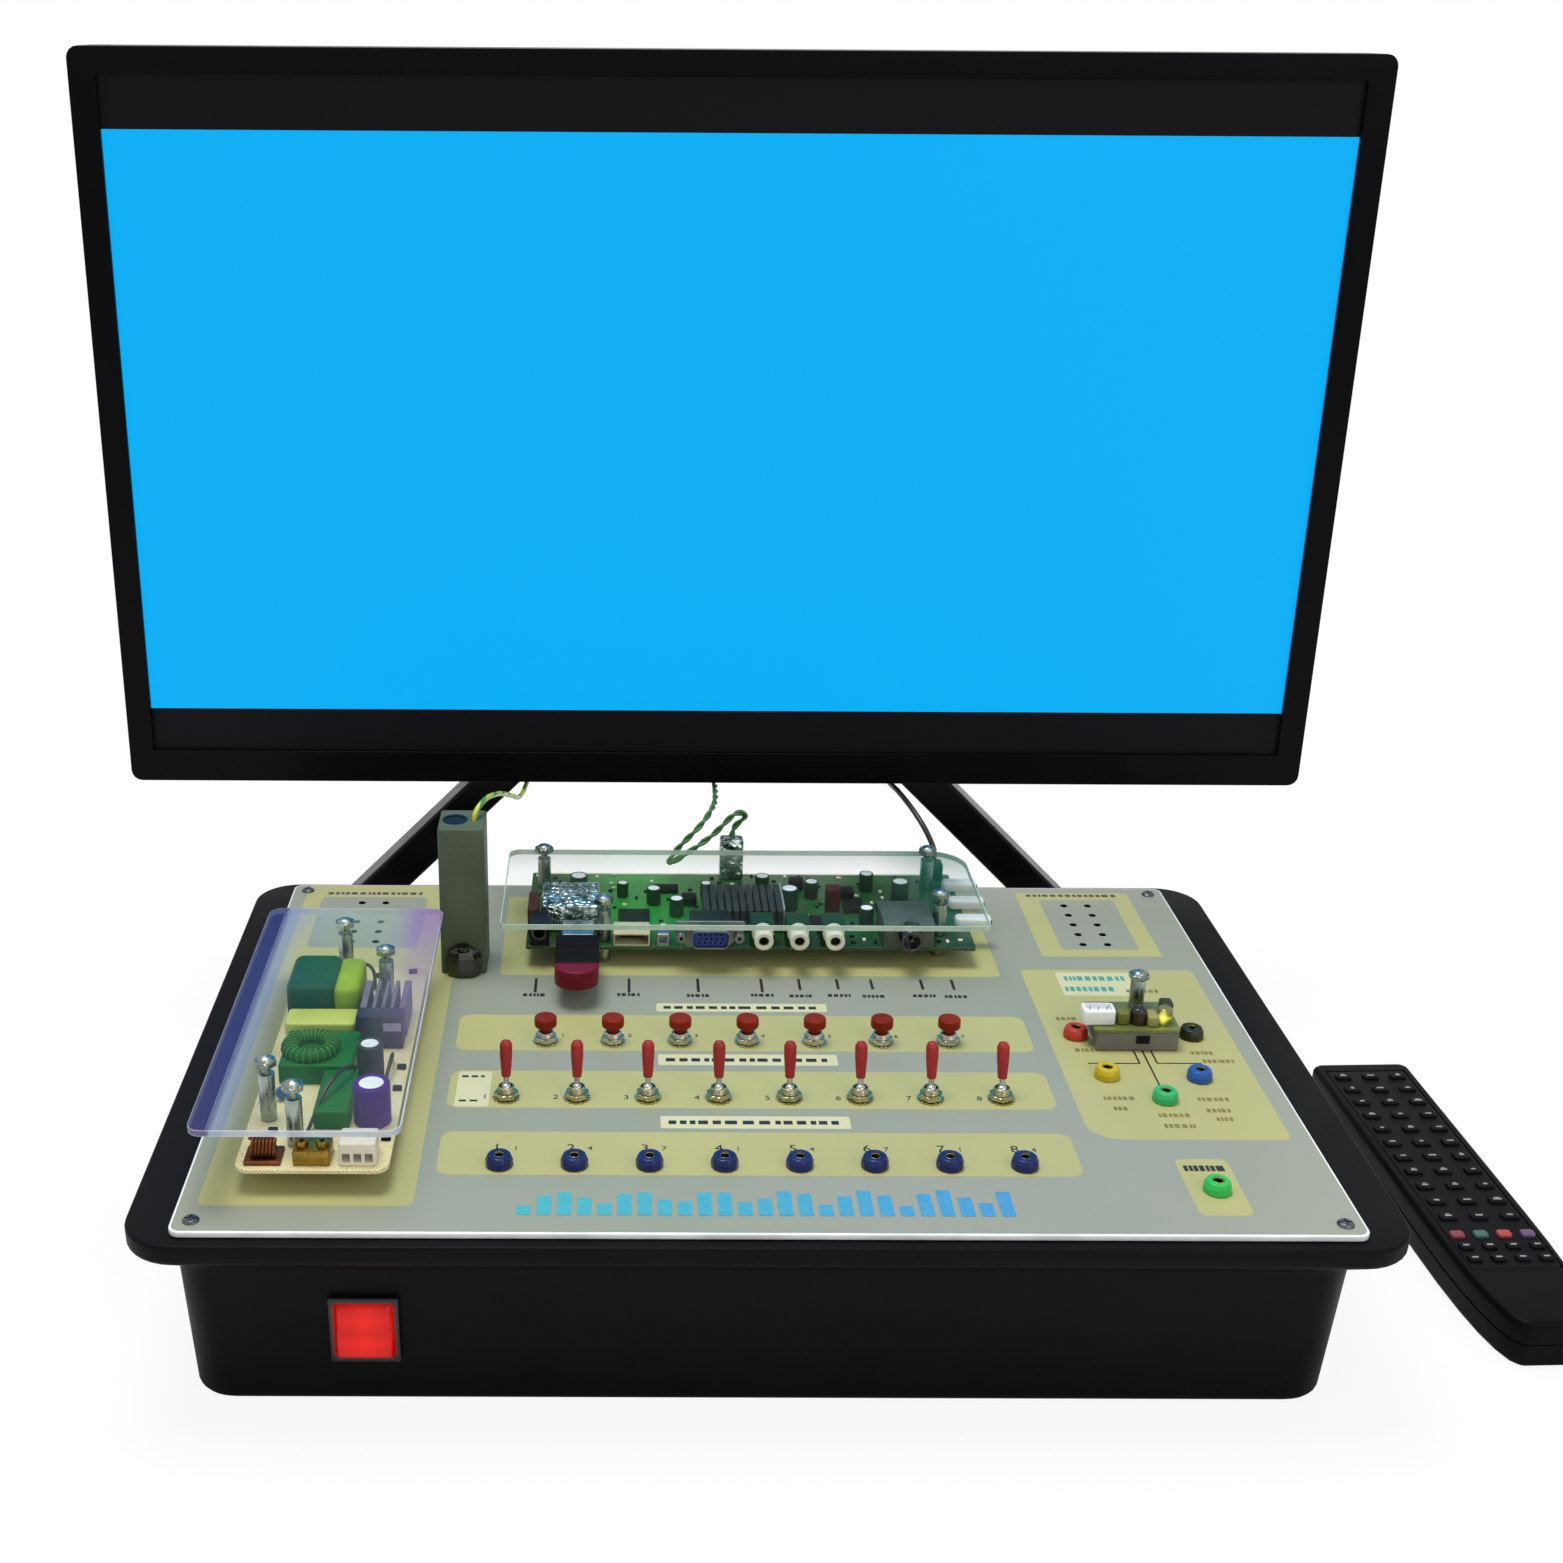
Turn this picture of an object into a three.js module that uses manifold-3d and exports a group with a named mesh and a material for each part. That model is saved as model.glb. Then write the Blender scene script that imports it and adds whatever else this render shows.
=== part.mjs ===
// Television and radio training kit for classroom use.
// A black moulded tub carries a printed panel with push buttons, toggle switches, test sockets, loudspeakers,
// a television receiver board and a power supply under clear covers, and a sensor module.
// A flat television stands on its own splayed stand behind the tub, and a remote control lies at the right.
// Lengths are millimetres. +X is to the right, +Y away from the user, +Z up.
// The origin is the centre of the tub's flat underside.
import * as THREE from "three";
import { mergeVertices } from "three/addons/utils/BufferGeometryUtils.js";
import Module from "manifold-3d";

const wasm = await Module();
wasm.setup();

// Clearances and counts shared by all pieces
const seatGap = 0.3; // between two pieces that rest on each other
const runGap = 0.3; // around a piece that moves
const overrun = 2; // how far a cutting solid passes the face it cuts
const weld = 0.2; // how far a joined solid reaches into what carries it
const weldTolerance = 0.0005; // vertices nearer than this are one vertex
const roundSides = 10; // sides of a small round piece
const fineSides = 16; // sides of a large round piece
const cornerSteps = 2; // half the steps on each rounded corner
const hexSides = 6; // sides of a nut and of a very small hole

// Tub. Its rim goes round the panel
const rimHeight = 77.5;
const rimLip = 7; // height of the rim's upright edge
const rimCorner = 18;
const rimBackReach = 7; // of the rim at the back, past the tub's own depth
const flareDrop = 11; // height of the slope from the rim in to the wall
const wallInset = 14.5; // of the wall's top from the rim's edge
const footInset = 17.5; // of the wall's foot from the rim's edge
const footRound = 4;
const wallCorner = 14;
const tubWall = 3;
const ledgeWidth = 23; // of the rim's flat top, which carries the panel, at the front and the sides
const ledgeBack = 12; // and at the back
const ledgeCorner = 6;

// Panel
const panelThickness = 2.2;
const panelSideInset = 17; // of the panel's edges from the rim's, at the sides
const panelFrontInset = 5; // and at the front
const panelLeftBorder = 6; // from the panel's left edge to the power supply's cover
const panelRightBorder = 21.1; // from the sensor sockets to the panel's right edge
const panelFrontBorder = 42.5; // from the panel's front edge to the row of test sockets
const panelBackBorder = 20; // from the receiver's cover to the panel's back edge
const psuFrontBorder = 13; // from the panel's front edge to the power supply's cover
const ductLane = 19.5; // between the power supply's cover and the rows of controls
const sensorLane = 24; // between the rows of controls and the sensor sockets
const panelCorner = 4;
const screwHeadRadius = 3;
const screwHeadHeight = 0.8;
const screwInset = 7;

// Rows of controls, in the middle of the panel
const controlPitch = 27;
const keyCount = 7;
const toggleCount = 8;
const testSocketCount = 8;
const socketToToggle = 47;
const toggleToKey = 44;
const keyToCover = 51.5; // from the row of buttons to the receiver's cover
const circuitThickness = 1.6;
const stripEnd = 12; // how far a circuit strip runs past its outer controls
const stripDepth = 22;
const nutBoreShare = 0.9; // of its bushing's radius, so that the nut bites into the thread

// Push buttons
const switchBody = 12;
const switchBodyHeight = 9;
const bushingRadius = 3.4;
const bushingHeight = 5; // above the panel
const bushingWall = 1;
const nutAcross = 4.6; // from the centre to a corner
const nutHeight = 2;
const keyTravel = 2;
const keyCapRadius = 4.9;
const keyCapHeight = 4.2;
const keyStemLength = 6;
const keyStop = 0.5; // left between cap and bushing when a button is fully in
const capFootShare = 0.92; // of the cap's radius, at its lower edge
const capShoulderShare = 0.35; // of the cap's height, where it is widest
const capBrowShare = 0.8; // of the cap's radius, at its upper edge
const capCrownShare = 0.82; // of the cap's height, at that edge

// Toggle switches
const toggleBodyWidth = 8;
const toggleBodyDepth = 12.7;
const toggleBodyHeight = 10;
const toggleBushingRadius = 3.2;
const toggleBushingHeight = 5.5;
const toggleBushingWall = 0.7;
const toggleNutAcross = 4.8;
const toggleBallRadius = 2.2;
const toggleBallDepth = 1.2; // of the ball's centre under the bushing's mouth
const toggleLeverRadius = 1.1;
const toggleLeverLength = 19;
const toggleSleeveRadius = 2.4;
const toggleSleeveStart = 4.5; // above the ball's centre
const toggleLean = 12.5; // degrees to either side of upright
const ballSteps = 5; // from the ball's lower pole to its neck
const sleeveFootShare = 0.8; // of the sleeve's radius, at its lower end
const sleeveTipShare = 0.7; // of the sleeve's radius, at its tip
const sleeveTipDropShare = 0.3; // of the tip's radius, for its rounding

// Sockets for test leads
const socketHeadRadius = 5;
const socketHeadHeight = 4.5;
const socketHeadTop = 3.8; // radius of the narrower top edge
const socketBodyRadius = 3.6;
const socketBodyLength = 12;
const socketBore = 2;
const socketBoreDepth = 12;

// Sensor module on the right
const sensorSocketShares = [
  [-0.44, 0.48],
  [0.44, 0.48],
  [-0.34, -0.14],
  [0, -0.48],
  [0.33, -0.17],
];
const sensorGroupWidth = 53.4;
const sensorGroupDepth = 52;
const sensorGroupDrop = 19; // of the group's middle in front of the row of buttons
const sensorBoardShift = -2; // of the board's middle from the group's
const sensorBoardLift = 24.5; // and behind it
const sensorBoardWidth = 34.5;
const sensorBoardDepth = 24;
const sensorPostHeight = 13; // of the stand-off above its circuit board
const sensorPostShares = [0.11, 0.32]; // of the board's width and depth
const sensorConnectorWidth = 13;
const sensorConnectorDepth = 8;
const sensorConnectorHeight = 6.5;
const sensorConnectorReach = 4; // past the board's left edge
const sensorConnectorDrop = 4.8; // in front of the board's middle
const sensorRoundRadius = 3.3;
const sensorRoundHeight = 7;
const sensorRoundDrop = 6; // in front of the board's middle
const sensorRoundShares = [0.038, 0.342]; // of the board's width
const powerSocketShift = 2.3; // of the power socket to the right of the group's middle
const powerSocketDrop = 15; // and in front of the row of test sockets

// Loudspeakers under the panel's back corners
const speakerLeftInset = 39.5; // from the panel's left edge
const speakerRightInset = 44; // from the panel's right edge
const speakerBackInset = 40.5; // from the panel's back edge
const speakerRadius = 25;
const speakerDepth = 15;
const speakerRimHeight = 2.5;
const magnetRadius = 13;
const magnetHeight = 7;
const coneWall = 1.6;
const speakerConeShare = 0.86; // of the speaker's radius, at the cone's rim
const speakerThroatShare = 0.5; // of the magnet's radius, at the cone's throat
const soundHoleRadius = 1.7;
const soundHolePitchX = 11;
const soundHolePitchY = 10.2;
const soundHoleRows = 5;
const soundHoleColumns = 2;

// Mains switch in the front wall
const mainsSwitchInset = 64.2; // from the panel's left edge
const mainsSwitchLift = 1.75; // above the middle of the wall
const switchFlangeWidth = 25;
const switchFlangeHeight = 28;
const switchFlangeThickness = 2;
const switchHousingDepth = 15;
const rockerWidth = 19.4;
const rockerHeight = 21.6;
const rockerThickness = 5;
const rockerDip = 1.2; // depth of the shallow V across its face
const rockerSwing = 7; // degrees to either side of level
const rockerProud = 1.6; // of its face in front of the flange
const mouthGap = 0.5; // around the rocker, which swings inside its mouth
const mouthRoom = 2; // behind the rocker, for its swing
const housingSetBack = 1.4; // how far the flange covers the wall round its hole
const rockerBackShare = 0.86; // of the rocker's height, at its back

// Mains inlet in the back wall
const inletInset = 55; // from the panel's right edge
const inletLift = 4.25; // above the middle of the wall
const inletFlangeWidth = 44;
const inletFlangeHeight = 26;
const inletFlangeThickness = 2.5;
const inletMouthWidth = 25;
const inletMouthHeight = 18;
const inletMouthDepth = 15;
const inletWall = 2;
const inletPinWidth = 4;
const inletPinThickness = 2;
const inletPinLength = 8;
const inletPinSpread = 7;
const inletPinDrop = 3.5;

// Stand-offs and clear covers
const spacerRadius = 3;
const spacerHeight = 8.4; // between panel and circuit board
const studRadius = 1.4;
const studClearance = 0.4;
const capNutRadius = 4.3;
const capNutHeight = 4;
const capNutCrownShare = 0.6; // of the nut's radius, at its crown
const coverThickness = 2.5;
const coverCorner = 5;

// Television receiver board. Its sockets stand in a row along the front edge, from left to right
const mainBoardDepth = 78;
const mainCoverShift = 2; // of the cover's middle from that of the rows of controls
const mainCoverLeft = 10; // how far the cover reaches past the board, at each edge
const mainCoverRight = 3;
const mainCoverFront = 15;
const mainCoverBack = -13;
const mainCoverGap = 15; // between circuit board and cover
const postRoom = 1.05; // between a stand-off and the sockets beside it
const frontPostDepth = 7; // of the stand-off between two sockets behind the board's front edge
const sidePostDepth = 14; // of the stand-off beside the tuner behind that edge
const backPostInset = 3; // of the two back stand-offs from the cover's back edge
const backPostLeft = 6; // of the left one from the board's left end
const backPostRight = 13.1; // of the right one from the board's right end
const usbGap = 5.7; // between the jack and this socket
const usbWidth = 14;
const usbHeight = 7;
const usbDepth = 15;
const usbProud = 3;
const usbWall = 0.7;
const jackGap = 2; // between the board's left end and this jack
const jackWidth = 8;
const jackHeight = 11.5;
const jackDepth = 12;
const hdmiWidth = 16;
const hdmiHeight = 6.2;
const hdmiDepth = 12;
const hdmiWall = 0.8;
const hdmiSlotDepth = 8;
const vgaGap = 10.4; // between the video socket and this one
const vgaFlangeWidth = 30.8;
const vgaFlangeHeight = 12.5;
const vgaFlangeThickness = 1.2;
const vgaShellWidth = 17.4;
const vgaShellHeight = 8.6;
const vgaShellLength = 6;
const vgaWall = 0.8;
const vgaBodyDepth = 13;
const vgaCornerShare = 0.25; // of the flange's or the shell's height
const jackScrewRadius = 2.4;
const jackScrewLength = 4.5;
const jackScrewSpread = 12.5;
const phonoGap = 2.3; // between the computer video socket and the first of these
const phonoPitch = 15.3;
const phonoCount = 3;
const phonoRadius = 4.15;
const phonoBore = 1.7;
const phonoLength = 9;
const phonoBodyWidth = 10;
const phonoBodyDepth = 11;
const phonoBodyHeight = 11.5;
const phonoAxisHeight = 6.8;
const tunerGap = 16.7; // between the last phono socket and the tuner
const tunerEndRoom = 18.4; // between the tuner and the board's right end
const aerialRadius = 4.8;
const aerialBore = 1;
const aerialLength = 9;
const tunerWidth = 22;
const tunerDepth = 24;
const tunerHeight = 11;
const shieldWidth = 25;
const shieldDepth = 26;
const shieldHeight = 12.5;
const shieldPlaceShares = [-0.4026, 0.346]; // of the board's width and depth, as for what follows
const coolerWidth = 34;
const coolerDepth = 28;
const coolerHeight = 10.5;
const coolerPlaceShares = [-0.0128, 0.3655];
const filmPlaceShares = [-0.4861, 0.256];
const filmWidth = 4.6;
const filmDepth = 20;
const filmHeight = 13;
const postPartPlaceShares = [0.1974, 0.4487]; // a tall narrow part on the board
const postPartSize = 6.5;
const postPartHeight = 13;
const plugCount = 3;
const plugWidth = 16;
const plugDepth = 8;
const plugHeight = 6;
const plugPitch = 19;
const plugFirstY = 22;
const plugOverhang = 10; // past the circuit board's right end
const wirePlugPlaceShare = -0.0256;
const wirePlugWidth = 11;
const wirePlugDepth = 8;
const wirePlugHeight = 20;
const powerPlugPlaceShare = 0.459;
const powerPlugWidth = 8;
const powerPlugHeight = 8;

// Memory stick in the receiver's socket
const stickWidth = 18.4;
const stickHeight = 8.6;
const stickLength = 37;
const stickCornerShare = 0.28; // of the stick's width
const stickPlugLength = 11.5;
const stickPlugSideGap = 0.35; // around the plug in its socket
const stickEndGap = 0.8; // between the stick's shoulder and the socket

// Power supply on the left
const psuBoardWidth = 54;
const psuCoverLeft = 13; // how far the cover reaches past the board, at each edge
const psuCoverRight = 6;
const psuCoverFront = 10;
const psuCoverBack = 12;
const psuCoverGap = 19.4; // between circuit board and cover
const psuPostWidthShares = [-0.37, -0.14, -0.12, 0.245]; // of the board's width, for each stand-off
const psuFrontPostDepths = [34.3, 17.2]; // of the first two behind the board's front edge
const psuBackPostGap = 16.2; // of the third behind the transformer
const psuSidePostGap = 6.3; // of the fourth behind the heat sink
const transformerWidth = 29;
const transformerDepth = 30;
const transformerHeight = 17;
const transformerX = -10;
const transformerGap = 16; // behind the inductor
const transformerEndRoom = 22; // between the transformer and the board's back edge
const inductorWidth = 28;
const inductorDepth = 30;
const inductorHeight = 13.5;
const inductorX = -6.5;
const inductorFront = 58; // behind the board's front edge
const reservoirRadius = 6.8;
const reservoirHeight = 16;
const reservoirX = 18;
const reservoirY = 33;
const smallCapRadius = 5;
const smallCapX = 14;
const smallCapY = 62;
const regulatorX = 14.5;
const regulatorGap = 1.5; // in front of the heat sink
const regulatorWidth = 18;
const regulatorDepth = 8;
const regulatorHeight = 14;
const sinkX = 15;
const sinkDrop = 12; // of its middle in front of the transformer's
const sinkWidth = 18;
const sinkDepth = 23;
const sinkHeight = 13;
const sinkSlots = 4;
const sinkSlotWidth = 2;
const sinkSlotLift = 4.4; // of a slot's floor above the circuit board
const terminalShares = [-0.32, 0, 0.3];
const terminalWidth = 13;
const terminalDepth = 11;
const terminalHeight = 9;
const terminalY = 8;

// Cable duct beside the power supply
const ductShift = 7.7; // of its middle from the right edge of the power supply's cover
const ductGap = 2; // behind that cover
const ductWidth = 19.5;
const ductDepth = 22;
const ductHeight = 67;
const ductWall = 2;
const ductHoleRadius = 4.6;
const ductHoleShift = -3;
const ductClampWidth = 15;
const ductClampDepth = 5;
const ductClampHeight = 13;
const ductClampScrewRadius = 3;
const ductClampScrewHeight = 2;

// Television
const tvX = -6;
const tvSetBack = 10.3; // behind the tub's rim
const tvBottom = 126;
const tvWidth = 553;
const tvHeight = 326;
const tvCorner = 5;
const bezelDepth = 12;
const bezelFace = 2.4; // thickness of the bezel's front
const bezelSide = 11.6;
const bezelTop = 10.5;
const bezelBottom = 15.1;
const bezelWall = 2.5;
const windowCorner = 1;
const screenThickness = 8.5;
const tvBackDepth = 14;
const tvBackWall = 2.5;
const tvHumpWidth = 330;
const tvHumpHeight = 190;
const tvHumpDepth = 12;
const tvHumpLift = 14; // of the raised back above the television's lower edge
const tvHumpTaper = 16;
const tvHumpCorner = 12;
const ventCount = 11;
const ventWidth = 3;
const ventHeight = 26;
const ventPitch = 14;
const ventLift = 150; // of the vents' lower ends above the television's lower edge
const driverBoardWidth = 180;
const driverBoardHeight = 42;
const driverBoardThickness = 5;
const driverBoardLift = 190;

// Stand
const hubWidth = 80;
const hubHeight = 80;
const hubThickness = 6;
const hubLift = 42; // of the hub's lower edge above the television's
const legBar = 18;
const legSpread = 207; // from the middle to a leg's centre line at foot height
const legTilt = 45; // degrees from upright
const footLength = 118;
const footStart = 1; // behind the tub's back edge

// Wires, as tubes through points in this part's own frame
const panelWireRadius = 1.5;
const panelWirePoints = [
  [0.5, 134, 110.3],
  [1.5, 134, 115],
  [6.5, 133, 121.5],
  [2.5, 131, 123.5],
  [-9, 130, 112.5],
  [-24, 129, 101.5],
  [-28.5, 130.5, 98.5],
  [-24.5, 134, 104],
  [-13, 138, 115.5],
  [-7.5, 147, 121],
  [-6, 165, 121.8],
  [-6, 178.5, 121.4],
  [-6, 182.2, 122.8],
  [-6, 183, 125.4],
  [-6, 183, 129],
  [-6, 183, 132],
];
const earthWireRadius = 1.1;
const earthWirePoints = [
  [-113.4, 63.5, 146.6],
  [-112.6, 64.5, 150.5],
  [-109.5, 71, 153.2],
  [-105, 92, 148],
  [-101, 124, 134.5],
  [-98.5, 148, 124.2],
  [-97, 164, 121.6],
  [-96, 178.5, 121.4],
  [-96, 182.2, 122.8],
  [-96, 183, 125.4],
  [-96, 183, 129],
  [-96, 183, 132],
];
const powerWireRadius = 1.3;
const powerWirePoints = [
  [95, 134, 98.3],
  [94.8, 134.3, 104],
  [91.5, 138.5, 111.5],
  [86.5, 148, 118],
  [81.5, 162, 121.6],
  [78.2, 178.5, 121.4],
  [78, 182.2, 122.8],
  [78, 183, 125.4],
  [78, 183, 129],
  [78, 183, 132],
];
const wireSides = 8;
const panelWireSteps = 30;
const thinWireSteps = 34;

// Remote control
const remoteGap = 69.3; // of its middle from the tub's rim
const remoteY = -10.5;
const remoteTurn = 2; // degrees
const remoteWidth = 44;
const remoteLength = 193;
const remoteLowerHeight = 10;
const remoteUpperHeight = 9.4;
const remoteEndWidth = 23; // of the palm end
const remoteTaperShare = 0.37; // share of the length that narrows to the palm end
const remoteCorner = 4;
const remoteShoulder = 2.5; // how far the case's long edges are drawn in
const remoteFootHeight = 3;
const keypadMargin = 3.9;
const keypadEndMargin = 4; // of the mat past its first and last rows of keys
const keypadMatThickness = 6;
const remoteKeyRise = 1.3; // of a key above its mat
const remoteKeyWidth = 7.2;
const remoteKeyDepth = 4.4;
const remoteKeyPitchX = 12.5;
const remoteKeyPitchY = 11.08;
const remoteKeyRows = 11;
const remoteKeyColumns = 3;
const smallKeyWidth = 5.6;
const smallKeyPitchX = 9.4;
const smallKeyPitchY = 8;
const smallKeyDrop = 12; // from the last row of large keys to the first of small ones
const smallKeyRows = 3;
const smallKeyColumns = 4;
const remoteKeyFirst = 13.7; // of the first row from the far end

// Places that follow from the sizes above
const panelUnder = rimHeight + seatGap;
const panelTop = panelUnder + panelThickness;
const wallTop = rimHeight - rimLip - flareDrop;
const draft = Math.atan((footInset - wallInset) / (wallTop - footRound));
const boardTop = panelTop + spacerHeight + circuitThickness;

// The receiver board is as long as its row of sockets
const jackLeft = jackGap;
const usbLeft = jackLeft + jackWidth + usbGap;
const hdmiLeft = usbLeft + usbWidth + 2 * (spacerRadius + postRoom);
const vgaLeft = hdmiLeft + hdmiWidth + vgaGap;
const phonoLeft = vgaLeft + vgaFlangeWidth + phonoGap;
const tunerLeft = phonoLeft + (phonoCount - 1) * phonoPitch + phonoBodyWidth + tunerGap;
const mainBoardWidth = tunerLeft + tunerWidth + tunerEndRoom;
const mainCoverWidth = mainBoardWidth + mainCoverLeft + mainCoverRight;
const mainCoverDepth = mainBoardDepth + mainCoverFront + mainCoverBack;

// The power supply is as long as its row of wound parts
const inductorY = inductorFront + inductorDepth / 2;
const transformerY = inductorFront + inductorDepth + transformerGap + transformerDepth / 2;
const sinkY = transformerY - sinkDrop;
const regulatorY = sinkY - sinkDepth / 2 - regulatorGap - regulatorDepth / 2;
const psuBoardDepth = transformerY + transformerDepth / 2 + transformerEndRoom;
const psuCoverWidth = psuBoardWidth + psuCoverLeft + psuCoverRight;
const psuCoverDepth = psuBoardDepth + psuCoverFront + psuCoverBack;

// The panel is as wide and as deep as what it carries
const rowWidth = (Math.max(keyCount, toggleCount, testSocketCount) - 1) * controlPitch + 2 * stripEnd;
const middleWidth = Math.max(mainCoverWidth, rowWidth);
const leftWidth = panelLeftBorder + psuCoverWidth + ductLane;
const panelWidth = leftWidth + middleWidth + sensorLane + sensorGroupWidth + panelRightBorder;
const rowsDepth = socketToToggle + toggleToKey + keyToCover;
const panelDepth = panelFrontBorder + rowsDepth + mainCoverDepth + panelBackBorder;
const rimWidth = panelWidth + 2 * panelSideInset;
const rimDepth = panelDepth + panelFrontInset;
const panelLeft = -panelWidth / 2;
const panelRight = panelWidth / 2;
const panelFront = panelFrontInset - rimDepth / 2;
const panelBack = panelFront + panelDepth;

// Places on the panel
const rowX = panelLeft + leftWidth + middleWidth / 2;
const socketRowY = panelFront + panelFrontBorder;
const toggleRowY = socketRowY + socketToToggle;
const keyRowY = toggleRowY + toggleToKey;
const mainCoverX = rowX + mainCoverShift;
const mainCoverY = keyRowY + keyToCover; // of its front edge, as for the other boards and covers
const mainBoardX = mainCoverX + (mainCoverLeft - mainCoverRight) / 2;
const mainBoardY = mainCoverY + mainCoverFront;
const psuCoverX = panelLeft + panelLeftBorder + psuCoverWidth / 2;
const psuCoverY = panelFront + psuFrontBorder;
const psuBoardX = psuCoverX + (psuCoverLeft - psuCoverRight) / 2;
const psuBoardY = psuCoverY + psuCoverFront;
const ductX = psuCoverX + psuCoverWidth / 2 + ductShift;
const ductY = psuCoverY + psuCoverDepth + ductGap + ductDepth / 2;
const sensorGroupX = panelRight - panelRightBorder - sensorGroupWidth / 2;
const sensorGroupY = keyRowY - sensorGroupDrop;
const sensorBoardX = sensorGroupX + sensorBoardShift;
const sensorBoardY = sensorGroupY + sensorBoardLift;
const powerSocketX = sensorGroupX + powerSocketShift;
const powerSocketY = socketRowY - powerSocketDrop;
const speakerLeftX = panelLeft + speakerLeftInset;
const speakerRightX = panelRight - speakerRightInset;
const speakerY = panelBack - speakerBackInset;

// Places round the tub
const wallMiddle = (wallTop + footRound) / 2;
const mainsSwitchX = panelLeft + mainsSwitchInset;
const mainsSwitchZ = wallMiddle + mainsSwitchLift;
const inletX = panelRight - inletInset;
const inletZ = wallMiddle + inletLift;
const rimBack = rimDepth / 2 + rimBackReach;
const tvFrontY = rimBack + tvSetBack;
const remoteX = rimWidth / 2 + remoteGap;
const toggleBore = toggleBushingRadius - toggleBushingWall;
const bushingBore = bushingRadius - bushingWall;
const tvBackY = bezelDepth + seatGap;

// A closed geometry as a solid that can be joined and cut
function solid(geometry) {
  const bare = geometry.clone();
  bare.deleteAttribute("normal");
  bare.deleteAttribute("uv");
  const merged = mergeVertices(bare, weldTolerance);
  const mesh = new wasm.Mesh({
    numProp: 3,
    vertProperties: merged.attributes.position.array,
    triVerts: new Uint32Array(merged.index.array),
  });
  return new wasm.Manifold(mesh);
}

// The joined solid as a three.js geometry
function geometryOf(body) {
  const mesh = body.getMesh();
  const geometry = new THREE.BufferGeometry();
  geometry.setAttribute("position", new THREE.BufferAttribute(new Float32Array(mesh.vertProperties), 3));
  geometry.setIndex(new THREE.BufferAttribute(new Uint32Array(mesh.triVerts), 1));
  geometry.computeVertexNormals();
  return geometry;
}

function join(bodies) {
  return bodies.reduce((whole, body) => whole.add(body));
}

function cut(body, tools) {
  return tools.reduce((rest, tool) => rest.subtract(tool), body);
}

// One named piece of the kit
function piece(name, body, colour, roughness, metalness) {
  const material = new THREE.MeshStandardMaterial({ color: colour, roughness, metalness });
  const mesh = new THREE.Mesh(geometryOf(body), material);
  mesh.name = name;
  return mesh;
}

// A box centred on x and y, standing on z
function block(width, depth, height, x, y, z) {
  const geometry = new THREE.BoxGeometry(width, depth, height);
  geometry.translate(x, y, z + height / 2);
  return solid(geometry);
}

// A round solid about an upright axis at x and y, from [radius, height] pairs that start and end on the axis
function turned(profile, x, y, z, sides) {
  const points = profile.map(([radius, height]) => new THREE.Vector2(radius, height));
  const geometry = new THREE.LatheGeometry(points, sides);
  geometry.rotateX(Math.PI / 2);
  geometry.translate(x, y, z);
  return solid(geometry);
}

// A box that stands on a circuit board whose top is at z = 0
function fitted(width, depth, height, x, y) {
  return block(width, depth, height + weld, x, y, -weld);
}

function disc(radius, height, x, y, z, sides = roundSides) {
  const profile = [
    [0, 0],
    [radius, 0],
    [radius, height],
    [0, height],
  ];
  return turned(profile, x, y, z, sides);
}

// A round bar along Y, from its front end at y
function barAlongY(radius, length, x, y, z, sides = roundSides) {
  const geometry = new THREE.CylinderGeometry(radius, radius, length, sides);
  geometry.translate(x, y + length / 2, z);
  return solid(geometry);
}

function roundedShape(width, depth, corner, x = 0, y = 0) {
  const shape = new THREE.Shape();
  const right = x + width / 2 - corner;
  const left = x - width / 2 + corner;
  const back = y + depth / 2 - corner;
  const front = y - depth / 2 + corner;
  shape.absarc(right, back, corner, 0, Math.PI / 2, false);
  shape.absarc(left, back, corner, Math.PI / 2, Math.PI, false);
  shape.absarc(left, front, corner, Math.PI, -Math.PI / 2, false);
  shape.absarc(right, front, corner, -Math.PI / 2, 0, false);
  return shape;
}

// A flat plate of any outline, lying on z
function plate(shape, thickness, z = 0) {
  const options = { depth: thickness, bevelEnabled: false, curveSegments: cornerSteps };
  const geometry = new THREE.ExtrudeGeometry(shape, options);
  geometry.translate(0, 0, z);
  return solid(geometry);
}

// The same plate standing upright: its outline is in X and Z, and it runs back from y
function wall(shape, thickness, y = 0) {
  const options = { depth: thickness, bevelEnabled: false, curveSegments: cornerSteps };
  const geometry = new THREE.ExtrudeGeometry(shape, options);
  geometry.rotateX(Math.PI / 2);
  geometry.translate(0, y + thickness, 0);
  return solid(geometry);
}

// A ring of points round a rounded rectangle at height z, anticlockwise from above
function ring(width, depth, corner, z, y = 0) {
  const shape = roundedShape(width, depth, corner, 0, y);
  const points = shape.extractPoints(cornerSteps).shape;
  if (THREE.ShapeUtils.area(points) < 0) points.reverse();
  const first = points[0];
  const last = points[points.length - 1];
  const open = first.distanceTo(last) < weldTolerance ? points.slice(0, -1) : points;
  return open.map((point) => new THREE.Vector3(point.x, point.y, z));
}

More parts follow.
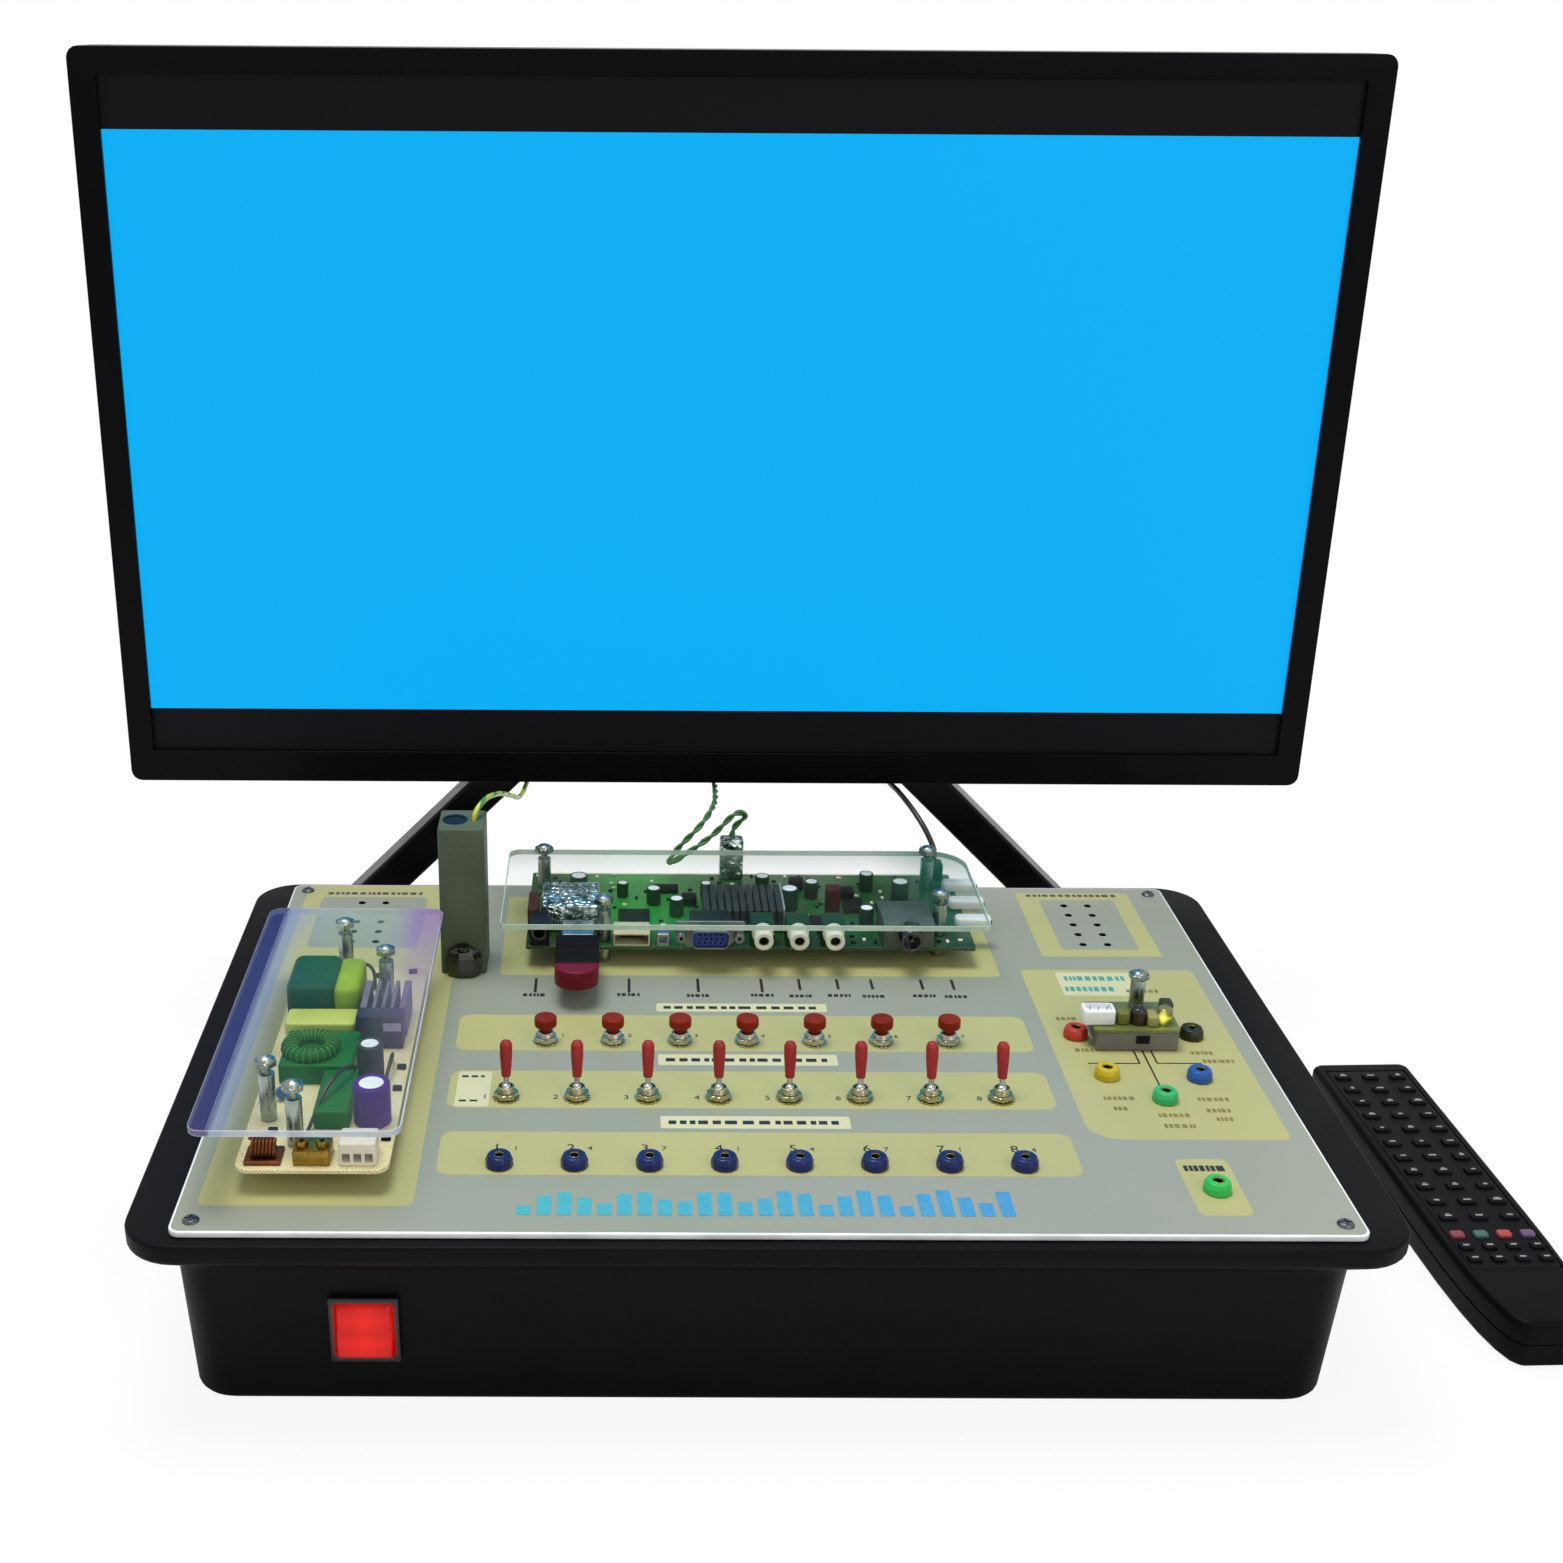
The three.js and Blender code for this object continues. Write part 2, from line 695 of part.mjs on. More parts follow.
// A closed skin through rings of equal point counts, with a flat cap on the first and the last
function loft(rings) {
  const count = rings[0].length;
  const positions = rings.flat().flatMap((point) => [point.x, point.y, point.z]);
  const index = [];
  for (let level = 0; level + 1 < rings.length; level += 1) {
    for (let k = 0; k < count; k += 1) {
      const next = (k + 1) % count;
      const a = level * count + k;
      const b = level * count + next;
      index.push(a, b, b + count, a, b + count, a + count);
    }
  }
  const top = (rings.length - 1) * count;
  for (let k = 1; k + 1 < count; k += 1) {
    index.push(0, k + 1, k);
    index.push(top, top + k, top + k + 1);
  }
  const geometry = new THREE.BufferGeometry();
  geometry.setAttribute("position", new THREE.Float32BufferAttribute(positions, 3));
  geometry.setIndex(index);
  return solid(geometry);
}

// The x of each control in a centred row
function rowPlaces(count, pitch, middle = 0) {
  return Array.from({ length: count }, (_, k) => middle + (k - (count - 1) / 2) * pitch);
}

// Tub: one moulded skin, from the outer foot over the rim and down to the inner floor
function tubRing(inset, corner, z) {
  return ring(rimWidth - 2 * inset, rimDepth - 2 * inset, corner, z);
}

function rimRing(inset, z) {
  const depth = rimDepth + rimBackReach - 2 * inset;
  return ring(rimWidth - 2 * inset, depth, rimCorner, z, rimBackReach / 2);
}

function ledgeRing(z) {
  const depth = rimDepth - ledgeWidth - ledgeBack;
  return ring(rimWidth - 2 * ledgeWidth, depth, ledgeCorner, z, (ledgeWidth - ledgeBack) / 2);
}

function insetAt(z) {
  return footInset - (z - footRound) * Math.tan(draft);
}

function tubSkin() {
  return loft([
    tubRing(footInset + footRound, wallCorner, 0),
    tubRing(footInset, wallCorner, footRound),
    tubRing(wallInset, wallCorner, wallTop),
    rimRing(0, rimHeight - rimLip),
    rimRing(0, rimHeight),
    ledgeRing(rimHeight),
    ledgeRing(rimHeight - tubWall),
    rimRing(tubWall, rimHeight - tubWall),
    rimRing(tubWall, rimHeight - rimLip),
    tubRing(wallInset + tubWall, wallCorner, wallTop - tubWall),
    tubRing(footInset + tubWall, wallCorner, footRound + tubWall),
    tubRing(footInset + footRound + tubWall, wallCorner, tubWall),
  ]);
}

function switchHole(width, height) {
  return block(width, 2 * (tubWall + overrun + footInset - wallInset), height, 0, 0, -height / 2);
}

function makeTub() {
  const frontHole = switchHole(housingWidth() + 2 * seatGap, housingHeight() + 2 * seatGap);
  const backHole = switchHole(inletBodyWidth() + 2 * seatGap, inletBodyHeight() + 2 * seatGap);
  const body = cut(tubSkin(), [
    frontHole.translate([mainsSwitchX, wallY(mainsSwitchZ), mainsSwitchZ]),
    backHole.translate([inletX, -wallY(inletZ), inletZ]),
  ]);
  return piece("base_tub", body, "#141417", 0.5, 0);
}

// The y of the front wall's outer face at height z
function wallY(z) {
  return -rimDepth / 2 + insetAt(z);
}

// Panel
function soundHoles(x, y) {
  const places = [];
  for (const dx of rowPlaces(soundHoleColumns, soundHolePitchX)) {
    for (const dy of rowPlaces(soundHoleRows, soundHolePitchY)) places.push([x + dx, y + dy]);
  }
  return places.map(([px, py]) => [px, py, soundHoleRadius, hexSides]);
}

function sensorSocketPlaces() {
  return sensorSocketShares.map(([sx, sy]) => [
    sensorGroupX + sx * sensorGroupWidth,
    sensorGroupY + sy * sensorGroupDepth,
  ]);
}

function panelHoles() {
  const keys = rowPlaces(keyCount, controlPitch, rowX).map((x) => [x, keyRowY, bushingRadius + seatGap]);
  const toggleHole = toggleBushingRadius + seatGap;
  const socketHole = socketBodyRadius + seatGap;
  const toggles = rowPlaces(toggleCount, controlPitch, rowX).map((x) => [x, toggleRowY, toggleHole]);
  const sockets = rowPlaces(testSocketCount, controlPitch, rowX).map((x) => [x, socketRowY, socketHole]);
  const sensors = sensorSocketPlaces().map(([x, y]) => [x, y, socketHole]);
  const power = [[powerSocketX, powerSocketY, socketHole]];
  const sound = [...soundHoles(speakerLeftX, speakerY), ...soundHoles(speakerRightX, speakerY)];
  return [...keys, ...toggles, ...sockets, ...sensors, ...power, ...sound];
}

function makePanel() {
  const centreY = (panelFront + panelBack) / 2;
  const shape = roundedShape(panelWidth, panelDepth, panelCorner, 0, centreY);
  for (const [x, y, radius, sides = roundSides] of panelHoles()) {
    const hole = new THREE.Path();
    for (let k = 0; k <= sides; k += 1) {
      const angle = (k / sides) * 2 * Math.PI;
      const px = x + radius * Math.sin(angle);
      const py = y + radius * Math.cos(angle);
      if (k === 0) hole.moveTo(px, py);
      else hole.lineTo(px, py);
    }
    shape.holes.push(hole);
  }
  const heads = [];
  for (const sx of [-1, 1]) {
    for (const sy of [-1, 1]) {
      const x = sx * (panelWidth / 2 - screwInset);
      const y = centreY + sy * (panelDepth / 2 - screwInset);
      heads.push(disc(screwHeadRadius, panelThickness / 2 + screwHeadHeight, x, y, panelThickness / 2));
    }
  }
  const body = join([plate(shape, panelThickness), ...heads]);
  const mesh = piece("top_panel", body, "#b9c2bc", 0.35, 0);
  mesh.position.z = panelUnder;
  return mesh;
}

// A strip of circuit board under the panel, its top at z = 0
function stripBoard(count, depth = stripDepth) {
  const width = (count - 1) * controlPitch + 2 * stripEnd;
  return block(width, depth, circuitThickness, 0, 0, -circuitThickness);
}

// A threaded bushing with a blind bore and its nut, standing on a switch body
function bushing(radius, bore, boreDepth, bodyHeight, height, nut, x) {
  const top = bodyHeight + seatGap + panelThickness + height;
  const profile = [
    [0, bodyHeight / 2],
    [radius, bodyHeight / 2],
    [radius, top],
    [bore, top],
    [bore, top - boreDepth],
    [0, top - boreDepth],
  ];
  const nutSeat = bodyHeight + 2 * seatGap + panelThickness;
  const collar = turned(
    [
      [radius * nutBoreShare, nutSeat],
      [nut, nutSeat],
      [nut, nutSeat + nutHeight],
      [radius * nutBoreShare, nutSeat + nutHeight],
      [radius * nutBoreShare, nutSeat],
    ],
    x,
    0,
    0,
    hexSides,
  );
  return join([turned(profile, x, 0, 0, roundSides), collar]);
}

function boardUnder(bodyHeight) {
  return panelUnder - seatGap - bodyHeight;
}

function keyBoreDepth() {
  return keyStemLength + runGap;
}

function makeKeypadBoard() {
  const bodies = rowPlaces(keyCount, controlPitch).flatMap((x) => [
    fitted(switchBody, switchBody, switchBodyHeight, x, 0),
    bushing(bushingRadius, bushingBore, keyBoreDepth(), switchBodyHeight, bushingHeight, nutAcross, x),
  ]);
  const mesh = piece("keypad_board", join([stripBoard(keyCount), ...bodies]), "#2b6b3a", 0.6, 0);
  mesh.position.set(rowX, keyRowY, boardUnder(switchBodyHeight));
  return mesh;
}

function toggleBoreDepth() {
  return toggleBallDepth + toggleBallRadius + runGap;
}

function makeToggleBoard() {
  const bodies = rowPlaces(toggleCount, controlPitch).flatMap((x) => [
    fitted(toggleBodyWidth, toggleBodyDepth, toggleBodyHeight, x, 0),
    bushing(
      toggleBushingRadius,
      toggleBore,
      toggleBoreDepth(),
      toggleBodyHeight,
      toggleBushingHeight,
      toggleNutAcross,
      x,
    ),
  ]);
  const mesh = piece("toggle_board", join([stripBoard(toggleCount), ...bodies]), "#a9a9a4", 0.4, 0.5);
  mesh.position.set(rowX, toggleRowY, boardUnder(toggleBodyHeight));
  return mesh;
}

// Button cap with its stem. Its own origin is on the bushing's mouth
function makeKeyCap(number, x) {
  const under = keyTravel + keyStop;
  const stem = bushingBore - runGap;
  const shoulder = under + keyCapHeight * capShoulderShare;
  const profile = [
    [0, keyTravel - keyStemLength],
    [stem, keyTravel - keyStemLength],
    [stem, under],
    [keyCapRadius * capFootShare, under],
    [keyCapRadius, shoulder],
    [keyCapRadius * capBrowShare, under + keyCapHeight * capCrownShare],
    [0, under + keyCapHeight],
  ];
  const mesh = piece("key_cap_" + number, turned(profile, 0, 0, 0, roundSides), "#d4382a", 0.45, 0);
  mesh.position.set(x, keyRowY, panelTop + bushingHeight);
  return mesh;
}

// Toggle lever with its ball. Its own origin is the ball's centre, about which it swings
function makeToggleLever(number, x) {
  const profile = [[0, -toggleBallRadius]];
  const neckAngle = Math.asin(toggleLeverRadius / toggleBallRadius);
  for (let k = 1; k <= ballSteps; k += 1) {
    const angle = (k / ballSteps) * (Math.PI - neckAngle);
    profile.push([toggleBallRadius * Math.sin(angle), -toggleBallRadius * Math.cos(angle)]);
  }
  const tip = toggleSleeveRadius * sleeveTipShare;
  profile.push([toggleLeverRadius, toggleSleeveStart]);
  profile.push([toggleSleeveRadius * sleeveFootShare, toggleSleeveStart]);
  profile.push([toggleSleeveRadius, toggleLeverLength - tip]);
  profile.push([toggleSleeveRadius * sleeveTipShare, toggleLeverLength - tip * sleeveTipDropShare]);
  profile.push([0, toggleLeverLength]);
  const mesh = piece("toggle_lever_" + number, turned(profile, 0, 0, 0, roundSides), "#b8202e", 0.4, 0);
  mesh.position.set(x, toggleRowY, panelTop + toggleBushingHeight - toggleBallDepth);
  mesh.rotation.x = -THREE.MathUtils.degToRad(toggleLean);
  return mesh;
}

// One test socket: coloured head on the panel, body through it, blind bore for the plug
function testSocket(x, y) {
  const headUnder = panelTop + seatGap;
  const headTop = headUnder + socketHeadHeight;
  const profile = [
    [0, headUnder - socketBodyLength],
    [socketBodyRadius, headUnder - socketBodyLength],
    [socketBodyRadius, headUnder],
    [socketHeadRadius, headUnder],
    [socketHeadRadius, headUnder + socketHeadHeight / 2],
    [socketHeadTop, headTop],
    [socketBore, headTop],
    [socketBore, headTop - socketBoreDepth],
    [0, headTop - socketBoreDepth],
  ];
  return turned(profile, x, y, 0, roundSides);
}

function socketBoardTop() {
  return panelTop + seatGap - socketBodyLength + circuitThickness;
}

function makeTestSockets() {
  const sockets = rowPlaces(testSocketCount, controlPitch).map((x) => testSocket(x, 0));
  const strip = stripBoard(testSocketCount).translate([0, 0, socketBoardTop()]);
  const mesh = piece("test_socket_board", join([strip, ...sockets]), "#24418f", 0.35, 0);
  mesh.position.set(rowX, socketRowY, 0);
  return mesh;
}

function makeSensorSockets() {
  const sockets = sensorSocketPlaces().map(([x, y]) => testSocket(x, y));
  const width = sensorGroupWidth + stripEnd;
  const depth = sensorGroupDepth + stripEnd;
  const z = socketBoardTop() - circuitThickness;
  const board = block(width, depth, circuitThickness, sensorGroupX, sensorGroupY, z);
  return piece("sensor_socket_board", join([board, ...sockets]), "#3b8f55", 0.35, 0);
}

function makePowerSocket() {
  return piece("power_socket", testSocket(powerSocketX, powerSocketY), "#35b25c", 0.35, 0);
}

// Loudspeaker hung face up under the panel: rim, cone and magnet in one turned body
function makeSpeaker(name, x) {
  const top = panelUnder - seatGap;
  const rimInner = speakerRadius * speakerConeShare;
  const throat = magnetRadius * speakerThroatShare;
  const coneFoot = top - speakerDepth + magnetHeight;
  const profile = [
    [0, top - speakerDepth],
    [magnetRadius, top - speakerDepth],
    [magnetRadius, coneFoot],
    [rimInner + coneWall, top - speakerRimHeight],
    [speakerRadius, top - speakerRimHeight],
    [speakerRadius, top],
    [rimInner, top],
    [throat, coneFoot + coneWall],
    [0, coneFoot + coneWall * 2],
  ];
  return piece(name, turned(profile, x, speakerY, 0, fineSides), "#26272b", 0.7, 0.2);
}

// Mains switch, built upright round its own centre and tilted with the tub's wall
function housingWidth() {
  return switchFlangeWidth - 2 * housingSetBack;
}

function housingHeight() {
  return switchFlangeHeight - 2 * housingSetBack;
}

function makeSwitchFrame() {
  const flangeFront = -seatGap - switchFlangeThickness;
  const flange = block(
    switchFlangeWidth,
    switchFlangeThickness,
    switchFlangeHeight,
    0,
    flangeFront + switchFlangeThickness / 2,
    -switchFlangeHeight / 2,
  );
  const depth = switchHousingDepth + seatGap + switchFlangeThickness / 2;
  const y = flangeFront + switchFlangeThickness / 2 + depth / 2;
  const housing = block(housingWidth(), depth, housingHeight(), 0, y, -housingHeight() / 2);
  const mouthDepth = rockerThickness + rockerProud + overrun + mouthRoom;
  const mouth = block(
    rockerWidth + 2 * mouthGap,
    mouthDepth,
    rockerHeight + 2 * mouthGap,
    0,
    flangeFront - overrun + mouthDepth / 2,
    -rockerHeight / 2 - mouthGap,
  );
  return piece("power_switch_frame", cut(join([flange, housing]), [mouth]), "#101012", 0.4, 0);
}

function makeRocker() {
  const outline = new THREE.Shape();
  const front = -rockerThickness / 2;
  const high = rockerHeight / 2 - mouthGap;
  outline.moveTo(front, -high);
  outline.lineTo(front + rockerDip, 0);
  outline.lineTo(front, high);
  outline.lineTo(rockerThickness / 2, high * rockerBackShare);
  outline.lineTo(rockerThickness / 2, -high * rockerBackShare);
  outline.closePath();
  const geometry = new THREE.ExtrudeGeometry(outline, { depth: rockerWidth, bevelEnabled: false });
  geometry.translate(0, 0, -rockerWidth / 2);
  // The outline's x and y become Y and Z, and its depth becomes X
  geometry.applyMatrix4(new THREE.Matrix4().makeBasis(
    new THREE.Vector3(0, 1, 0),
    new THREE.Vector3(0, 0, 1),
    new THREE.Vector3(1, 0, 0),
  ));
  const mesh = piece("power_rocker", solid(geometry), "#e0281f", 0.3, 0);
  mesh.position.y = -seatGap - switchFlangeThickness - rockerProud + rockerThickness / 2;
  mesh.rotation.x = -THREE.MathUtils.degToRad(rockerSwing);
  return mesh;
}

function makeMainsSwitch() {
  const group = new THREE.Group();
  group.add(makeSwitchFrame(), makeRocker());
  group.position.set(mainsSwitchX, wallY(mainsSwitchZ), mainsSwitchZ);
  group.rotation.x = draft;
  return group;
}

// Mains inlet, built facing the user and turned round to the back wall
function inletBodyWidth() {
  return inletMouthWidth + 2 * inletWall;
}

function inletBodyHeight() {
  return inletMouthHeight + 2 * inletWall;
}

function makeInlet() {
  const front = -seatGap - inletFlangeThickness;
  const flange = block(
    inletFlangeWidth,
    inletFlangeThickness,
    inletFlangeHeight,
    0,
    front + inletFlangeThickness / 2,
    -inletFlangeHeight / 2,
  );
  const depth = inletMouthDepth + inletWall;
  const height = inletBodyHeight();
  const body = block(inletBodyWidth(), depth, height, 0, front + depth / 2, -height / 2);
  const cutDepth = inletMouthDepth + overrun;
  const mouthY = front - overrun + cutDepth / 2;
  const mouth = block(inletMouthWidth, cutDepth, inletMouthHeight, 0, mouthY, -inletMouthHeight / 2);
  const pinDepth = inletPinLength + inletWall / 2;
  const pinY = front + inletMouthDepth - inletPinLength + pinDepth / 2;
  const pins = [
    [-inletPinSpread, -inletPinDrop],
    [inletPinSpread, -inletPinDrop],
    [0, inletPinDrop],
  ].map(([x, z]) => block(inletPinThickness, pinDepth, inletPinWidth, x, pinY, z - inletPinWidth / 2));
  const shell = cut(join([flange, body]), [mouth]);
  return piece("mains_inlet", join([shell, ...pins]), "#17181b", 0.5, 0);
}

function makeMainsInlet() {
  const tilted = new THREE.Group();
  tilted.add(makeInlet());
  tilted.rotation.x = draft;
  const group = new THREE.Group();
  group.add(tilted);
  group.position.set(inletX, -wallY(inletZ), inletZ);
  group.rotation.z = Math.PI;
  return group;
}

// Stand-off from the panel through a circuit board, with its cap nut, above the cover if it carries one
function standoff(name, x, y, upperHeight, covered) {
  const boardUnderside = spacerHeight;
  const boardTopside = boardUnderside + circuitThickness;
  const upperTop = boardTopside + upperHeight;
  const nutSeat = upperTop + (covered ? coverThickness + seatGap : 0);
  const profile = [
    [0, seatGap],
    [spacerRadius, seatGap],
    [spacerRadius, boardUnderside - seatGap],
    [studRadius, boardUnderside - seatGap],
    [studRadius, boardTopside + seatGap],
    [spacerRadius, boardTopside + seatGap],
    [spacerRadius, upperTop - seatGap],
    [studRadius, upperTop - seatGap],
    [studRadius, nutSeat],
    [capNutRadius, nutSeat],
    [capNutRadius, nutSeat + capNutHeight / 2],
    [capNutRadius * capNutCrownShare, nutSeat + capNutHeight],
    [0, nutSeat + capNutHeight],
  ];
  const mesh = piece(name, turned(profile, 0, 0, 0, roundSides), "#b8bab6", 0.25, 1);
  mesh.position.set(x, y, panelTop);
  return mesh;
}

function studHole(x, y, thickness, z) {
  return disc(studRadius + studClearance, thickness + 2 * overrun, x, y, z - overrun);
}

// Television receiver board. Its own origin is the middle of its front edge, on its top face
function fromLeft(left, width) {
  return left + width / 2 - mainBoardWidth / 2;
}

function onMainBoard([widthShare, depthShare]) {
  return [widthShare * mainBoardWidth, depthShare * mainBoardDepth];
}

function mainPosts() {
  const backY = mainBoardDepth + mainCoverBack - backPostInset;
  return [
    [fromLeft(usbLeft + usbWidth, hdmiLeft - usbLeft - usbWidth), frontPostDepth],
    [fromLeft(tunerLeft + tunerWidth, 2 * (spacerRadius + postRoom)), sidePostDepth],
    [backPostLeft - mainBoardWidth / 2, backY],
    [mainBoardWidth / 2 - backPostRight, backY],
  ];
}

function usbSocket() {
  const x = fromLeft(usbLeft, usbWidth);
  const y = usbDepth / 2 - usbProud;
  const shell = fitted(usbWidth, usbDepth, usbHeight, x, y);
  const hole = block(
    usbWidth - 2 * usbWall,
    usbDepth - usbWall + overrun,
    usbHeight - 2 * usbWall,
    x,
    y - usbWall / 2 - overrun / 2,
    usbWall,
  );
  return cut(shell, [hole]);
}

function hdmiSocket() {
  const x = fromLeft(hdmiLeft, hdmiWidth);
  const shell = fitted(hdmiWidth, hdmiDepth, hdmiHeight, x, hdmiDepth / 2);
  const length = hdmiSlotDepth + overrun;
  const slot = block(
    hdmiWidth - 2 * hdmiWall,
    length,
    hdmiHeight - 2 * hdmiWall,
    x,
    hdmiSlotDepth - length / 2,
    hdmiWall,
  );
  return cut(shell, [slot]);
}

function vgaSocket() {
  const x = fromLeft(vgaLeft, vgaFlangeWidth);
  const front = -vgaFlangeThickness;
  const mid = vgaFlangeHeight / 2 + weld;
  const flangeShape = roundedShape(vgaFlangeWidth, vgaFlangeHeight, vgaFlangeHeight * vgaCornerShare, x, mid);
  const flange = wall(flangeShape, vgaFlangeThickness, front);
  const shellShape = roundedShape(vgaShellWidth, vgaShellHeight, vgaShellHeight * vgaCornerShare, x, mid);
  const shell = wall(shellShape, vgaShellLength + vgaFlangeThickness, front - vgaShellLength);
  const bodyDepth = vgaBodyDepth + weld;
  const body = fitted(vgaShellWidth, bodyDepth, vgaFlangeHeight - vgaWall, x, bodyDepth / 2 - weld);
  const mouthShape = roundedShape(
    vgaShellWidth - 2 * vgaWall,
    vgaShellHeight - 2 * vgaWall,
    vgaShellHeight * vgaCornerShare - vgaWall,
    x,
    mid,
  );
  const mouth = wall(mouthShape, vgaShellLength + overrun, front - vgaShellLength - overrun);
  const screwLength = jackScrewLength + vgaFlangeThickness / 2;
  const screws = [-jackScrewSpread, jackScrewSpread].map((dx) =>
    barAlongY(jackScrewRadius, screwLength, x + dx, front - jackScrewLength, mid, hexSides),
  );
  return join([cut(join([flange, shell, body]), [mouth]), ...screws]);
}

function phonoSocket(k) {
  const x = fromLeft(phonoLeft + k * phonoPitch, phonoBodyWidth);
  const body = fitted(phonoBodyWidth, phonoBodyDepth, phonoBodyHeight, x, phonoBodyDepth / 2);
  const length = phonoLength + overrun;
  const barrel = barAlongY(phonoRadius, length, x, -phonoLength, phonoAxisHeight);
  const bore = barAlongY(phonoBore, length, x, -length, phonoAxisHeight, hexSides);
  return cut(join([body, barrel]), [bore]);
}

function aerialSocket() {
  const x = fromLeft(tunerLeft, tunerWidth);
  const tuner = fitted(tunerWidth, tunerDepth, tunerHeight, x, tunerDepth / 2);
  const length = aerialLength + overrun;
  const barrel = barAlongY(aerialRadius, length, x, -aerialLength, phonoAxisHeight);
  const bore = barAlongY(aerialBore, length, x, -length, phonoAxisHeight, hexSides);
  return cut(join([tuner, barrel]), [bore]);
}

function mainBoardParts() {
  const backY = mainBoardDepth - wirePlugDepth / 2;
  const parts = [
    fitted(jackWidth, jackDepth, jackHeight, fromLeft(jackLeft, jackWidth), jackDepth / 2),
    fitted(shieldWidth, shieldDepth, shieldHeight, ...onMainBoard(shieldPlaceShares)),
    fitted(coolerWidth, coolerDepth, coolerHeight, ...onMainBoard(coolerPlaceShares)),
    fitted(filmWidth, filmDepth, filmHeight, ...onMainBoard(filmPlaceShares)),
    fitted(postPartSize, postPartSize, postPartHeight, ...onMainBoard(postPartPlaceShares)),
    fitted(wirePlugWidth, wirePlugDepth, wirePlugHeight, wirePlugPlaceShare * mainBoardWidth, backY),
    fitted(powerPlugWidth, wirePlugDepth, powerPlugHeight, powerPlugPlaceShare * mainBoardWidth, backY),
  ];
  for (let k = 0; k < plugCount; k += 1) {
    const x = mainBoardWidth / 2 + plugOverhang - plugWidth / 2;
    parts.push(fitted(plugWidth, plugDepth, plugHeight, x, plugFirstY + k * plugPitch));
  }
  for (let k = 0; k < phonoCount; k += 1) parts.push(phonoSocket(k));
  return parts;
}

function makeMainBoard() {
  const circuit = block(
    mainBoardWidth,
    mainBoardDepth,
    circuitThickness,
    0,
    mainBoardDepth / 2,
    -circuitThickness,
  );
  const holes = mainPosts().map(([x, y]) => studHole(x, y, circuitThickness, -circuitThickness));
  const sockets = [usbSocket(), hdmiSocket(), vgaSocket(), aerialSocket()];
  const body = join([cut(circuit, holes), ...sockets, ...mainBoardParts()]);
  const mesh = piece("main_board", body, "#1f7a3d", 0.5, 0);
  mesh.position.set(mainBoardX, mainBoardY, boardTop);
  return mesh;
}

// A clear cover over a board, with a hole for each stud
function cover(name, shape, holes, z, colour) {
  const cuts = holes.map(([x, y]) => studHole(x, y, coverThickness, 0));
  const mesh = piece(name, cut(plate(shape, coverThickness), cuts), colour, 0.1, 0);
  mesh.position.z = z;
  return mesh;
}

function makeMainUnit() {
  const group = new THREE.Group();
  const posts = mainPosts().map(([x, y]) => [x + mainBoardX, y + mainBoardY]);
  group.add(makeMainBoard());
  posts.forEach(([x, y], k) => group.add(standoff("main_standoff_" + (k + 1), x, y, mainCoverGap, true)));
  const centreY = mainCoverY + mainCoverDepth / 2;
  const shape = roundedShape(mainCoverWidth, mainCoverDepth, coverCorner, mainCoverX, centreY);
  group.add(cover("main_cover", shape, posts, boardTop + mainCoverGap, "#cfe8dc"));
  return group;
}

// Memory stick. Its own origin is the middle of its shoulder, where the plug begins
function makeMemoryStick() {
  const plugWidthInside = usbWidth - 2 * usbWall - 2 * stickPlugSideGap;
  const plugHeightInside = usbHeight - 2 * usbWall - 2 * stickPlugSideGap;
  const shape = roundedShape(stickWidth, stickLength, stickWidth * stickCornerShare, 0, -stickLength / 2);
  const body = plate(shape, stickHeight, -stickHeight / 2);
  const plug = block(
    plugWidthInside,
    stickPlugLength + overrun,
    plugHeightInside,
    0,
    stickPlugLength / 2 - overrun / 2,
    -plugHeightInside / 2,
  );
  const mesh = piece("usb_stick", join([body, plug]), "#1a1a1d", 0.4, 0);
  const x = mainBoardX + fromLeft(usbLeft, usbWidth);
  mesh.position.set(x, mainBoardY - usbProud - stickEndGap, boardTop + usbHeight / 2);
  return mesh;
}

// Power supply. Its own origin is the middle of its front edge, on its top face
function psuPostPlaces() {
  const backY = transformerY + transformerDepth / 2 + psuBackPostGap;
  const sideY = sinkY + sinkDepth / 2 + psuSidePostGap;
  const depths = [...psuFrontPostDepths, backY, sideY];
  return depths.map((y, k) => [psuPostWidthShares[k] * psuBoardWidth, y]);
}

function psuParts() {
  const capHeight = reservoirHeight + weld;
  const parts = [
    fitted(inductorWidth, inductorDepth, inductorHeight, inductorX, inductorY),
    disc(reservoirRadius, capHeight, reservoirX, reservoirY, -weld),
    disc(smallCapRadius, capHeight, smallCapX, smallCapY, -weld),
    fitted(regulatorWidth, regulatorDepth, regulatorHeight, regulatorX, regulatorY),
  ];
  for (const share of terminalShares) {
    parts.push(fitted(terminalWidth, terminalDepth, terminalHeight, share * psuBoardWidth, terminalY));
  }
  return parts;
}

function makePsuBoard() {
  const shape = roundedShape(psuBoardWidth, psuBoardDepth, coverCorner / 2, 0, psuBoardDepth / 2);
  const holes = psuPostPlaces().map(([x, y]) => studHole(x, y, circuitThickness, -circuitThickness));
  const circuit = cut(plate(shape, circuitThickness, -circuitThickness), holes);
  const mesh = piece("psu_board", join([circuit, ...psuParts()]), "#c9b67a", 0.6, 0);
  mesh.position.set(psuBoardX, psuBoardY, boardTop);
  return mesh;
}

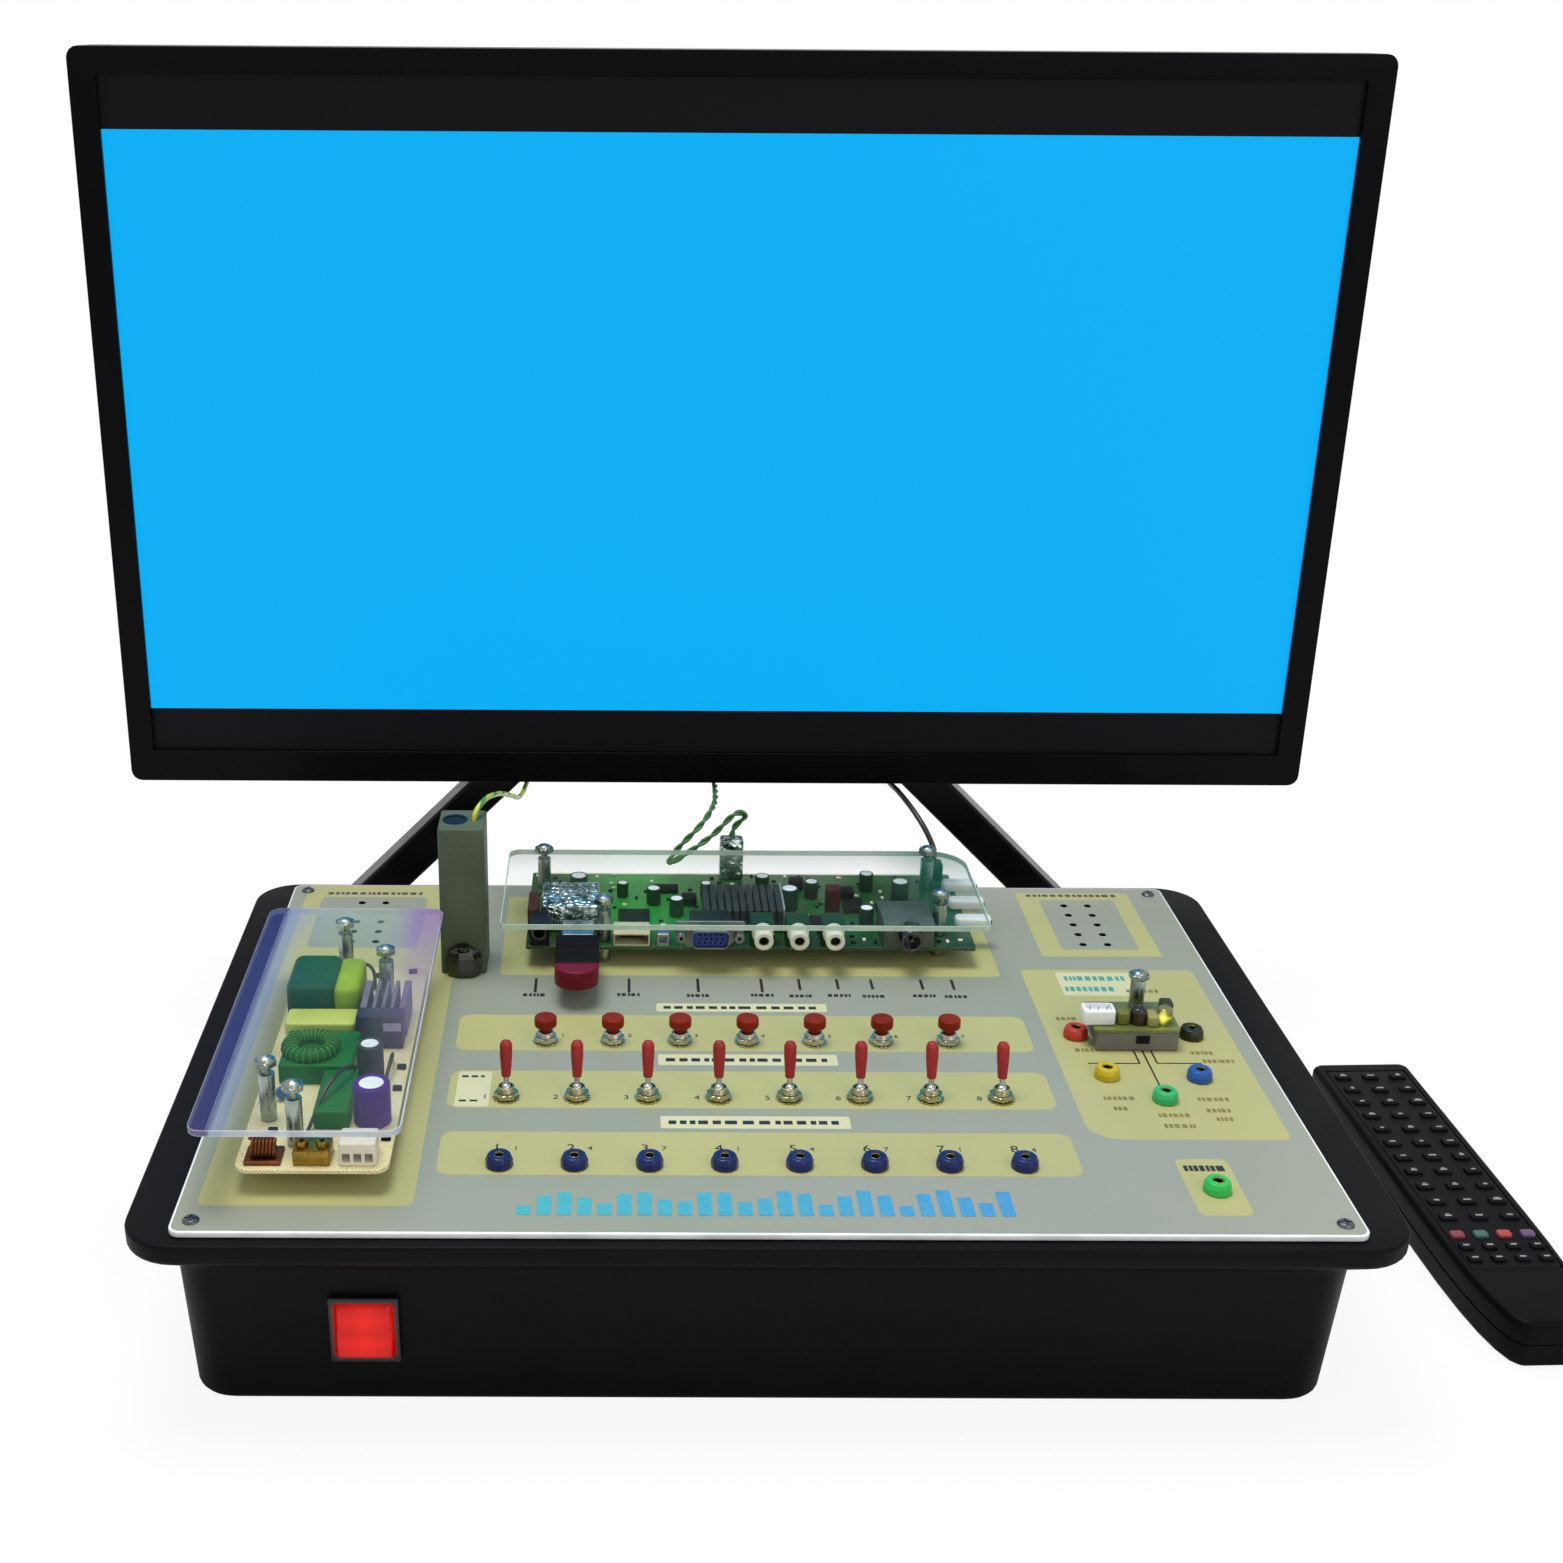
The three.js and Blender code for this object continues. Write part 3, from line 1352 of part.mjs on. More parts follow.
function makeTransformer() {
  const core = block(transformerWidth, transformerDepth, transformerHeight, 0, 0, 0);
  const mesh = piece("psu_transformer", core, "#0f6b4c", 0.5, 0);
  mesh.position.set(psuBoardX + transformerX, psuBoardY + transformerY, boardTop + seatGap);
  return mesh;
}

function makeHeatSink() {
  const base = block(sinkWidth, sinkDepth, sinkHeight, 0, 0, 0);
  const slots = rowPlaces(sinkSlots, sinkWidth / (sinkSlots + 1)).map((x) =>
    block(sinkSlotWidth, sinkDepth + 2 * overrun, sinkHeight, x, 0, sinkSlotLift),
  );
  const mesh = piece("psu_heat_sink", cut(base, slots), "#a5a7ae", 0.4, 1);
  mesh.position.set(psuBoardX + sinkX, psuBoardY + sinkY, boardTop + seatGap);
  return mesh;
}

function makePsuUnit() {
  const group = new THREE.Group();
  const posts = psuPostPlaces().map(([x, y]) => [x + psuBoardX, y + psuBoardY]);
  group.add(makePsuBoard(), makeTransformer(), makeHeatSink());
  posts.forEach(([x, y], k) => group.add(standoff("psu_standoff_" + (k + 1), x, y, psuCoverGap, true)));
  const centreY = psuCoverY + psuCoverDepth / 2;
  const shape = roundedShape(psuCoverWidth, psuCoverDepth, coverCorner, psuCoverX, centreY);
  group.add(cover("psu_cover", shape, posts, boardTop + psuCoverGap, "#c9c4ec"));
  return group;
}

// Sensor module: small board with a connector, a receiver and two round parts, on one stand-off
function makeSensorUnit() {
  const group = new THREE.Group();
  const postX = sensorBoardWidth * sensorPostShares[0];
  const postY = sensorBoardDepth * sensorPostShares[1];
  const circuit = block(sensorBoardWidth, sensorBoardDepth, circuitThickness, 0, 0, -circuitThickness);
  const connectorX = (sensorConnectorWidth - sensorBoardWidth) / 2 - sensorConnectorReach;
  const connector = fitted(
    sensorConnectorWidth,
    sensorConnectorDepth,
    sensorConnectorHeight,
    connectorX,
    -sensorConnectorDrop,
  );
  const rounds = sensorRoundShares.map((share) =>
    disc(sensorRoundRadius, sensorRoundHeight + weld, sensorBoardWidth * share, -sensorRoundDrop, -weld),
  );
  const holed = cut(circuit, [studHole(postX, postY, circuitThickness, -circuitThickness)]);
  const mesh = piece("sensor_board", join([holed, connector, ...rounds]), "#8d8f8c", 0.5, 0);
  mesh.position.set(sensorBoardX, sensorBoardY, boardTop);
  group.add(mesh);
  const place = [sensorBoardX + postX, sensorBoardY + postY];
  group.add(standoff("sensor_standoff", ...place, sensorPostHeight, false));
  return group;
}

// Cable duct: a square column with a closed top, a round hole in it and a screwed clamp at its foot
function makeDuct() {
  const outer = block(ductWidth, ductDepth, ductHeight, 0, 0, 0);
  const bore = block(
    ductWidth - 2 * ductWall,
    ductDepth - 2 * ductWall,
    ductHeight - ductWall + overrun,
    0,
    0,
    -overrun,
  );
  const topZ = ductHeight - ductWall - overrun;
  const through = ductWall + 2 * overrun;
  const hole = disc(ductHoleRadius, through, ductHoleShift, 0, topZ);
  const [wireX, wireY] = earthWirePoints[0];
  const wireHole = disc(earthWireRadius + seatGap, through, wireX - ductX, wireY - ductY, topZ);
  const clampY = -ductDepth / 2 - ductClampDepth / 2;
  const clamp = block(ductClampWidth, ductClampDepth + ductWall, ductClampHeight, 0, clampY + ductWall / 2, 0);
  const screwHeight = ductClampScrewHeight + weld;
  const screw = disc(ductClampScrewRadius, screwHeight, 0, clampY, ductClampHeight - weld);
  const body = join([cut(outer, [bore, hole, wireHole]), clamp, screw]);
  const mesh = piece("cable_duct", body, "#6f7a70", 0.55, 0.1);
  mesh.position.set(ductX, ductY, panelTop + seatGap);
  return mesh;
}

// Television. Its own origin is the middle of its lower front edge
function makeBezel() {
  const outer = wall(roundedShape(tvWidth, tvHeight, tvCorner, 0, tvHeight / 2), bezelDepth);
  const openWidth = tvWidth - 2 * bezelSide;
  const openHeight = tvHeight - bezelTop - bezelBottom;
  const windowShape = roundedShape(openWidth, openHeight, windowCorner, 0, bezelBottom + openHeight / 2);
  const opening = wall(windowShape, bezelDepth + 2 * overrun, -overrun);
  const pocketY = bezelFace + bezelDepth / 2;
  const pocket = block(tvWidth - 2 * bezelWall, bezelDepth, tvHeight - 2 * bezelWall, 0, pocketY, bezelWall);
  return piece("tv_front_bezel", cut(outer, [opening, pocket]), "#101114", 0.35, 0);
}

function makeScreen() {
  const width = tvWidth - 2 * bezelWall - 2 * seatGap;
  const height = tvHeight - 2 * bezelWall - 2 * seatGap;
  const y = bezelFace + seatGap + screenThickness / 2;
  const body = block(width, screenThickness, height, 0, y, bezelWall + seatGap);
  return piece("tv_screen_panel", body, "#0aa6f0", 0.15, 0);
}

function makeDriverBoard() {
  const y = bezelFace + screenThickness + 2 * seatGap + driverBoardThickness / 2;
  const body = block(driverBoardWidth, driverBoardThickness, driverBoardHeight, 0, y, driverBoardLift);
  return piece("tv_driver_board", body, "#1f6b39", 0.55, 0);
}

// The raised part of the back cover, tapering backwards, grown or shrunk all round by one amount
function hump(shrink, depth, y) {
  const width = tvHumpWidth - 2 * shrink;
  const height = tvHumpHeight - 2 * shrink;
  const base = ring(width, height, tvHumpCorner, 0);
  const top = ring(width - 2 * tvHumpTaper, height - 2 * tvHumpTaper, tvHumpCorner, depth);
  const body = loft([base, top]);
  return body.rotate([-90, 0, 0]).translate([0, y, tvHumpLift + tvHumpHeight / 2]);
}

// The hole in the back cover's lower wall that a wire goes up through
function wireEntry(points, radius) {
  const [x, y] = points[points.length - 1];
  return disc(radius + seatGap, tvBackWall + 2 * overrun, x - tvX, y - tvFrontY, -overrun, fineSides);
}

function makeBackCover() {
  const outerShape = roundedShape(tvWidth, tvHeight, tvCorner, 0, tvHeight / 2);
  const outer = wall(outerShape, tvBackDepth, tvBackY);
  const innerShape = roundedShape(
    tvWidth - 2 * tvBackWall,
    tvHeight - 2 * tvBackWall,
    tvCorner / 2,
    0,
    tvHeight / 2,
  );
  const inner = wall(innerShape, tvBackDepth - tvBackWall + overrun, tvBackY - overrun);
  const humpOuter = hump(0, tvHumpDepth + overrun, tvBackY + tvBackDepth - overrun);
  const humpInner = hump(tvBackWall, tvHumpDepth + overrun, tvBackY + tvBackDepth - overrun - tvBackWall);
  const vents = rowPlaces(ventCount, ventPitch).map((x) =>
    block(ventWidth, tvHumpDepth + tvBackDepth, ventHeight, x, tvBackY + tvBackDepth + tvHumpDepth, ventLift),
  );
  const entries = [
    wireEntry(panelWirePoints, panelWireRadius),
    wireEntry(earthWirePoints, earthWireRadius),
    wireEntry(powerWirePoints, powerWireRadius),
  ];
  const body = cut(join([outer, humpOuter]), [inner, humpInner, ...vents, ...entries]);
  return piece("tv_back_cover", body, "#16171a", 0.6, 0);
}

function makeTelevision() {
  const group = new THREE.Group();
  group.add(makeBezel(), makeScreen(), makeDriverBoard(), makeBackCover());
  group.position.set(tvX, tvFrontY, tvBottom);
  return group;
}

// Stand. Its own origin is on the table under the middle of the television
function hubY() {
  return tvFrontY + tvBackY + tvBackDepth + tvHumpDepth + seatGap;
}

function makeHub() {
  const body = block(hubWidth, hubThickness, hubHeight, 0, hubY() + hubThickness / 2, tvBottom + hubLift);
  return piece("stand_hub", body, "#1b1c1f", 0.4, 0.6);
}

function makeLeg(name, side) {
  const legY = hubY() + hubThickness + seatGap + legBar / 2;
  const length = 2 * legSpread;
  const bar = block(legBar, legBar, length, 0, 0, 0).rotate([0, -side * legTilt, 0]);
  const placed = bar.translate([side * legSpread, legY, legBar / 2]);
  const reach = length; // of the cutting blocks, larger than the bar every way
  const below = block(reach, reach, legBar + seatGap + reach, side * legSpread, legY, -reach);
  const beyond = block(reach, reach, 2 * reach, -side * (reach / 2 - seatGap / 2), legY, -overrun);
  return piece(name, cut(placed, [below, beyond]), "#1b1c1f", 0.4, 0.6);
}

function makeFoot(name, side) {
  const y = rimBack + footStart + footLength / 2;
  const x = side * legSpread;
  const body = block(legBar, footLength, legBar, x, y, 0);
  return piece(name, body, "#1b1c1f", 0.45, 0.5);
}

function makeStand() {
  const group = new THREE.Group();
  group.add(makeHub());
  group.add(makeLeg("stand_leg_left", -1), makeLeg("stand_leg_right", 1));
  group.add(makeFoot("stand_foot_left", -1), makeFoot("stand_foot_right", 1));
  group.position.x = tvX;
  return group;
}

// A wire as a tube along a smooth line through its points
function makeWire(name, points, radius, steps, colour) {
  const curve = new THREE.CatmullRomCurve3(
    points.map((p) => new THREE.Vector3(...p)),
    false,
    "centripetal",
  );
  const section = new THREE.Shape();
  for (let k = 0; k <= wireSides; k += 1) {
    const angle = (k / wireSides) * 2 * Math.PI;
    const px = radius * Math.cos(angle);
    const py = radius * Math.sin(angle);
    if (k === 0) section.moveTo(px, py);
    else section.lineTo(px, py);
  }
  const geometry = new THREE.ExtrudeGeometry(section, { steps, extrudePath: curve });
  return piece(name, solid(geometry), colour, 0.5, 0);
}

// Remote control. Its own origin is under its middle, on the table
function remoteShape(inset) {
  const half = remoteWidth / 2 - inset;
  const far = remoteLength / 2 - inset;
  const near = -remoteLength / 2 + inset;
  const taperStart = near + remoteLength * remoteTaperShare;
  const endHalf = remoteEndWidth / 2 - inset / 2;
  const shape = new THREE.Shape();
  shape.absarc(half - remoteCorner, far - remoteCorner, remoteCorner, 0, Math.PI / 2, false);
  shape.absarc(-half + remoteCorner, far - remoteCorner, remoteCorner, Math.PI / 2, Math.PI, false);
  shape.lineTo(-half, taperStart);
  shape.quadraticCurveTo(-half, near + remoteCorner, -endHalf, near);
  shape.lineTo(endHalf, near);
  shape.quadraticCurveTo(half, near + remoteCorner, half, taperStart);
  shape.closePath();
  return shape;
}

function firstKeyY() {
  return remoteLength / 2 - remoteKeyFirst;
}

function firstSmallKeyY() {
  return firstKeyY() - (remoteKeyRows - 1) * remoteKeyPitchY - smallKeyDrop;
}

function keypadSpan() {
  const edge = remoteKeyDepth / 2 + keypadEndMargin;
  return [firstSmallKeyY() - (smallKeyRows - 1) * smallKeyPitchY - edge, firstKeyY() + edge];
}

function makeRemoteLower() {
  const foot = plate(remoteShape(remoteShoulder), remoteFootHeight);
  const rest = plate(remoteShape(0), remoteLowerHeight - remoteFootHeight, remoteFootHeight);
  return piece("remote_case_lower", join([foot, rest]), "#101013", 0.5, 0);
}

function makeRemoteUpper() {
  const start = remoteLowerHeight + seatGap;
  const straight = remoteUpperHeight - remoteFootHeight;
  const low = plate(remoteShape(0), straight, start);
  const high = plate(remoteShape(remoteShoulder), remoteUpperHeight - straight, start + straight);
  const [near, far] = keypadSpan();
  const pocket = block(
    remoteWidth - 2 * keypadMargin,
    far - near,
    remoteUpperHeight,
    0,
    (near + far) / 2,
    start + remoteUpperHeight - keypadMatThickness,
  );
  return piece("remote_case_upper", cut(join([low, high]), [pocket]), "#0f0f12", 0.45, 0);
}

function makeRemoteKeypad() {
  const [near, far] = keypadSpan();
  const matZ = remoteLowerHeight + seatGap + remoteUpperHeight - keypadMatThickness + seatGap;
  const mat = block(
    remoteWidth - 2 * keypadMargin - 2 * seatGap,
    far - near - 2 * seatGap,
    keypadMatThickness - seatGap,
    0,
    (near + far) / 2,
    matZ,
  );
  const keyZ = matZ + keypadMatThickness / 2;
  const keyHeight = keypadMatThickness / 2 - seatGap + remoteKeyRise;
  const keys = [];
  for (let row = 0; row < remoteKeyRows; row += 1) {
    const y = firstKeyY() - row * remoteKeyPitchY;
    for (const x of rowPlaces(remoteKeyColumns, remoteKeyPitchX)) {
      keys.push(block(remoteKeyWidth, remoteKeyDepth, keyHeight, x, y, keyZ));
    }
  }
  for (let row = 0; row < smallKeyRows; row += 1) {
    const y = firstSmallKeyY() - row * smallKeyPitchY;
    for (const x of rowPlaces(smallKeyColumns, smallKeyPitchX)) {
      keys.push(block(smallKeyWidth, remoteKeyDepth, keyHeight, x, y, keyZ));
    }
  }
  return piece("remote_keypad", join([mat, ...keys]), "#1a1a1e", 0.6, 0);
}

function makeRemote() {
  const group = new THREE.Group();
  group.add(makeRemoteLower(), makeRemoteUpper(), makeRemoteKeypad());
  group.position.set(remoteX, remoteY, 0);
  group.rotation.z = THREE.MathUtils.degToRad(remoteTurn);
  return group;
}

const kit = new THREE.Group();
kit.add(makeTub(), makePanel(), makeKeypadBoard(), makeToggleBoard(), makeTestSockets());
kit.add(makeSensorSockets(), makePowerSocket());
kit.add(makeSpeaker("speaker_left", speakerLeftX), makeSpeaker("speaker_right", speakerRightX));
kit.add(makeMainsSwitch(), makeMainsInlet(), makeMainUnit(), makeMemoryStick(), makePsuUnit());
kit.add(makeSensorUnit(), makeDuct(), makeTelevision(), makeStand());
rowPlaces(keyCount, controlPitch, rowX).forEach((x, k) => kit.add(makeKeyCap(k + 1, x)));
rowPlaces(toggleCount, controlPitch, rowX).forEach((x, k) => kit.add(makeToggleLever(k + 1, x)));
kit.add(makeWire("panel_wires", panelWirePoints, panelWireRadius, panelWireSteps, "#3f7d35"));
kit.add(makeWire("earth_wire", earthWirePoints, earthWireRadius, thinWireSteps, "#a9b83a"));
kit.add(makeWire("tv_power_cable", powerWirePoints, powerWireRadius, thinWireSteps, "#141416"));
kit.add(makeRemote());

export default kit;
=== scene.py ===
# %% [markdown]
# # Television and radio training kit
#
# This lesson dresses the packed model of a classroom kit: a black tub with a printed panel, push
# buttons, toggle switches, test sockets, two circuit boards under clear covers, a sensor module,
# a flat television on a splayed stand, and a remote control.
# The frame comes first. Every piece is made in its coordinates, in metres, so nothing is fitted
# by eye: x runs to the right, y away from the user, z up, and zero is the middle of the tub's
# underside.

import math

import bmesh
import bpy
import numpy as np
from mathutils import Matrix


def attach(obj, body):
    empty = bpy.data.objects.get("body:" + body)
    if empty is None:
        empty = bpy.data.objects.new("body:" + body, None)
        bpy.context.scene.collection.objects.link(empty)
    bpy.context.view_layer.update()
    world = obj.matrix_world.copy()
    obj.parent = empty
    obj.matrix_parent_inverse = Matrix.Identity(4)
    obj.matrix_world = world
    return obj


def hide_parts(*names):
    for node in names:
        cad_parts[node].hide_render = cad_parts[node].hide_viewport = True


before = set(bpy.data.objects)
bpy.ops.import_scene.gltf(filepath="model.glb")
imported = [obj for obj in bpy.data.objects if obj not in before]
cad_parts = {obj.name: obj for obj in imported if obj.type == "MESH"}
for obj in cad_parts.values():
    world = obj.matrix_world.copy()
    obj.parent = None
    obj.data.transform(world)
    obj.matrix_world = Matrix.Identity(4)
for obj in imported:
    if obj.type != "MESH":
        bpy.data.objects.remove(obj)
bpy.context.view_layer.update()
mm = 0.001

# %% [markdown]
# ## Camera
#
# The photo is a crop of a larger picture, so its vanishing point isn't in its middle. A shifted
# lens gives that: the camera looks down by about 21 degrees from a place 70 cm in front of the
# tub's middle, and the shift moves the picture sideways without turning the camera.

# %% Camera
image_side = 1563
focal_pixels = 1957.86
centre_pixels = (626.66, 782.89)
yaw, pitch, roll = 0.00542, 0.37348, -0.00669
camera_place = (-52.92 * mm, -702.52 * mm, 464.79 * mm)

level_part = math.cos(pitch)
forward = np.array([math.sin(yaw) * level_part, math.cos(yaw) * level_part, -math.sin(pitch)])
level = np.array([math.cos(yaw), -math.sin(yaw), 0.0])
below = np.cross(forward, level)
right = level * math.cos(roll) + below * math.sin(roll)
down = below * math.cos(roll) - level * math.sin(roll)
lens = bpy.data.cameras.new("photo_camera")
lens.sensor_width = 36.0
lens.lens = lens.sensor_width * focal_pixels / image_side
lens.shift_x = (image_side / 2 - centre_pixels[0]) / image_side
lens.shift_y = (centre_pixels[1] - image_side / 2) / image_side
lens.clip_start = 0.01
camera = bpy.data.objects.new("photo_camera", lens)
bpy.context.scene.collection.objects.link(camera)
columns = np.stack([right, -down, -forward], axis=1)
pose = np.eye(4)
pose[:3, :3] = columns
pose[:3, 3] = camera_place
camera.matrix_world = Matrix(pose.tolist())
bpy.context.scene.camera = camera
print("lens", round(lens.lens, 2), "mm, shift", round(lens.shift_x, 4), round(lens.shift_y, 4))

# %% [markdown]
# ## Shader sums
#
# A material is a graph of nodes. Written node by node it is long, so one small class wraps a
# socket and lets Python's own signs add the Math nodes: `1 - mask * 0.3` is three nodes. Any
# other node comes from one method that takes its type, its settings and its inputs.

# %% Sockets that take part in sums
class Tap:
    """A socket that takes part in sums: each sign adds one Math node to the same tree."""

    def __init__(self, finish, socket):
        self.finish = finish
        self.socket = socket

    def sum(self, operation, first, second=0.0):
        return self.finish.node("ShaderNodeMath", {"operation": operation}, {0: first, 1: second})

    def __add__(self, other):
        return self.sum("ADD", self, other)

    def __radd__(self, other):
        return self.sum("ADD", other, self)

    def __sub__(self, other):
        return self.sum("SUBTRACT", self, other)

    def __rsub__(self, other):
        return self.sum("SUBTRACT", other, self)

    def __mul__(self, other):
        return self.sum("MULTIPLY", self, other)

    def __rmul__(self, other):
        return self.sum("MULTIPLY", other, self)

    def __truediv__(self, other):
        return self.sum("DIVIDE", self, other)

    def __gt__(self, other):
        return self.sum("GREATER_THAN", self, other)

    def __lt__(self, other):
        return self.sum("LESS_THAN", self, other)

    def minimum(self, other):
        return self.sum("MINIMUM", self, other)

    def maximum(self, other):
        return self.sum("MAXIMUM", self, other)

    def size(self):
        return self.sum("ABSOLUTE", self)

    def remainder(self, other):
        return self.sum("FLOORED_MODULO", self, other)


print("a socket in sums can also", [name for name in vars(Tap) if name[0] != "_"])

# %% Colours
def ink(code):
    """Turns a written colour such as 'c8c382' into the linear values that Blender works with."""
    values = np.array([int(code[k:k + 2], 16) for k in (0, 2, 4)]) / 255.0
    linear = np.where(values <= 0.04045, values / 12.92, ((values + 0.055) / 1.055) ** 2.4)
    return (*linear.tolist(), 1.0)


def scaled(colour, by, plus=0.0, most=math.inf):
    """A colour with its red, green and blue scaled and raised, and held at most."""
    return tuple(min(most, by * c + plus) for c in colour[:3]) + (1,)


print("ink of mid grey", round(ink("808080")[0], 3))

# %% A finish and its nodes
class Finish:
    """A material. node() adds any node; its settings come first, then its values or links."""

    def __init__(self, name, **constants):
        self.material = bpy.data.materials.new(name)
        self.material.use_nodes = True
        self.tree = self.material.node_tree
        self.shader = self.tree.nodes["Principled BSDF"]
        self.set(**constants)

    def set(self, **values):
        for key, value in values.items():
            socket = self.shader.inputs[key.replace("_", " ").title().replace("Ior", "IOR")]
            if isinstance(value, Tap):
                self.tree.links.new(value.socket, socket)
            else:
                socket.default_value = value
        return self

    def node(self, kind, settings=None, inputs=None, output=0):
        node = self.tree.nodes.new(kind)
        for key, value in (settings or {}).items():
            setattr(node, key, value)
        for key, value in (inputs or {}).items():
            if isinstance(value, Tap):
                self.tree.links.new(value.socket, node.inputs[key])
            else:
                node.inputs[key].default_value = value
        return Tap(self, node.outputs[output])

    def place(self):
        """Object coordinates in millimetres, as a vector."""
        here = self.node("ShaderNodeTexCoord", output="Object")
        scale = {"operation": "SCALE"}
        return self.node("ShaderNodeVectorMath", scale, {0: here, "Scale": 1000.0})

    def axes(self, vector=None):
        """The three parts of a vector, or of the object coordinates in millimetres."""
        node = self.node("ShaderNodeSeparateXYZ", inputs={0: vector or self.place()})
        outputs = node.socket.node.outputs
        return [Tap(self, outputs[k]) for k in range(3)]

    def noise(self, scale, detail=2.0, roughness=0.5, vector=None):
        """Soft noise from 0 to 1, with scale in patches per millimetre."""
        where = vector or self.place()
        values = {"Vector": where, "Scale": scale, "Detail": detail, "Roughness": roughness}
        return self.node("ShaderNodeTexNoise", inputs=values)

    def mix(self, factor, first, second):
        """A colour between two, by a factor from 0 to 1."""
        values = {0: factor, 6: first, 7: second}
        return self.node("ShaderNodeMix", {"data_type": "RGBA"}, values, output=2)

    def spread(self, value, low, high, first=0.0, second=1.0):
        """Takes a value's range low to high to first to second, and holds it there."""
        inputs = {0: value, 1: low, 2: high, 3: first, 4: second}
        return self.node("ShaderNodeMapRange", {"clamp": True}, inputs)

    def clouds(self, scale, dark, light):
        """A soft noise that carries the colour from dark to light."""
        cloud = self.noise(scale, detail=3)
        return self.set(base_color=self.mix(cloud, ink(dark), ink(light)))

    def bump(self, height, strength, distance):
        """A Bump node that feeds the shader's Normal; distance is in millimetres."""
        values = {"Height": height, "Strength": strength, "Distance": distance * mm}
        return self.set(normal=self.node("ShaderNodeBump", inputs=values))

    def show(self, surface):
        """Makes a mixed surface the one that shows, in place of the plain shader."""
        output = self.tree.nodes["Material Output"]
        self.tree.links.new(surface.socket, output.inputs["Surface"])


print("a finish can", [name for name in vars(Finish) if name[0] != "_"])

# %% [markdown]
# ## Surfaces
#
# Every new piece is a grid of points. A lathe carries a profile round an axis, a stack carries a
# rounded rectangle up through several levels, and a tube carries a circle along a path. Each is
# worked out as one numpy array and put into the mesh at once.

# %% Mesh from a grid
def finished(name, mesh, finish, body="kit", sharp=40.0):
    """Makes a piece of a mesh or a list of meshes, with its finish, slot and body."""
    mesh = joined(mesh) if isinstance(mesh, list) else mesh
    mesh.name = name
    piece = bpy.data.objects.new(name, mesh)
    bpy.context.scene.collection.objects.link(piece)
    mesh.materials.append(finish.material)
    mesh.shade_smooth()
    mesh.set_sharp_from_angle(angle=math.radians(sharp))
    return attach(piece, body)


def grid(rows, columns, wrap=True):
    """Faces of a grid of points: each joins point (i, j) to its three neighbours."""
    i, j = np.meshgrid(np.arange(rows - 1), np.arange(columns if wrap else columns - 1), indexing="ij")
    after = (j + 1) % columns
    corners = [i * columns + j, i * columns + after, (i + 1) * columns + after, (i + 1) * columns + j]
    return np.stack(corners, axis=-1).reshape(-1, 4)


def sheet_mesh(points, wrap=True, ends=True):
    """A mesh from points of shape (rows, columns, 3); ends closes the first and the last row."""
    rows, columns = points.shape[:2]
    faces = grid(rows, columns, wrap).tolist()
    if ends:
        faces.append(list(range(columns))[::-1])
        faces.append(list(range((rows - 1) * columns, rows * columns)))
    mesh = bpy.data.meshes.new("sheet")
    mesh.from_pydata(points.reshape(-1, 3).tolist(), [], faces)
    mesh.validate()
    return mesh


def joined(meshes):
    """One mesh from several: their points in a row, their faces with the numbers moved on."""
    points, faces, done = [], [], 0
    for part in meshes:
        co = np.zeros(len(part.vertices) * 3)
        part.vertices.foreach_get("co", co)
        points.append(co.reshape(-1, 3))
        faces += [[done + v for v in face.vertices] for face in part.polygons]
        done += len(part.vertices)
    mesh = bpy.data.meshes.new("joined")
    mesh.from_pydata(np.concatenate(points).tolist(), [], faces)
    return mesh


print("a closed grid of 3 rows and 8 columns has", len(grid(3, 8)), "faces")

# %% Profiles and lathes
def rounded(corners, radii, steps=5, closed=False):
    """A line with its corners rounded: each corner becomes an arc that touches both its sides.
    For a corner with half angle h and radius r the arc starts r / tan(h) away from it."""
    points = np.array(corners, float)
    radii = np.broadcast_to(radii, len(points))
    line = []
    for k, corner in enumerate(points):
        before, after = points[k - 1], points[(k + 1) % len(points)]
        end = not closed and k in (0, len(points) - 1)
        if end or radii[k] <= 0:
            line.append(corner)
            continue
        a = (before - corner) / np.linalg.norm(before - corner)
        b = (after - corner) / np.linalg.norm(after - corner)
        half = math.acos(np.clip(a @ b, -1, 1)) / 2
        middle = corner + (a + b) / np.linalg.norm(a + b) * radii[k] / math.sin(half)
        first = corner + a * radii[k] / math.tan(half) - middle
        last = corner + b * radii[k] / math.tan(half) - middle
        share = np.linspace(0, 1, steps + 1)[:, None]
        turn = math.pi - 2 * half
        arc = (np.sin((1 - share) * turn) * first + np.sin(share * turn) * last) / math.sin(turn)
        line.extend(middle + arc)
    return np.array(line)


def lathe(profile, centre=(0, 0, 0), sides=48, axis="z", ends=True):
    """A profile of (radius, height) carried round an axis:
    point (v, u) = (r(v) cos u, r(v) sin u, h(v)), then turned so that its axis is the given one."""
    profile = np.array(profile, float)
    turn = np.linspace(0, 2 * math.pi, sides, endpoint=False)
    r, h = profile[:, 0:1], profile[:, 1:2] + 0 * turn
    points = np.stack([r * np.cos(turn), r * np.sin(turn), h], axis=-1)
    if axis == "y":
        points = points[..., [0, 2, 1]] * [1, -1, 1]
    if axis == "x":
        points = points[..., [2, 0, 1]]
    return sheet_mesh((points + np.array(centre)) * mm, ends=ends)


print("one rounded corner has", len(rounded([(0, 0), (1, 0), (1, 1)], 0.3)) - 2)

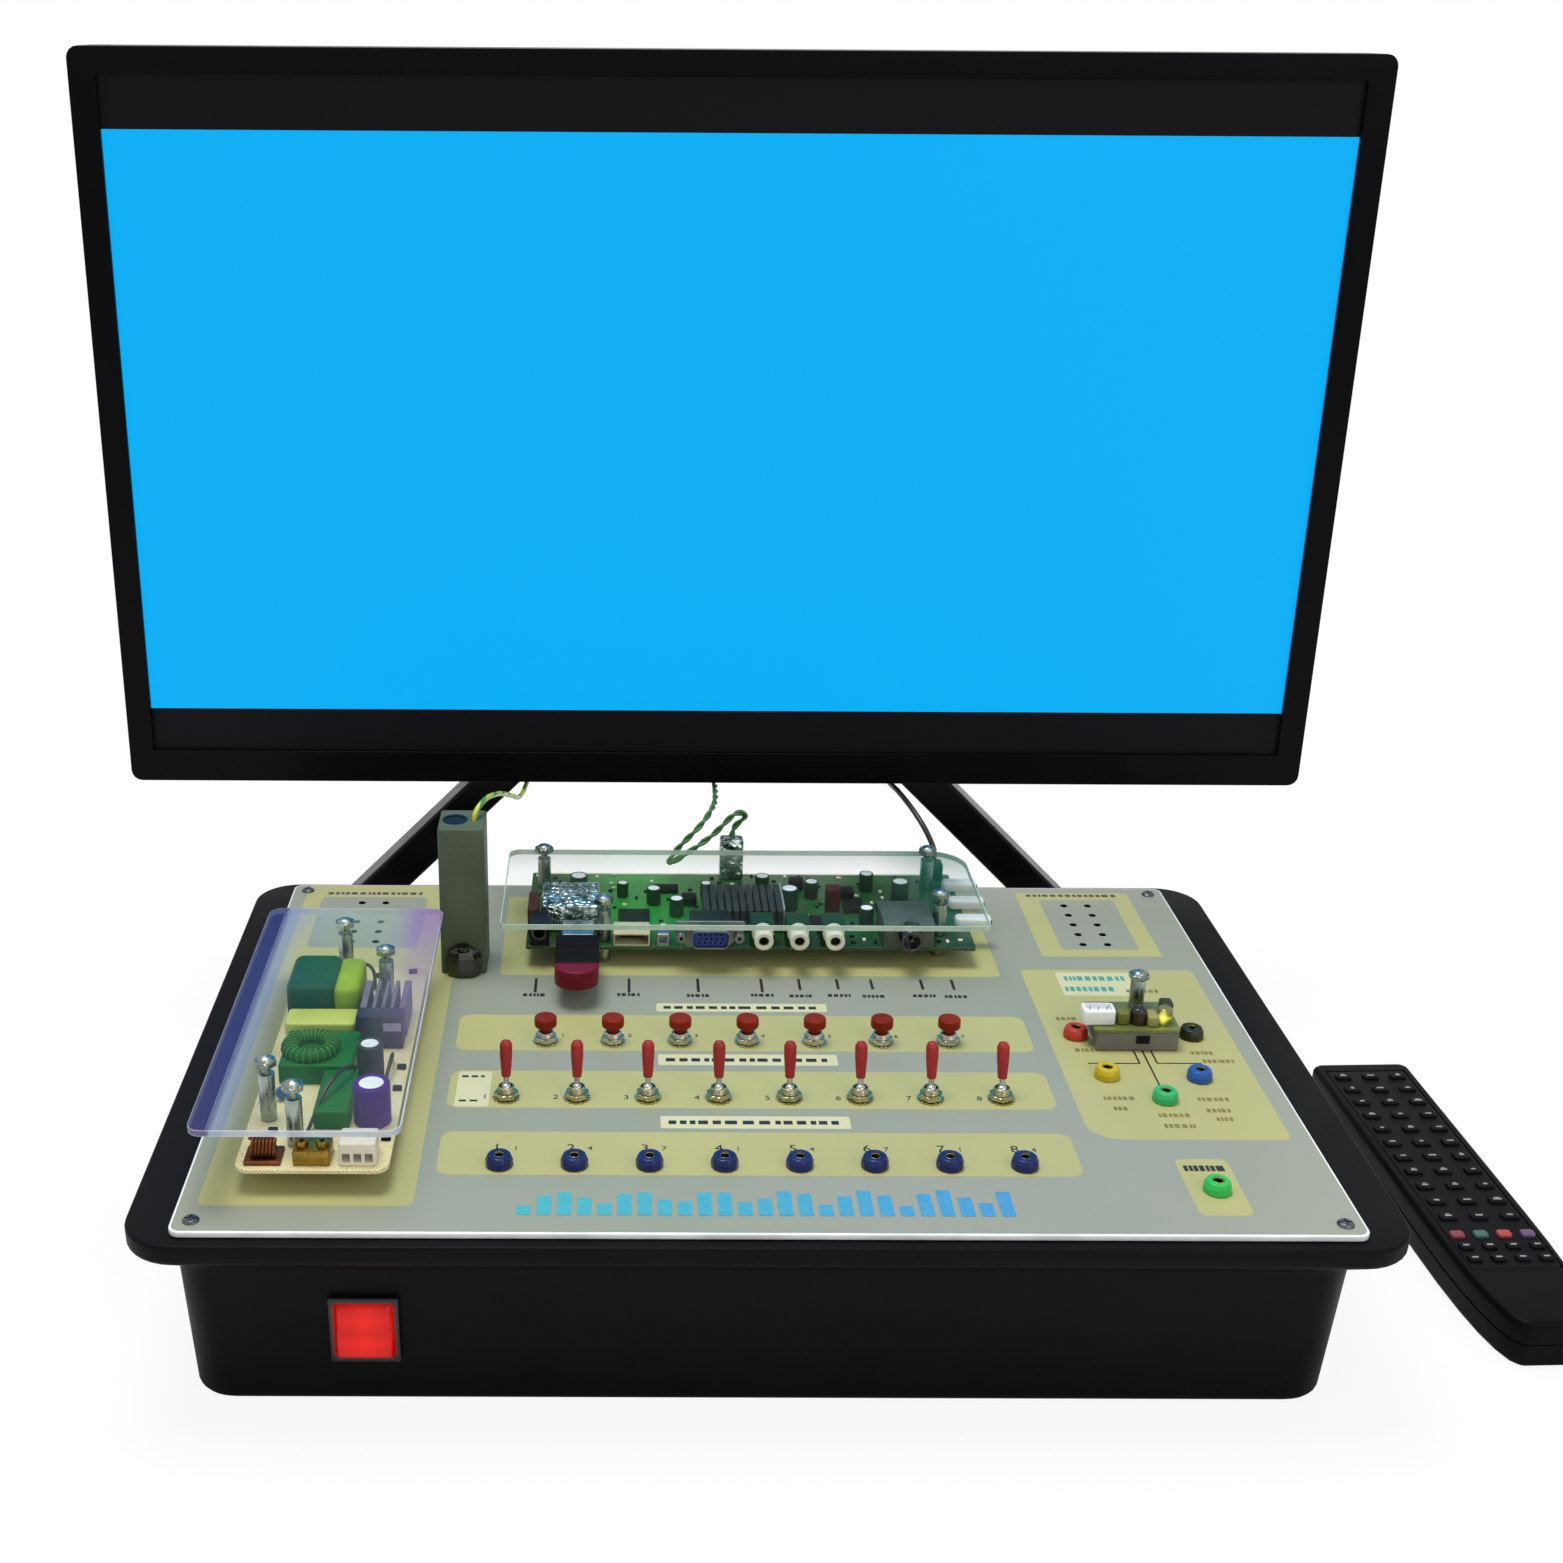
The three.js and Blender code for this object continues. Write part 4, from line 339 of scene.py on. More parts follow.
# %% Rings, stacks and blocks
def ring(width, depth, corner, steps=6):
    """A rectangle with round corners, anticlockwise, round zero."""
    w, d = width / 2, depth / 2
    corner = min(corner, w - 1e-4, d - 1e-4)
    return rounded([(-w, -d), (w, -d), (w, d), (-w, d)], max(corner, 1e-4), steps, closed=True)


def stack(levels, centre=(0, 0, 0), steps=6):
    """Rounded rectangles one above the other: each level is (height, width, depth, corner)."""
    rows = []
    for height, width, depth, corner in levels:
        flat = ring(width, depth, corner, steps)
        rows.append(np.column_stack([flat, np.full(len(flat), height)]))
    return sheet_mesh((np.array(rows) + np.array(centre)) * mm)


def block(size, centre, corner=1.0, edge=0.4, steps=3):
    """A moulded block: a rounded rectangle whose top and bottom edges are rounded as well.
    At angle a up a rounded edge the outline is drawn in by edge (1 - cos a)."""
    width, depth, height = size
    a = np.linspace(0, math.pi / 2, steps + 1)
    drawn = edge * (1 - np.cos(a))
    rise = edge * np.sin(a)
    levels = []
    for inset, up in zip(drawn[::-1], -rise[::-1]):
        levels.append((-height / 2 + edge + up, width - 2 * inset, depth - 2 * inset, corner - inset))
    for inset, up in zip(drawn, rise):
        levels.append((height / 2 - edge + up, width - 2 * inset, depth - 2 * inset, corner - inset))
    return stack(levels, centre)


print("a rounded square has", len(ring(10, 10, 2)), "points")

# %% Smooth paths and tubes
def spline(points, pieces=8):
    """A smooth line through the points: a centripetal Catmull-Rom curve, as the source's is."""
    p = np.array(points, float)
    p = np.vstack([2 * p[0] - p[1], p, 2 * p[-1] - p[-2]])
    gap = np.linalg.norm(np.diff(p, axis=0), axis=1) ** 0.5
    line = []
    share = np.linspace(0, 1, pieces, endpoint=False)[:, None]
    for k in range(len(p) - 3):
        t0, t1, t2, t3 = 0.0, gap[k], gap[k] + gap[k + 1], gap[k] + gap[k + 1] + gap[k + 2]
        t = t1 + share * (t2 - t1)
        a1 = (t1 - t) / (t1 - t0) * p[k] + (t - t0) / (t1 - t0) * p[k + 1]
        a2 = (t2 - t) / (t2 - t1) * p[k + 1] + (t - t1) / (t2 - t1) * p[k + 2]
        a3 = (t3 - t) / (t3 - t2) * p[k + 2] + (t - t2) / (t3 - t2) * p[k + 3]
        b1 = (t2 - t) / (t2 - t0) * a1 + (t - t0) / (t2 - t0) * a2
        b2 = (t3 - t) / (t3 - t1) * a2 + (t - t1) / (t3 - t1) * a3
        line.append((t2 - t) / (t2 - t1) * b1 + (t - t1) / (t2 - t1) * b2)
    return np.vstack(line + [p[-2:-1]])


def tube(line, radius, sides=16):
    """A circle carried along a line: point (i, u) = line(i) + r (side(i) cos u + up(i) sin u).
    The side turns as little as it can from one station to the next. UV is (round, along in mm)."""
    line = np.array(line, float)
    run = np.gradient(line, axis=0)
    run /= np.linalg.norm(run, axis=1)[:, None]
    side = np.cross(run[0], [0.31, 0.17, 0.93])
    sides_list = []
    for way in run:
        side = side - way * (side @ way)
        side = side / np.linalg.norm(side)
        sides_list.append(side)
    across = np.array(sides_list)
    up = np.cross(run, across)
    turn = np.linspace(0, 2 * math.pi, sides, endpoint=False)
    radii = np.broadcast_to(radius, len(line))[:, None, None]
    circle = across[:, None] * np.cos(turn)[:, None] + up[:, None] * np.sin(turn)[:, None]
    mesh = sheet_mesh((line[:, None] + radii * circle) * mm)
    along = np.concatenate([[0], np.cumsum(np.linalg.norm(np.diff(line, axis=0), axis=1))])
    where = np.zeros(len(mesh.loops), np.int32)
    mesh.loops.foreach_get("vertex_index", where)
    layer = mesh.uv_layers.new(name="UVMap")
    values = np.stack([(where % sides) / sides, along[where // sides]], axis=1)
    layer.data.foreach_set("uv", values.astype(np.float32).ravel())
    return mesh


print("a smooth path of 3 points has", len(spline([(0, 0, 0), (1, 0, 0), (1, 1, 0)])))
# %% [markdown]
# ## Cords first
#
# Three cords go up to the television: a twisted pair from a plug on the receiver board, an earth
# wire out of the duct, and a thin power cable. Their routes are the source's own route points.
# Each is a circle carried along the smooth line through them. The pair is two such tubes, which
# wind round the line, because two insulated wires are twisted so that they stay together.

# %% Wire finishes
def sheathed(name, colour, other=None, turns=0.06):
    """A glossy sheath. The earth wire's second colour is a band that winds round it: it shows
    where (around + along * turns) leaves a remainder under 0.35."""
    finish = Finish(name, roughness=0.36, coat_weight=0.15)
    around, along, _ = finish.axes(finish.node("ShaderNodeTexCoord", output="UV"))
    dust = finish.noise(0.35, detail=4)
    colour_now = finish.mix(dust, ink(colour), scaled(ink(colour), 0.72))
    if other:
        band = (around + along * turns).remainder(1.0) < 0.35
        colour_now = finish.mix(band, colour_now, ink(other))
    finish.set(base_color=colour_now, roughness=0.28 + dust * 0.25)
    return finish.bump(finish.noise(1.6, detail=3), 0.25, 0.05)


green_wire = sheathed("green_wire", "3f7a3a")
earth_sheath = sheathed("earth_sheath", "c3cf2c", "3c8a34")
black_cable = sheathed("black_cable", "201b1a")
print("three wire finishes made")

# %% Cord routes
pair_route = [
    (0.5, 134, 110.3), (1.5, 134, 115), (6.5, 133, 121.5), (2.5, 131, 123.5), (-9, 130, 112.5),
    (-24, 129, 101.5), (-28.5, 130.5, 98.5), (-24.5, 134, 104), (-13, 138, 115.5), (-7.5, 147, 121),
    (-6, 165, 121.8), (-6, 178.5, 121.4), (-6, 182.2, 122.8), (-6, 183, 125.4), (-6, 183, 129),
    (-6, 183, 132),
]
earth_route = [
    (-113.4, 63.5, 146.6), (-112.6, 64.5, 150.5), (-109.5, 71, 153.2), (-105, 92, 148),
    (-101, 124, 134.5), (-98.5, 148, 124.2), (-97, 164, 121.6), (-96, 178.5, 121.4),
    (-96, 182.2, 122.8), (-96, 183, 125.4), (-96, 183, 129), (-96, 183, 132),
]
power_route = [
    (95, 134, 98.3), (94.8, 134.3, 104), (91.5, 138.5, 111.5), (86.5, 148, 118),
    (81.5, 162, 121.6), (78.2, 178.5, 121.4), (78, 182.2, 122.8), (78, 183, 125.4), (78, 183, 129),
    (78, 183, 132),
]
print("route points", len(pair_route), len(earth_route), len(power_route))

# %% Strands and cords
def strand(line, radius, wind, phase):
    """A line that winds round another: line + radius (side cos t + up sin t), t = wind * station.
    The two ends run together with the line itself."""
    run = np.gradient(line, axis=0)
    run /= np.linalg.norm(run, axis=1)[:, None]
    side = np.cross(run, [0.2, 0.9, 0.35])
    side /= np.linalg.norm(side, axis=1)[:, None]
    up = np.cross(run, side)
    along = np.concatenate([[0], np.cumsum(np.linalg.norm(np.diff(line, axis=0), axis=1))])
    t = (along * wind + phase)[:, None]
    return line + radius * (side * np.cos(t) + up * np.sin(t))


def lay_cord(name, node, route, radius, finish, strands=1):
    """Makes a cord from its route and prints its length."""
    line, turn_a_mm, most_points = spline(route, 8), 0.42, 38
    if strands == 1:
        mesh = tube(line, radius)
    else:
        turns = [2 * math.pi * k / strands for k in range(strands)]
        lines = [strand(line, radius * 0.5, turn_a_mm, turn) for turn in turns]
        mesh = tube_pair(lines, radius * 0.5)
    piece = finished(name, mesh, finish)
    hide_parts(node)
    length = np.linalg.norm(np.diff(line, axis=0), axis=1).sum() * mm
    skip = max(1, math.ceil(len(line) / most_points))
    path = [tuple(point) for point in np.vstack([line[:-1:skip], line[-1:]]) * mm]
    print(name, "is", round(length * 1000), "mm long, path of", len(path), "points")


def tube_pair(lines, radius):
    """Several tubes as one mesh that keeps each tube's UV map."""
    tubes = [tube(line, radius, 12) for line in lines]
    uvs = []
    for part in tubes:
        values = np.zeros(len(part.loops) * 2, np.float32)
        part.uv_layers[0].data.foreach_get("uv", values)
        uvs.append(values)
    mesh = joined(tubes)
    mesh.uv_layers.new(name="UVMap").data.foreach_set("uv", np.concatenate(uvs))
    return mesh


lay_cord("screen_wires", "panel_wires", pair_route, 1.5, green_wire, strands=2)
lay_cord("earth_cord", "earth_wire", earth_route, 1.1, earth_sheath)
lay_cord("screen_cable", "tv_power_cable", power_route, 1.3, black_cable)

# Each family is one function, and each has what the eye expects close up: a fine grain, dust and
# handling marks that change the gloss.

# %% Plastics and metals
def plastic(name, colour, gloss=0.4, grain=1.6, depth=0.04, dust=0.25, coat=0.0, gleam=0.4):
    """Moulded plastic: a fine pebble grain as bump, cloudy handling marks that change the gloss,
    and a slight change of colour from place to place. Gleam is how much it mirrors."""
    finish = Finish(name, coat_weight=coat, specular_ior_level=gleam)
    cloud = finish.noise(0.035, detail=5, roughness=0.6)
    fine = finish.noise(grain, detail=3)
    base = ink(colour)
    pale, dark = scaled(base, 1.2, 0.001, most=1.0), scaled(base, 0.8)
    finish.set(base_color=finish.mix(finish.spread(cloud, 0.3, 0.7), dark, pale))
    marks = cloud * 0.7 + fine * 0.3
    finish.set(roughness=finish.spread(marks, 0.3, 0.7, gloss - dust / 2, gloss + dust / 2))
    return finish.bump(fine, 0.35, depth)


def metal(name, colour, gloss=0.3, scratch=0.8, stretch=(1, 1, 1)):
    """Plated or bare metal: fine scratches along one way, and clouds of tarnish."""
    finish = Finish(name, metallic=1.0)
    mapped = finish.node("ShaderNodeMapping", {"vector_type": "POINT"}, {0: finish.place(), 3: stretch})
    lines = finish.noise(scratch, detail=6, roughness=0.65, vector=mapped)
    cloud = finish.noise(0.12, detail=4)
    base = ink(colour)
    tarnish = finish.spread(cloud * 0.6 + lines * 0.4, 0.35, 0.65)
    finish.set(base_color=finish.mix(tarnish, scaled(base, 0.62), base))
    finish.set(roughness=finish.spread(lines, 0.3, 0.7, gloss - 0.1, gloss + 0.14))
    return finish.bump(lines, 0.2, 0.02)


tub_black = plastic("tub_black", "08080a", gloss=0.48, grain=1.1, depth=0.06, dust=0.2, gleam=0.07)
black_plastic = plastic("black_plastic", "101013", gloss=0.4, gleam=0.2)
cream_plastic = plastic("cream_plastic", "e4ddc6", gloss=0.42)
white_plastic = plastic("white_plastic", "eef0ee", gloss=0.38)
navy_plastic = plastic("navy_plastic", "1b2f86", gloss=0.3, coat=0.25)
nickel = metal("nickel", "c9ccc9", gloss=0.24)
steel = metal("steel", "aab0b0", gloss=0.33)
brass_worn = metal("brass_worn", "b0a468", gloss=0.3)
aluminium = metal("aluminium", "cfcecb", gloss=0.52, scratch=1.4, stretch=(0.15, 1, 1))
stand_steel = plastic("stand_steel", "0d0d0f", gloss=0.3, grain=2.6, depth=0.02, dust=0.16, gleam=0.2)
print("finishes so far", len(bpy.data.materials))

# %% Dressing a node of the packed model
def dress(finish, *names):
    """Gives CAD nodes a finish in place of the plain one they were packed with."""
    for name in names:
        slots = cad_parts[name].data.materials
        slots.clear()
        slots.append(finish.material)


print("nodes that can be dressed", len(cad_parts))

# %% [markdown]
# ## Light and floor
#
# The photo was cut out on white, and its object is lit softly from above and in front. A pale
# floor, a pale world and three wide lamps give the same. The lamps stay at the level where a
# colour shows about as it is written, and the white of the background comes from what the camera
# and reflections see of the floor and the world, not from more light.

# %% Floor and world
class Sky(Finish):
    """The world's tree, with the same node method."""

    def __init__(self, name):
        world = bpy.data.worlds.new(name)
        world.use_nodes = True
        bpy.context.scene.world = world
        self.tree = world.node_tree


sky = Sky("soft_room")
seen, passed, mirrored = [
    sky.node("ShaderNodeLightPath", output=kind)
    for kind in ("Is Camera Ray", "Is Transmission Ray", "Is Glossy Ray")
]
sky_strength = 0.5 + seen.maximum(passed).maximum(mirrored * 0.5) * 0.5
background = sky.tree.nodes["Background"]
background.inputs["Color"].default_value = (1, 1, 1, 1)
sky.tree.links.new(sky_strength.socket, background.inputs["Strength"])

floor_paint = Finish("floor_paint", roughness=0.85)
floor_paint.set(base_color=floor_paint.mix(floor_paint.noise(0.002), ink("f4f4f3"), ink("fafaf9")))
floor_x, floor_y, _ = floor_paint.axes()
far = floor_paint.spread((floor_x * floor_x + floor_y * floor_y) * 1e-6, 0.3, 2.0, 0.9, 1.0)
rays = floor_paint.node("ShaderNodeLightPath", output="Is Camera Ray")
glow = floor_paint.node("ShaderNodeEmission", inputs={"Color": (1, 1, 1, 1), "Strength": 1.0})
shown = Tap(floor_paint, floor_paint.shader.outputs[0])
lit_floor = floor_paint.node("ShaderNodeMixShader", inputs={0: rays * far, 1: shown, 2: glow})
floor_paint.show(lit_floor)

span = np.array([(-6, -5, 0), (6, -5, 0), (6, 7, 0), (-6, 7, 0)])
floor_mesh = bpy.data.meshes.new("floor")
floor_mesh.from_pydata(span.tolist(), [], [(0, 1, 2, 3)])
floor = bpy.data.objects.new("floor", floor_mesh)
floor_mesh.materials.append(floor_paint.material)
bpy.context.scene.collection.objects.link(floor)
print("floor and world made")

# %% Lamps
def lamp(name, place, aim, size, watts):
    """A wide soft lamp at a place, turned towards a point."""
    light = bpy.data.lights.new(name, "AREA")
    light.shape = "DISK"
    light.size = size
    light.energy = watts
    lit = bpy.data.objects.new(name, light)
    bpy.context.scene.collection.objects.link(lit)
    way = np.array(aim, float) - np.array(place, float)
    way /= np.linalg.norm(way)
    side = np.cross(way, (0, 0, 1))
    side /= np.linalg.norm(side)
    turn = np.eye(4)
    turn[:3, :3] = np.stack([side, np.cross(side, way), -way], axis=1)
    turn[:3, 3] = place
    lit.matrix_world = Matrix(turn.tolist())


lamp("key_lamp", (-0.25, 0.1, 1.9), (0, 0, 0.05), 0.9, 24)
lamp("fill_lamp", (0.9, -1.4, 1.1), (0, 0, 0.1), 1.2, 7)
lamp("back_lamp", (0.2, 1.6, 1.6), (0, 0.1, 0.2), 1.2, 10)
bpy.context.scene.view_settings.view_transform = "Standard"
# %% [markdown]
# ## The tub
#
# The tub is one black moulding: walls that lean out a little, a slope out to a wide rim, and a
# ledge that carries the panel. It could be a box with bevels, but its corners, draft and slope
# all change along the way up, so it is a stack of rounded rectangles whose size follows a rounded
# side line. Two holes are then cut in its walls, for the mains switch and the mains inlet.

# %% Tub
rim_width, rim_depth, rim_height, rim_reach = 444.0, 290.0, 77.5, 7.0
wall_inset, rim_corner, wall_corner = 14.5, 18.0, 14.0
switch_x, switch_z = -140.8, 33.5
inlet_place = (150, 129.2, 36)


def carved(mesh, cutters):
    """A mesh less other meshes, by the exact Boolean, which leaves a closed body."""
    base = bpy.data.objects.new("carved", mesh)
    bpy.context.scene.collection.objects.link(base)
    tools = []
    for k, cutter in enumerate(cutters):
        tool = bpy.data.objects.new(f"cutter_{k}", cutter)
        bpy.context.scene.collection.objects.link(tool)
        cut = base.modifiers.new(f"cut_{k}", "BOOLEAN")
        cut.operation, cut.solver, cut.object = "DIFFERENCE", "EXACT", tool
        tools.append(tool)
    graph = bpy.context.evaluated_depsgraph_get()
    result = bpy.data.meshes.new_from_object(base.evaluated_get(graph))
    for item in tools + [base]:
        bpy.data.objects.remove(item)
    return result


def box(size, centre):
    """A plain box to cut with."""
    w, d, h = np.array(size) / 2
    return stack([(-h, 2 * w, 2 * d, 0.01), (h, 2 * w, 2 * d, 0.01)], centre, 1)


def side_levels(line, skin=0.0):
    """Levels from a side line of (inset from the rim, height). In step with the inset, the
    corner's radius goes from the rim's to the walls', and the rim's further reach at the back
    goes to nothing."""
    levels = []
    for inset, height in line:
        share = min(max(inset - skin, 0) / wall_inset, 1)
        reach = rim_reach * (1 - share)
        size = rim_width - 2 * inset, rim_depth + reach - 2 * inset
        corner = rim_corner + (wall_corner - rim_corner) * share
        levels.append((height, *size, corner, reach / 2))
    return levels


outer = rounded(
    [(70, 0), (17.7, 0), (wall_inset, 59.5), (0.15, 70.2), (0, rim_height), (23.5, rim_height)],
    [0, 4.0, 5.0, 3.0, 1.1, 0],
)[:-1]
inner = rounded([(5, 74.5), (3, 70.5), (17.5, 56.5), (20.5, 7), (25, 3), (70, 3)], [0, 2, 4, 3, 2, 0])
levels = side_levels(outer)
ledge = [(height, rim_width - 46, rim_depth - 35, 6, 5.5) for height in (rim_height, 74.5)]
rows = []
for height, width, depth, corner, shift in levels + ledge + side_levels(inner, skin=3.0):
    flat = ring(width, depth, corner, 8)
    rows.append(np.column_stack([flat[:, 0], flat[:, 1] + shift, np.full(len(flat), height)]))
tub_mesh = sheet_mesh(np.array(rows) * mm)
holes = [box((22.8, 16, 25.8), (switch_x, -129.1, switch_z)), box((29.6, 20, 22.6), inlet_place)]
tub = finished("tub", carved(tub_mesh, holes), tub_black, sharp=28)
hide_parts("base_tub")
print("tub points", len(tub.data.vertices))

# %% [markdown]
# ## The panel and its print
#
# The panel is a sheet of white acrylic with a printed film on it: pale grey with a cool cast,
# yellow zones behind each group of parts, cream label strips, and small dark marks. Each layer is
# a flat curve with its holes, given a thickness and a small bevel and made a mesh. The layers lie
# on each other as ink does, a twentieth of a millimetre apart. Words aren't copied: their places
# hold plain bars and numbers.

# %% Flat shapes
panel_top = 80.0


def circle(x, y, radius, sides=28):
    """A round outline: (x + r cos t, y + r sin t)."""
    turn = np.linspace(0, 2 * math.pi, sides, endpoint=False)
    return np.column_stack([x + radius * np.cos(turn), y + radius * np.sin(turn)])


def zone(x0, x1, y0, y1, corner=3.0):
    """A rectangle with round corners between two x and two y."""
    return ring(x1 - x0, y1 - y0, corner) + np.array([(x0 + x1) / 2, (y0 + y1) / 2])


def flat_mesh(outlines, low, high, bevel=0.0):
    """A flat sheet from outlines, filled where an odd number of them lie round a point,
    from height low to high in millimetres."""
    curve = bpy.data.curves.new("outline", "CURVE")
    curve.dimensions, curve.fill_mode = "2D", "BOTH"
    curve.extrude = (high - low) / 2 * mm - bevel * mm
    curve.bevel_depth, curve.bevel_resolution = bevel * mm, 2
    curve.offset = -bevel * mm
    for outline in outlines:
        line = curve.splines.new("POLY")
        line.points.add(len(outline) - 1)
        four = np.column_stack([outline * mm, np.zeros(len(outline)), np.ones(len(outline))])
        line.points.foreach_set("co", four.astype(np.float32).ravel())
        line.use_cyclic_u = True
    holder = bpy.data.objects.new("outline", curve)
    bpy.context.scene.collection.objects.link(holder)
    graph = bpy.context.evaluated_depsgraph_get()
    mesh = bpy.data.meshes.new_from_object(holder.evaluated_get(graph))
    bpy.data.objects.remove(holder)
    mesh.transform(Matrix.Translation((0, 0, (low + high) / 2 * mm)))
    return mesh


def printed(name, outlines, layer, finish):
    """One layer of print, its top at layer hundredths of a millimetre above the panel."""
    top = panel_top + layer / 100
    return finished(name, flat_mesh(outlines, top - 0.04, top), finish)


print("a round hole has", len(circle(0, 0, 1)), "sides")

# %% Print finishes
def printed_film(name, first, second, gloss=0.3, patch=0.012):
    """Screen print under a clear film: two near colours that drift into each other, faint dots
    of ink, and handling marks in the gloss."""
    finish = Finish(name, specular_ior_level=0.3)
    drift = finish.noise(patch, detail=3)
    dots = finish.noise(1.4, detail=2)
    colour = finish.mix(finish.spread(drift, 0.35, 0.65), ink(first), ink(second))
    speck = finish.spread(dots, 0.66, 0.8, 0.0, 0.12)
    finish.set(base_color=finish.mix(speck, colour, (0.75, 0.75, 0.7, 1)))
    rub = finish.noise(0.02, detail=3)
    finish.set(roughness=finish.spread(rub, 0.3, 0.7, gloss - 0.03, gloss + 0.05))
    return finish.bump(finish.noise(0.9, detail=2), 0.08, 0.02)


acrylic_white = plastic("acrylic_white", "eef1f0", gloss=0.22, grain=2.4, depth=0.01, dust=0.1)
film_grey = printed_film("film_grey", "939987", "999c8f", gloss=0.36, patch=0.006)
print_yellow = printed_film("print_yellow", "b5b377", "b0ae77", gloss=0.38)
print_cream = printed_film("print_cream", "d2cfa6", "cbc99e", gloss=0.34)
print_ink = printed_film("print_ink", "232523", "30322e", gloss=0.36, patch=0.2)
print_olive = printed_film("print_olive", "7a6d33", "8f813e", gloss=0.36, patch=0.2)
print_teal = printed_film("print_teal", "3f9c8c", "4aa594", gloss=0.36, patch=0.2)

title_ink = Finish("title_ink")
reach_x = title_ink.axes()[0]
title_share = title_ink.spread(reach_x, -87, 86)
title_cloud = title_ink.noise(0.5, detail=4)
title_blue = title_ink.mix(title_share, ink("2ba6a6"), ink("2a80bc"))
title_ink.set(base_color=title_ink.mix(title_cloud * 0.35, title_blue, ink("8fd0e0")))
title_ink.set(roughness=0.24 + title_cloud * 0.2)
title_ink.bump(title_cloud, 0.1, 0.02)
print("print finishes made")

# %% Panel sheet with all its holes
sound_x = [-171.0, -160.0, 155.5, 166.5]
speaker_y = 104.5
sound_y = [speaker_y + 10.2 * k for k in range(-2, 3)]
sound_holes = [circle(x, y, 1.7, 16) for x in sound_x for y in sound_y]
key_y, toggle_y, test_y = -6.5, -50.5, -97.5
key_x = [27.0 * k for k in range(-3, 4)]
toggle_x = [27.0 * (k - 3.5) for k in range(8)]
sensor_sockets = {
    "red": (133.7, -0.5), "black": (180.7, -0.5), "yellow": (139.0, -32.8),
    "green": (157.2, -50.5), "blue": (174.8, -34.3),
}
power_place = (159.5, -112.5)
control_holes = [circle(x, key_y, 3.7) for x in key_x] + [circle(x, toggle_y, 3.5) for x in toggle_x]
socket_places = [(x, test_y) for x in toggle_x] + [*sensor_sockets.values(), power_place]
control_holes += [circle(*place, 3.9) for place in socket_places]
sheet_outline = zone(-205, 205, -140, 145, 4)
all_holes = sound_holes + control_holes
panel_mesh = flat_mesh([sheet_outline] + all_holes, panel_top - 2.2, panel_top, 0.35)
panel = finished("panel_sheet", panel_mesh, acrylic_white, sharp=50)
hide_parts("top_panel")

film_outline = zone(-204.2, 204.2, -139.0, 144.2, 3.4)
printed("panel_film", [film_outline] + all_holes, 6, film_grey)
print("panel holes", len(all_holes))

# %% Zones, strips and label strips
yellow = [
    zone(-117, 115, -14, 16, 5), zone(-117, 115, -58, -30, 5), zone(-117, 115, -104, -75, 5),
    zone(-103, 113, 52, 132, 3), zone(-198, -123, -124, 144, 3), zone(-190, -141, 78, 131, 2),
    zone(135, 188, 72, 139, 1), zone(145, 179.5, 79, 131, 1), zone(149.5, 168.5, -128, -92, 3),
]
corner_zone = rounded([(122.5, -79), (197, -79), (197, 59), (122.5, 59)], [12, 3, 3, 2], 6, True)
printed("panel_zones", yellow + [corner_zone] + control_holes, 10, print_yellow)
cream = [zone(-36, 35, 19.2, 26.5, 1), zone(-36, 35, -25.4, -16.6, 1), zone(-36, 35, -72.4, -63.6, 1)]
cream += [zone(137, 169, 35, 56.5, 1), zone(-114, -101, -57.2, -30.8, 1)]
printed("label_strips", cream, 14, print_cream)
print("label strips", len(cream))

# %% Dark marks: tick lines, small bars in place of words, and the title's bars
def bars(x0, x1, y, height, count, seed, gap=0.32):
    """A row of short bars from x0 to x1, of uneven widths, where a label's words were."""
    shares = np.random.default_rng(seed).uniform(0.6, 1.4, count)
    edges = x0 + (x1 - x0) * np.concatenate([[0], np.cumsum(shares) / shares.sum()])
    starts, ends = edges[:-1], edges[1:] - gap * np.diff(edges)
    return [zone(a, b, y, y + height, 0.15) for a, b in zip(starts, ends)]


ticks = [
    (-87, 13), (-47.3, 13), (-17.9, 12), (9.2, 12), (25.4, 10), (41.7, 9), (56.3, 9), (77.7, 9),
    (91, 9),
]
marks = [zone(x - 0.6, x + 0.6, 49 - length, 49, 0.1) for x, length in ticks]
for number, (x, length) in enumerate(ticks):
    marks += bars(x - 5, x + 5, 32.4 + (number % 2) * 0.6, 2.4, 5, number)
marks += bars(-33, 32, 21.6, 2.4, 13, 20) + bars(-33, 32, -22.4, 2.6, 14, 21)
marks += bars(-33, 32, -69.4, 2.6, 14, 22)
marks += bars(-112.5, -103, -35.4, 1.5, 3, 23) + bars(-112.5, -104, -53.6, 1.3, 2, 24)
marks += bars(151.6, 167, -100, 3.6, 7, 25, gap=0.25)
marks += bars(140, 183, 134.8, 2.4, 14, 26) + bars(-188, -143, 134.0, 2.4, 15, 27)
lines = [
    zone(134, 154.8, -22.9, -22.2, 0.05), zone(154.1, 154.8, -22.5, -12, 0.05),
    zone(157.6, 158.3, -46, -12, 0.05),
    zone(161.1, 161.8, -22.4, -12, 0.05), zone(161.4, 179, -22.7, -22, 0.05),
]
printed("dark_marks", marks + lines, 18, print_ink)
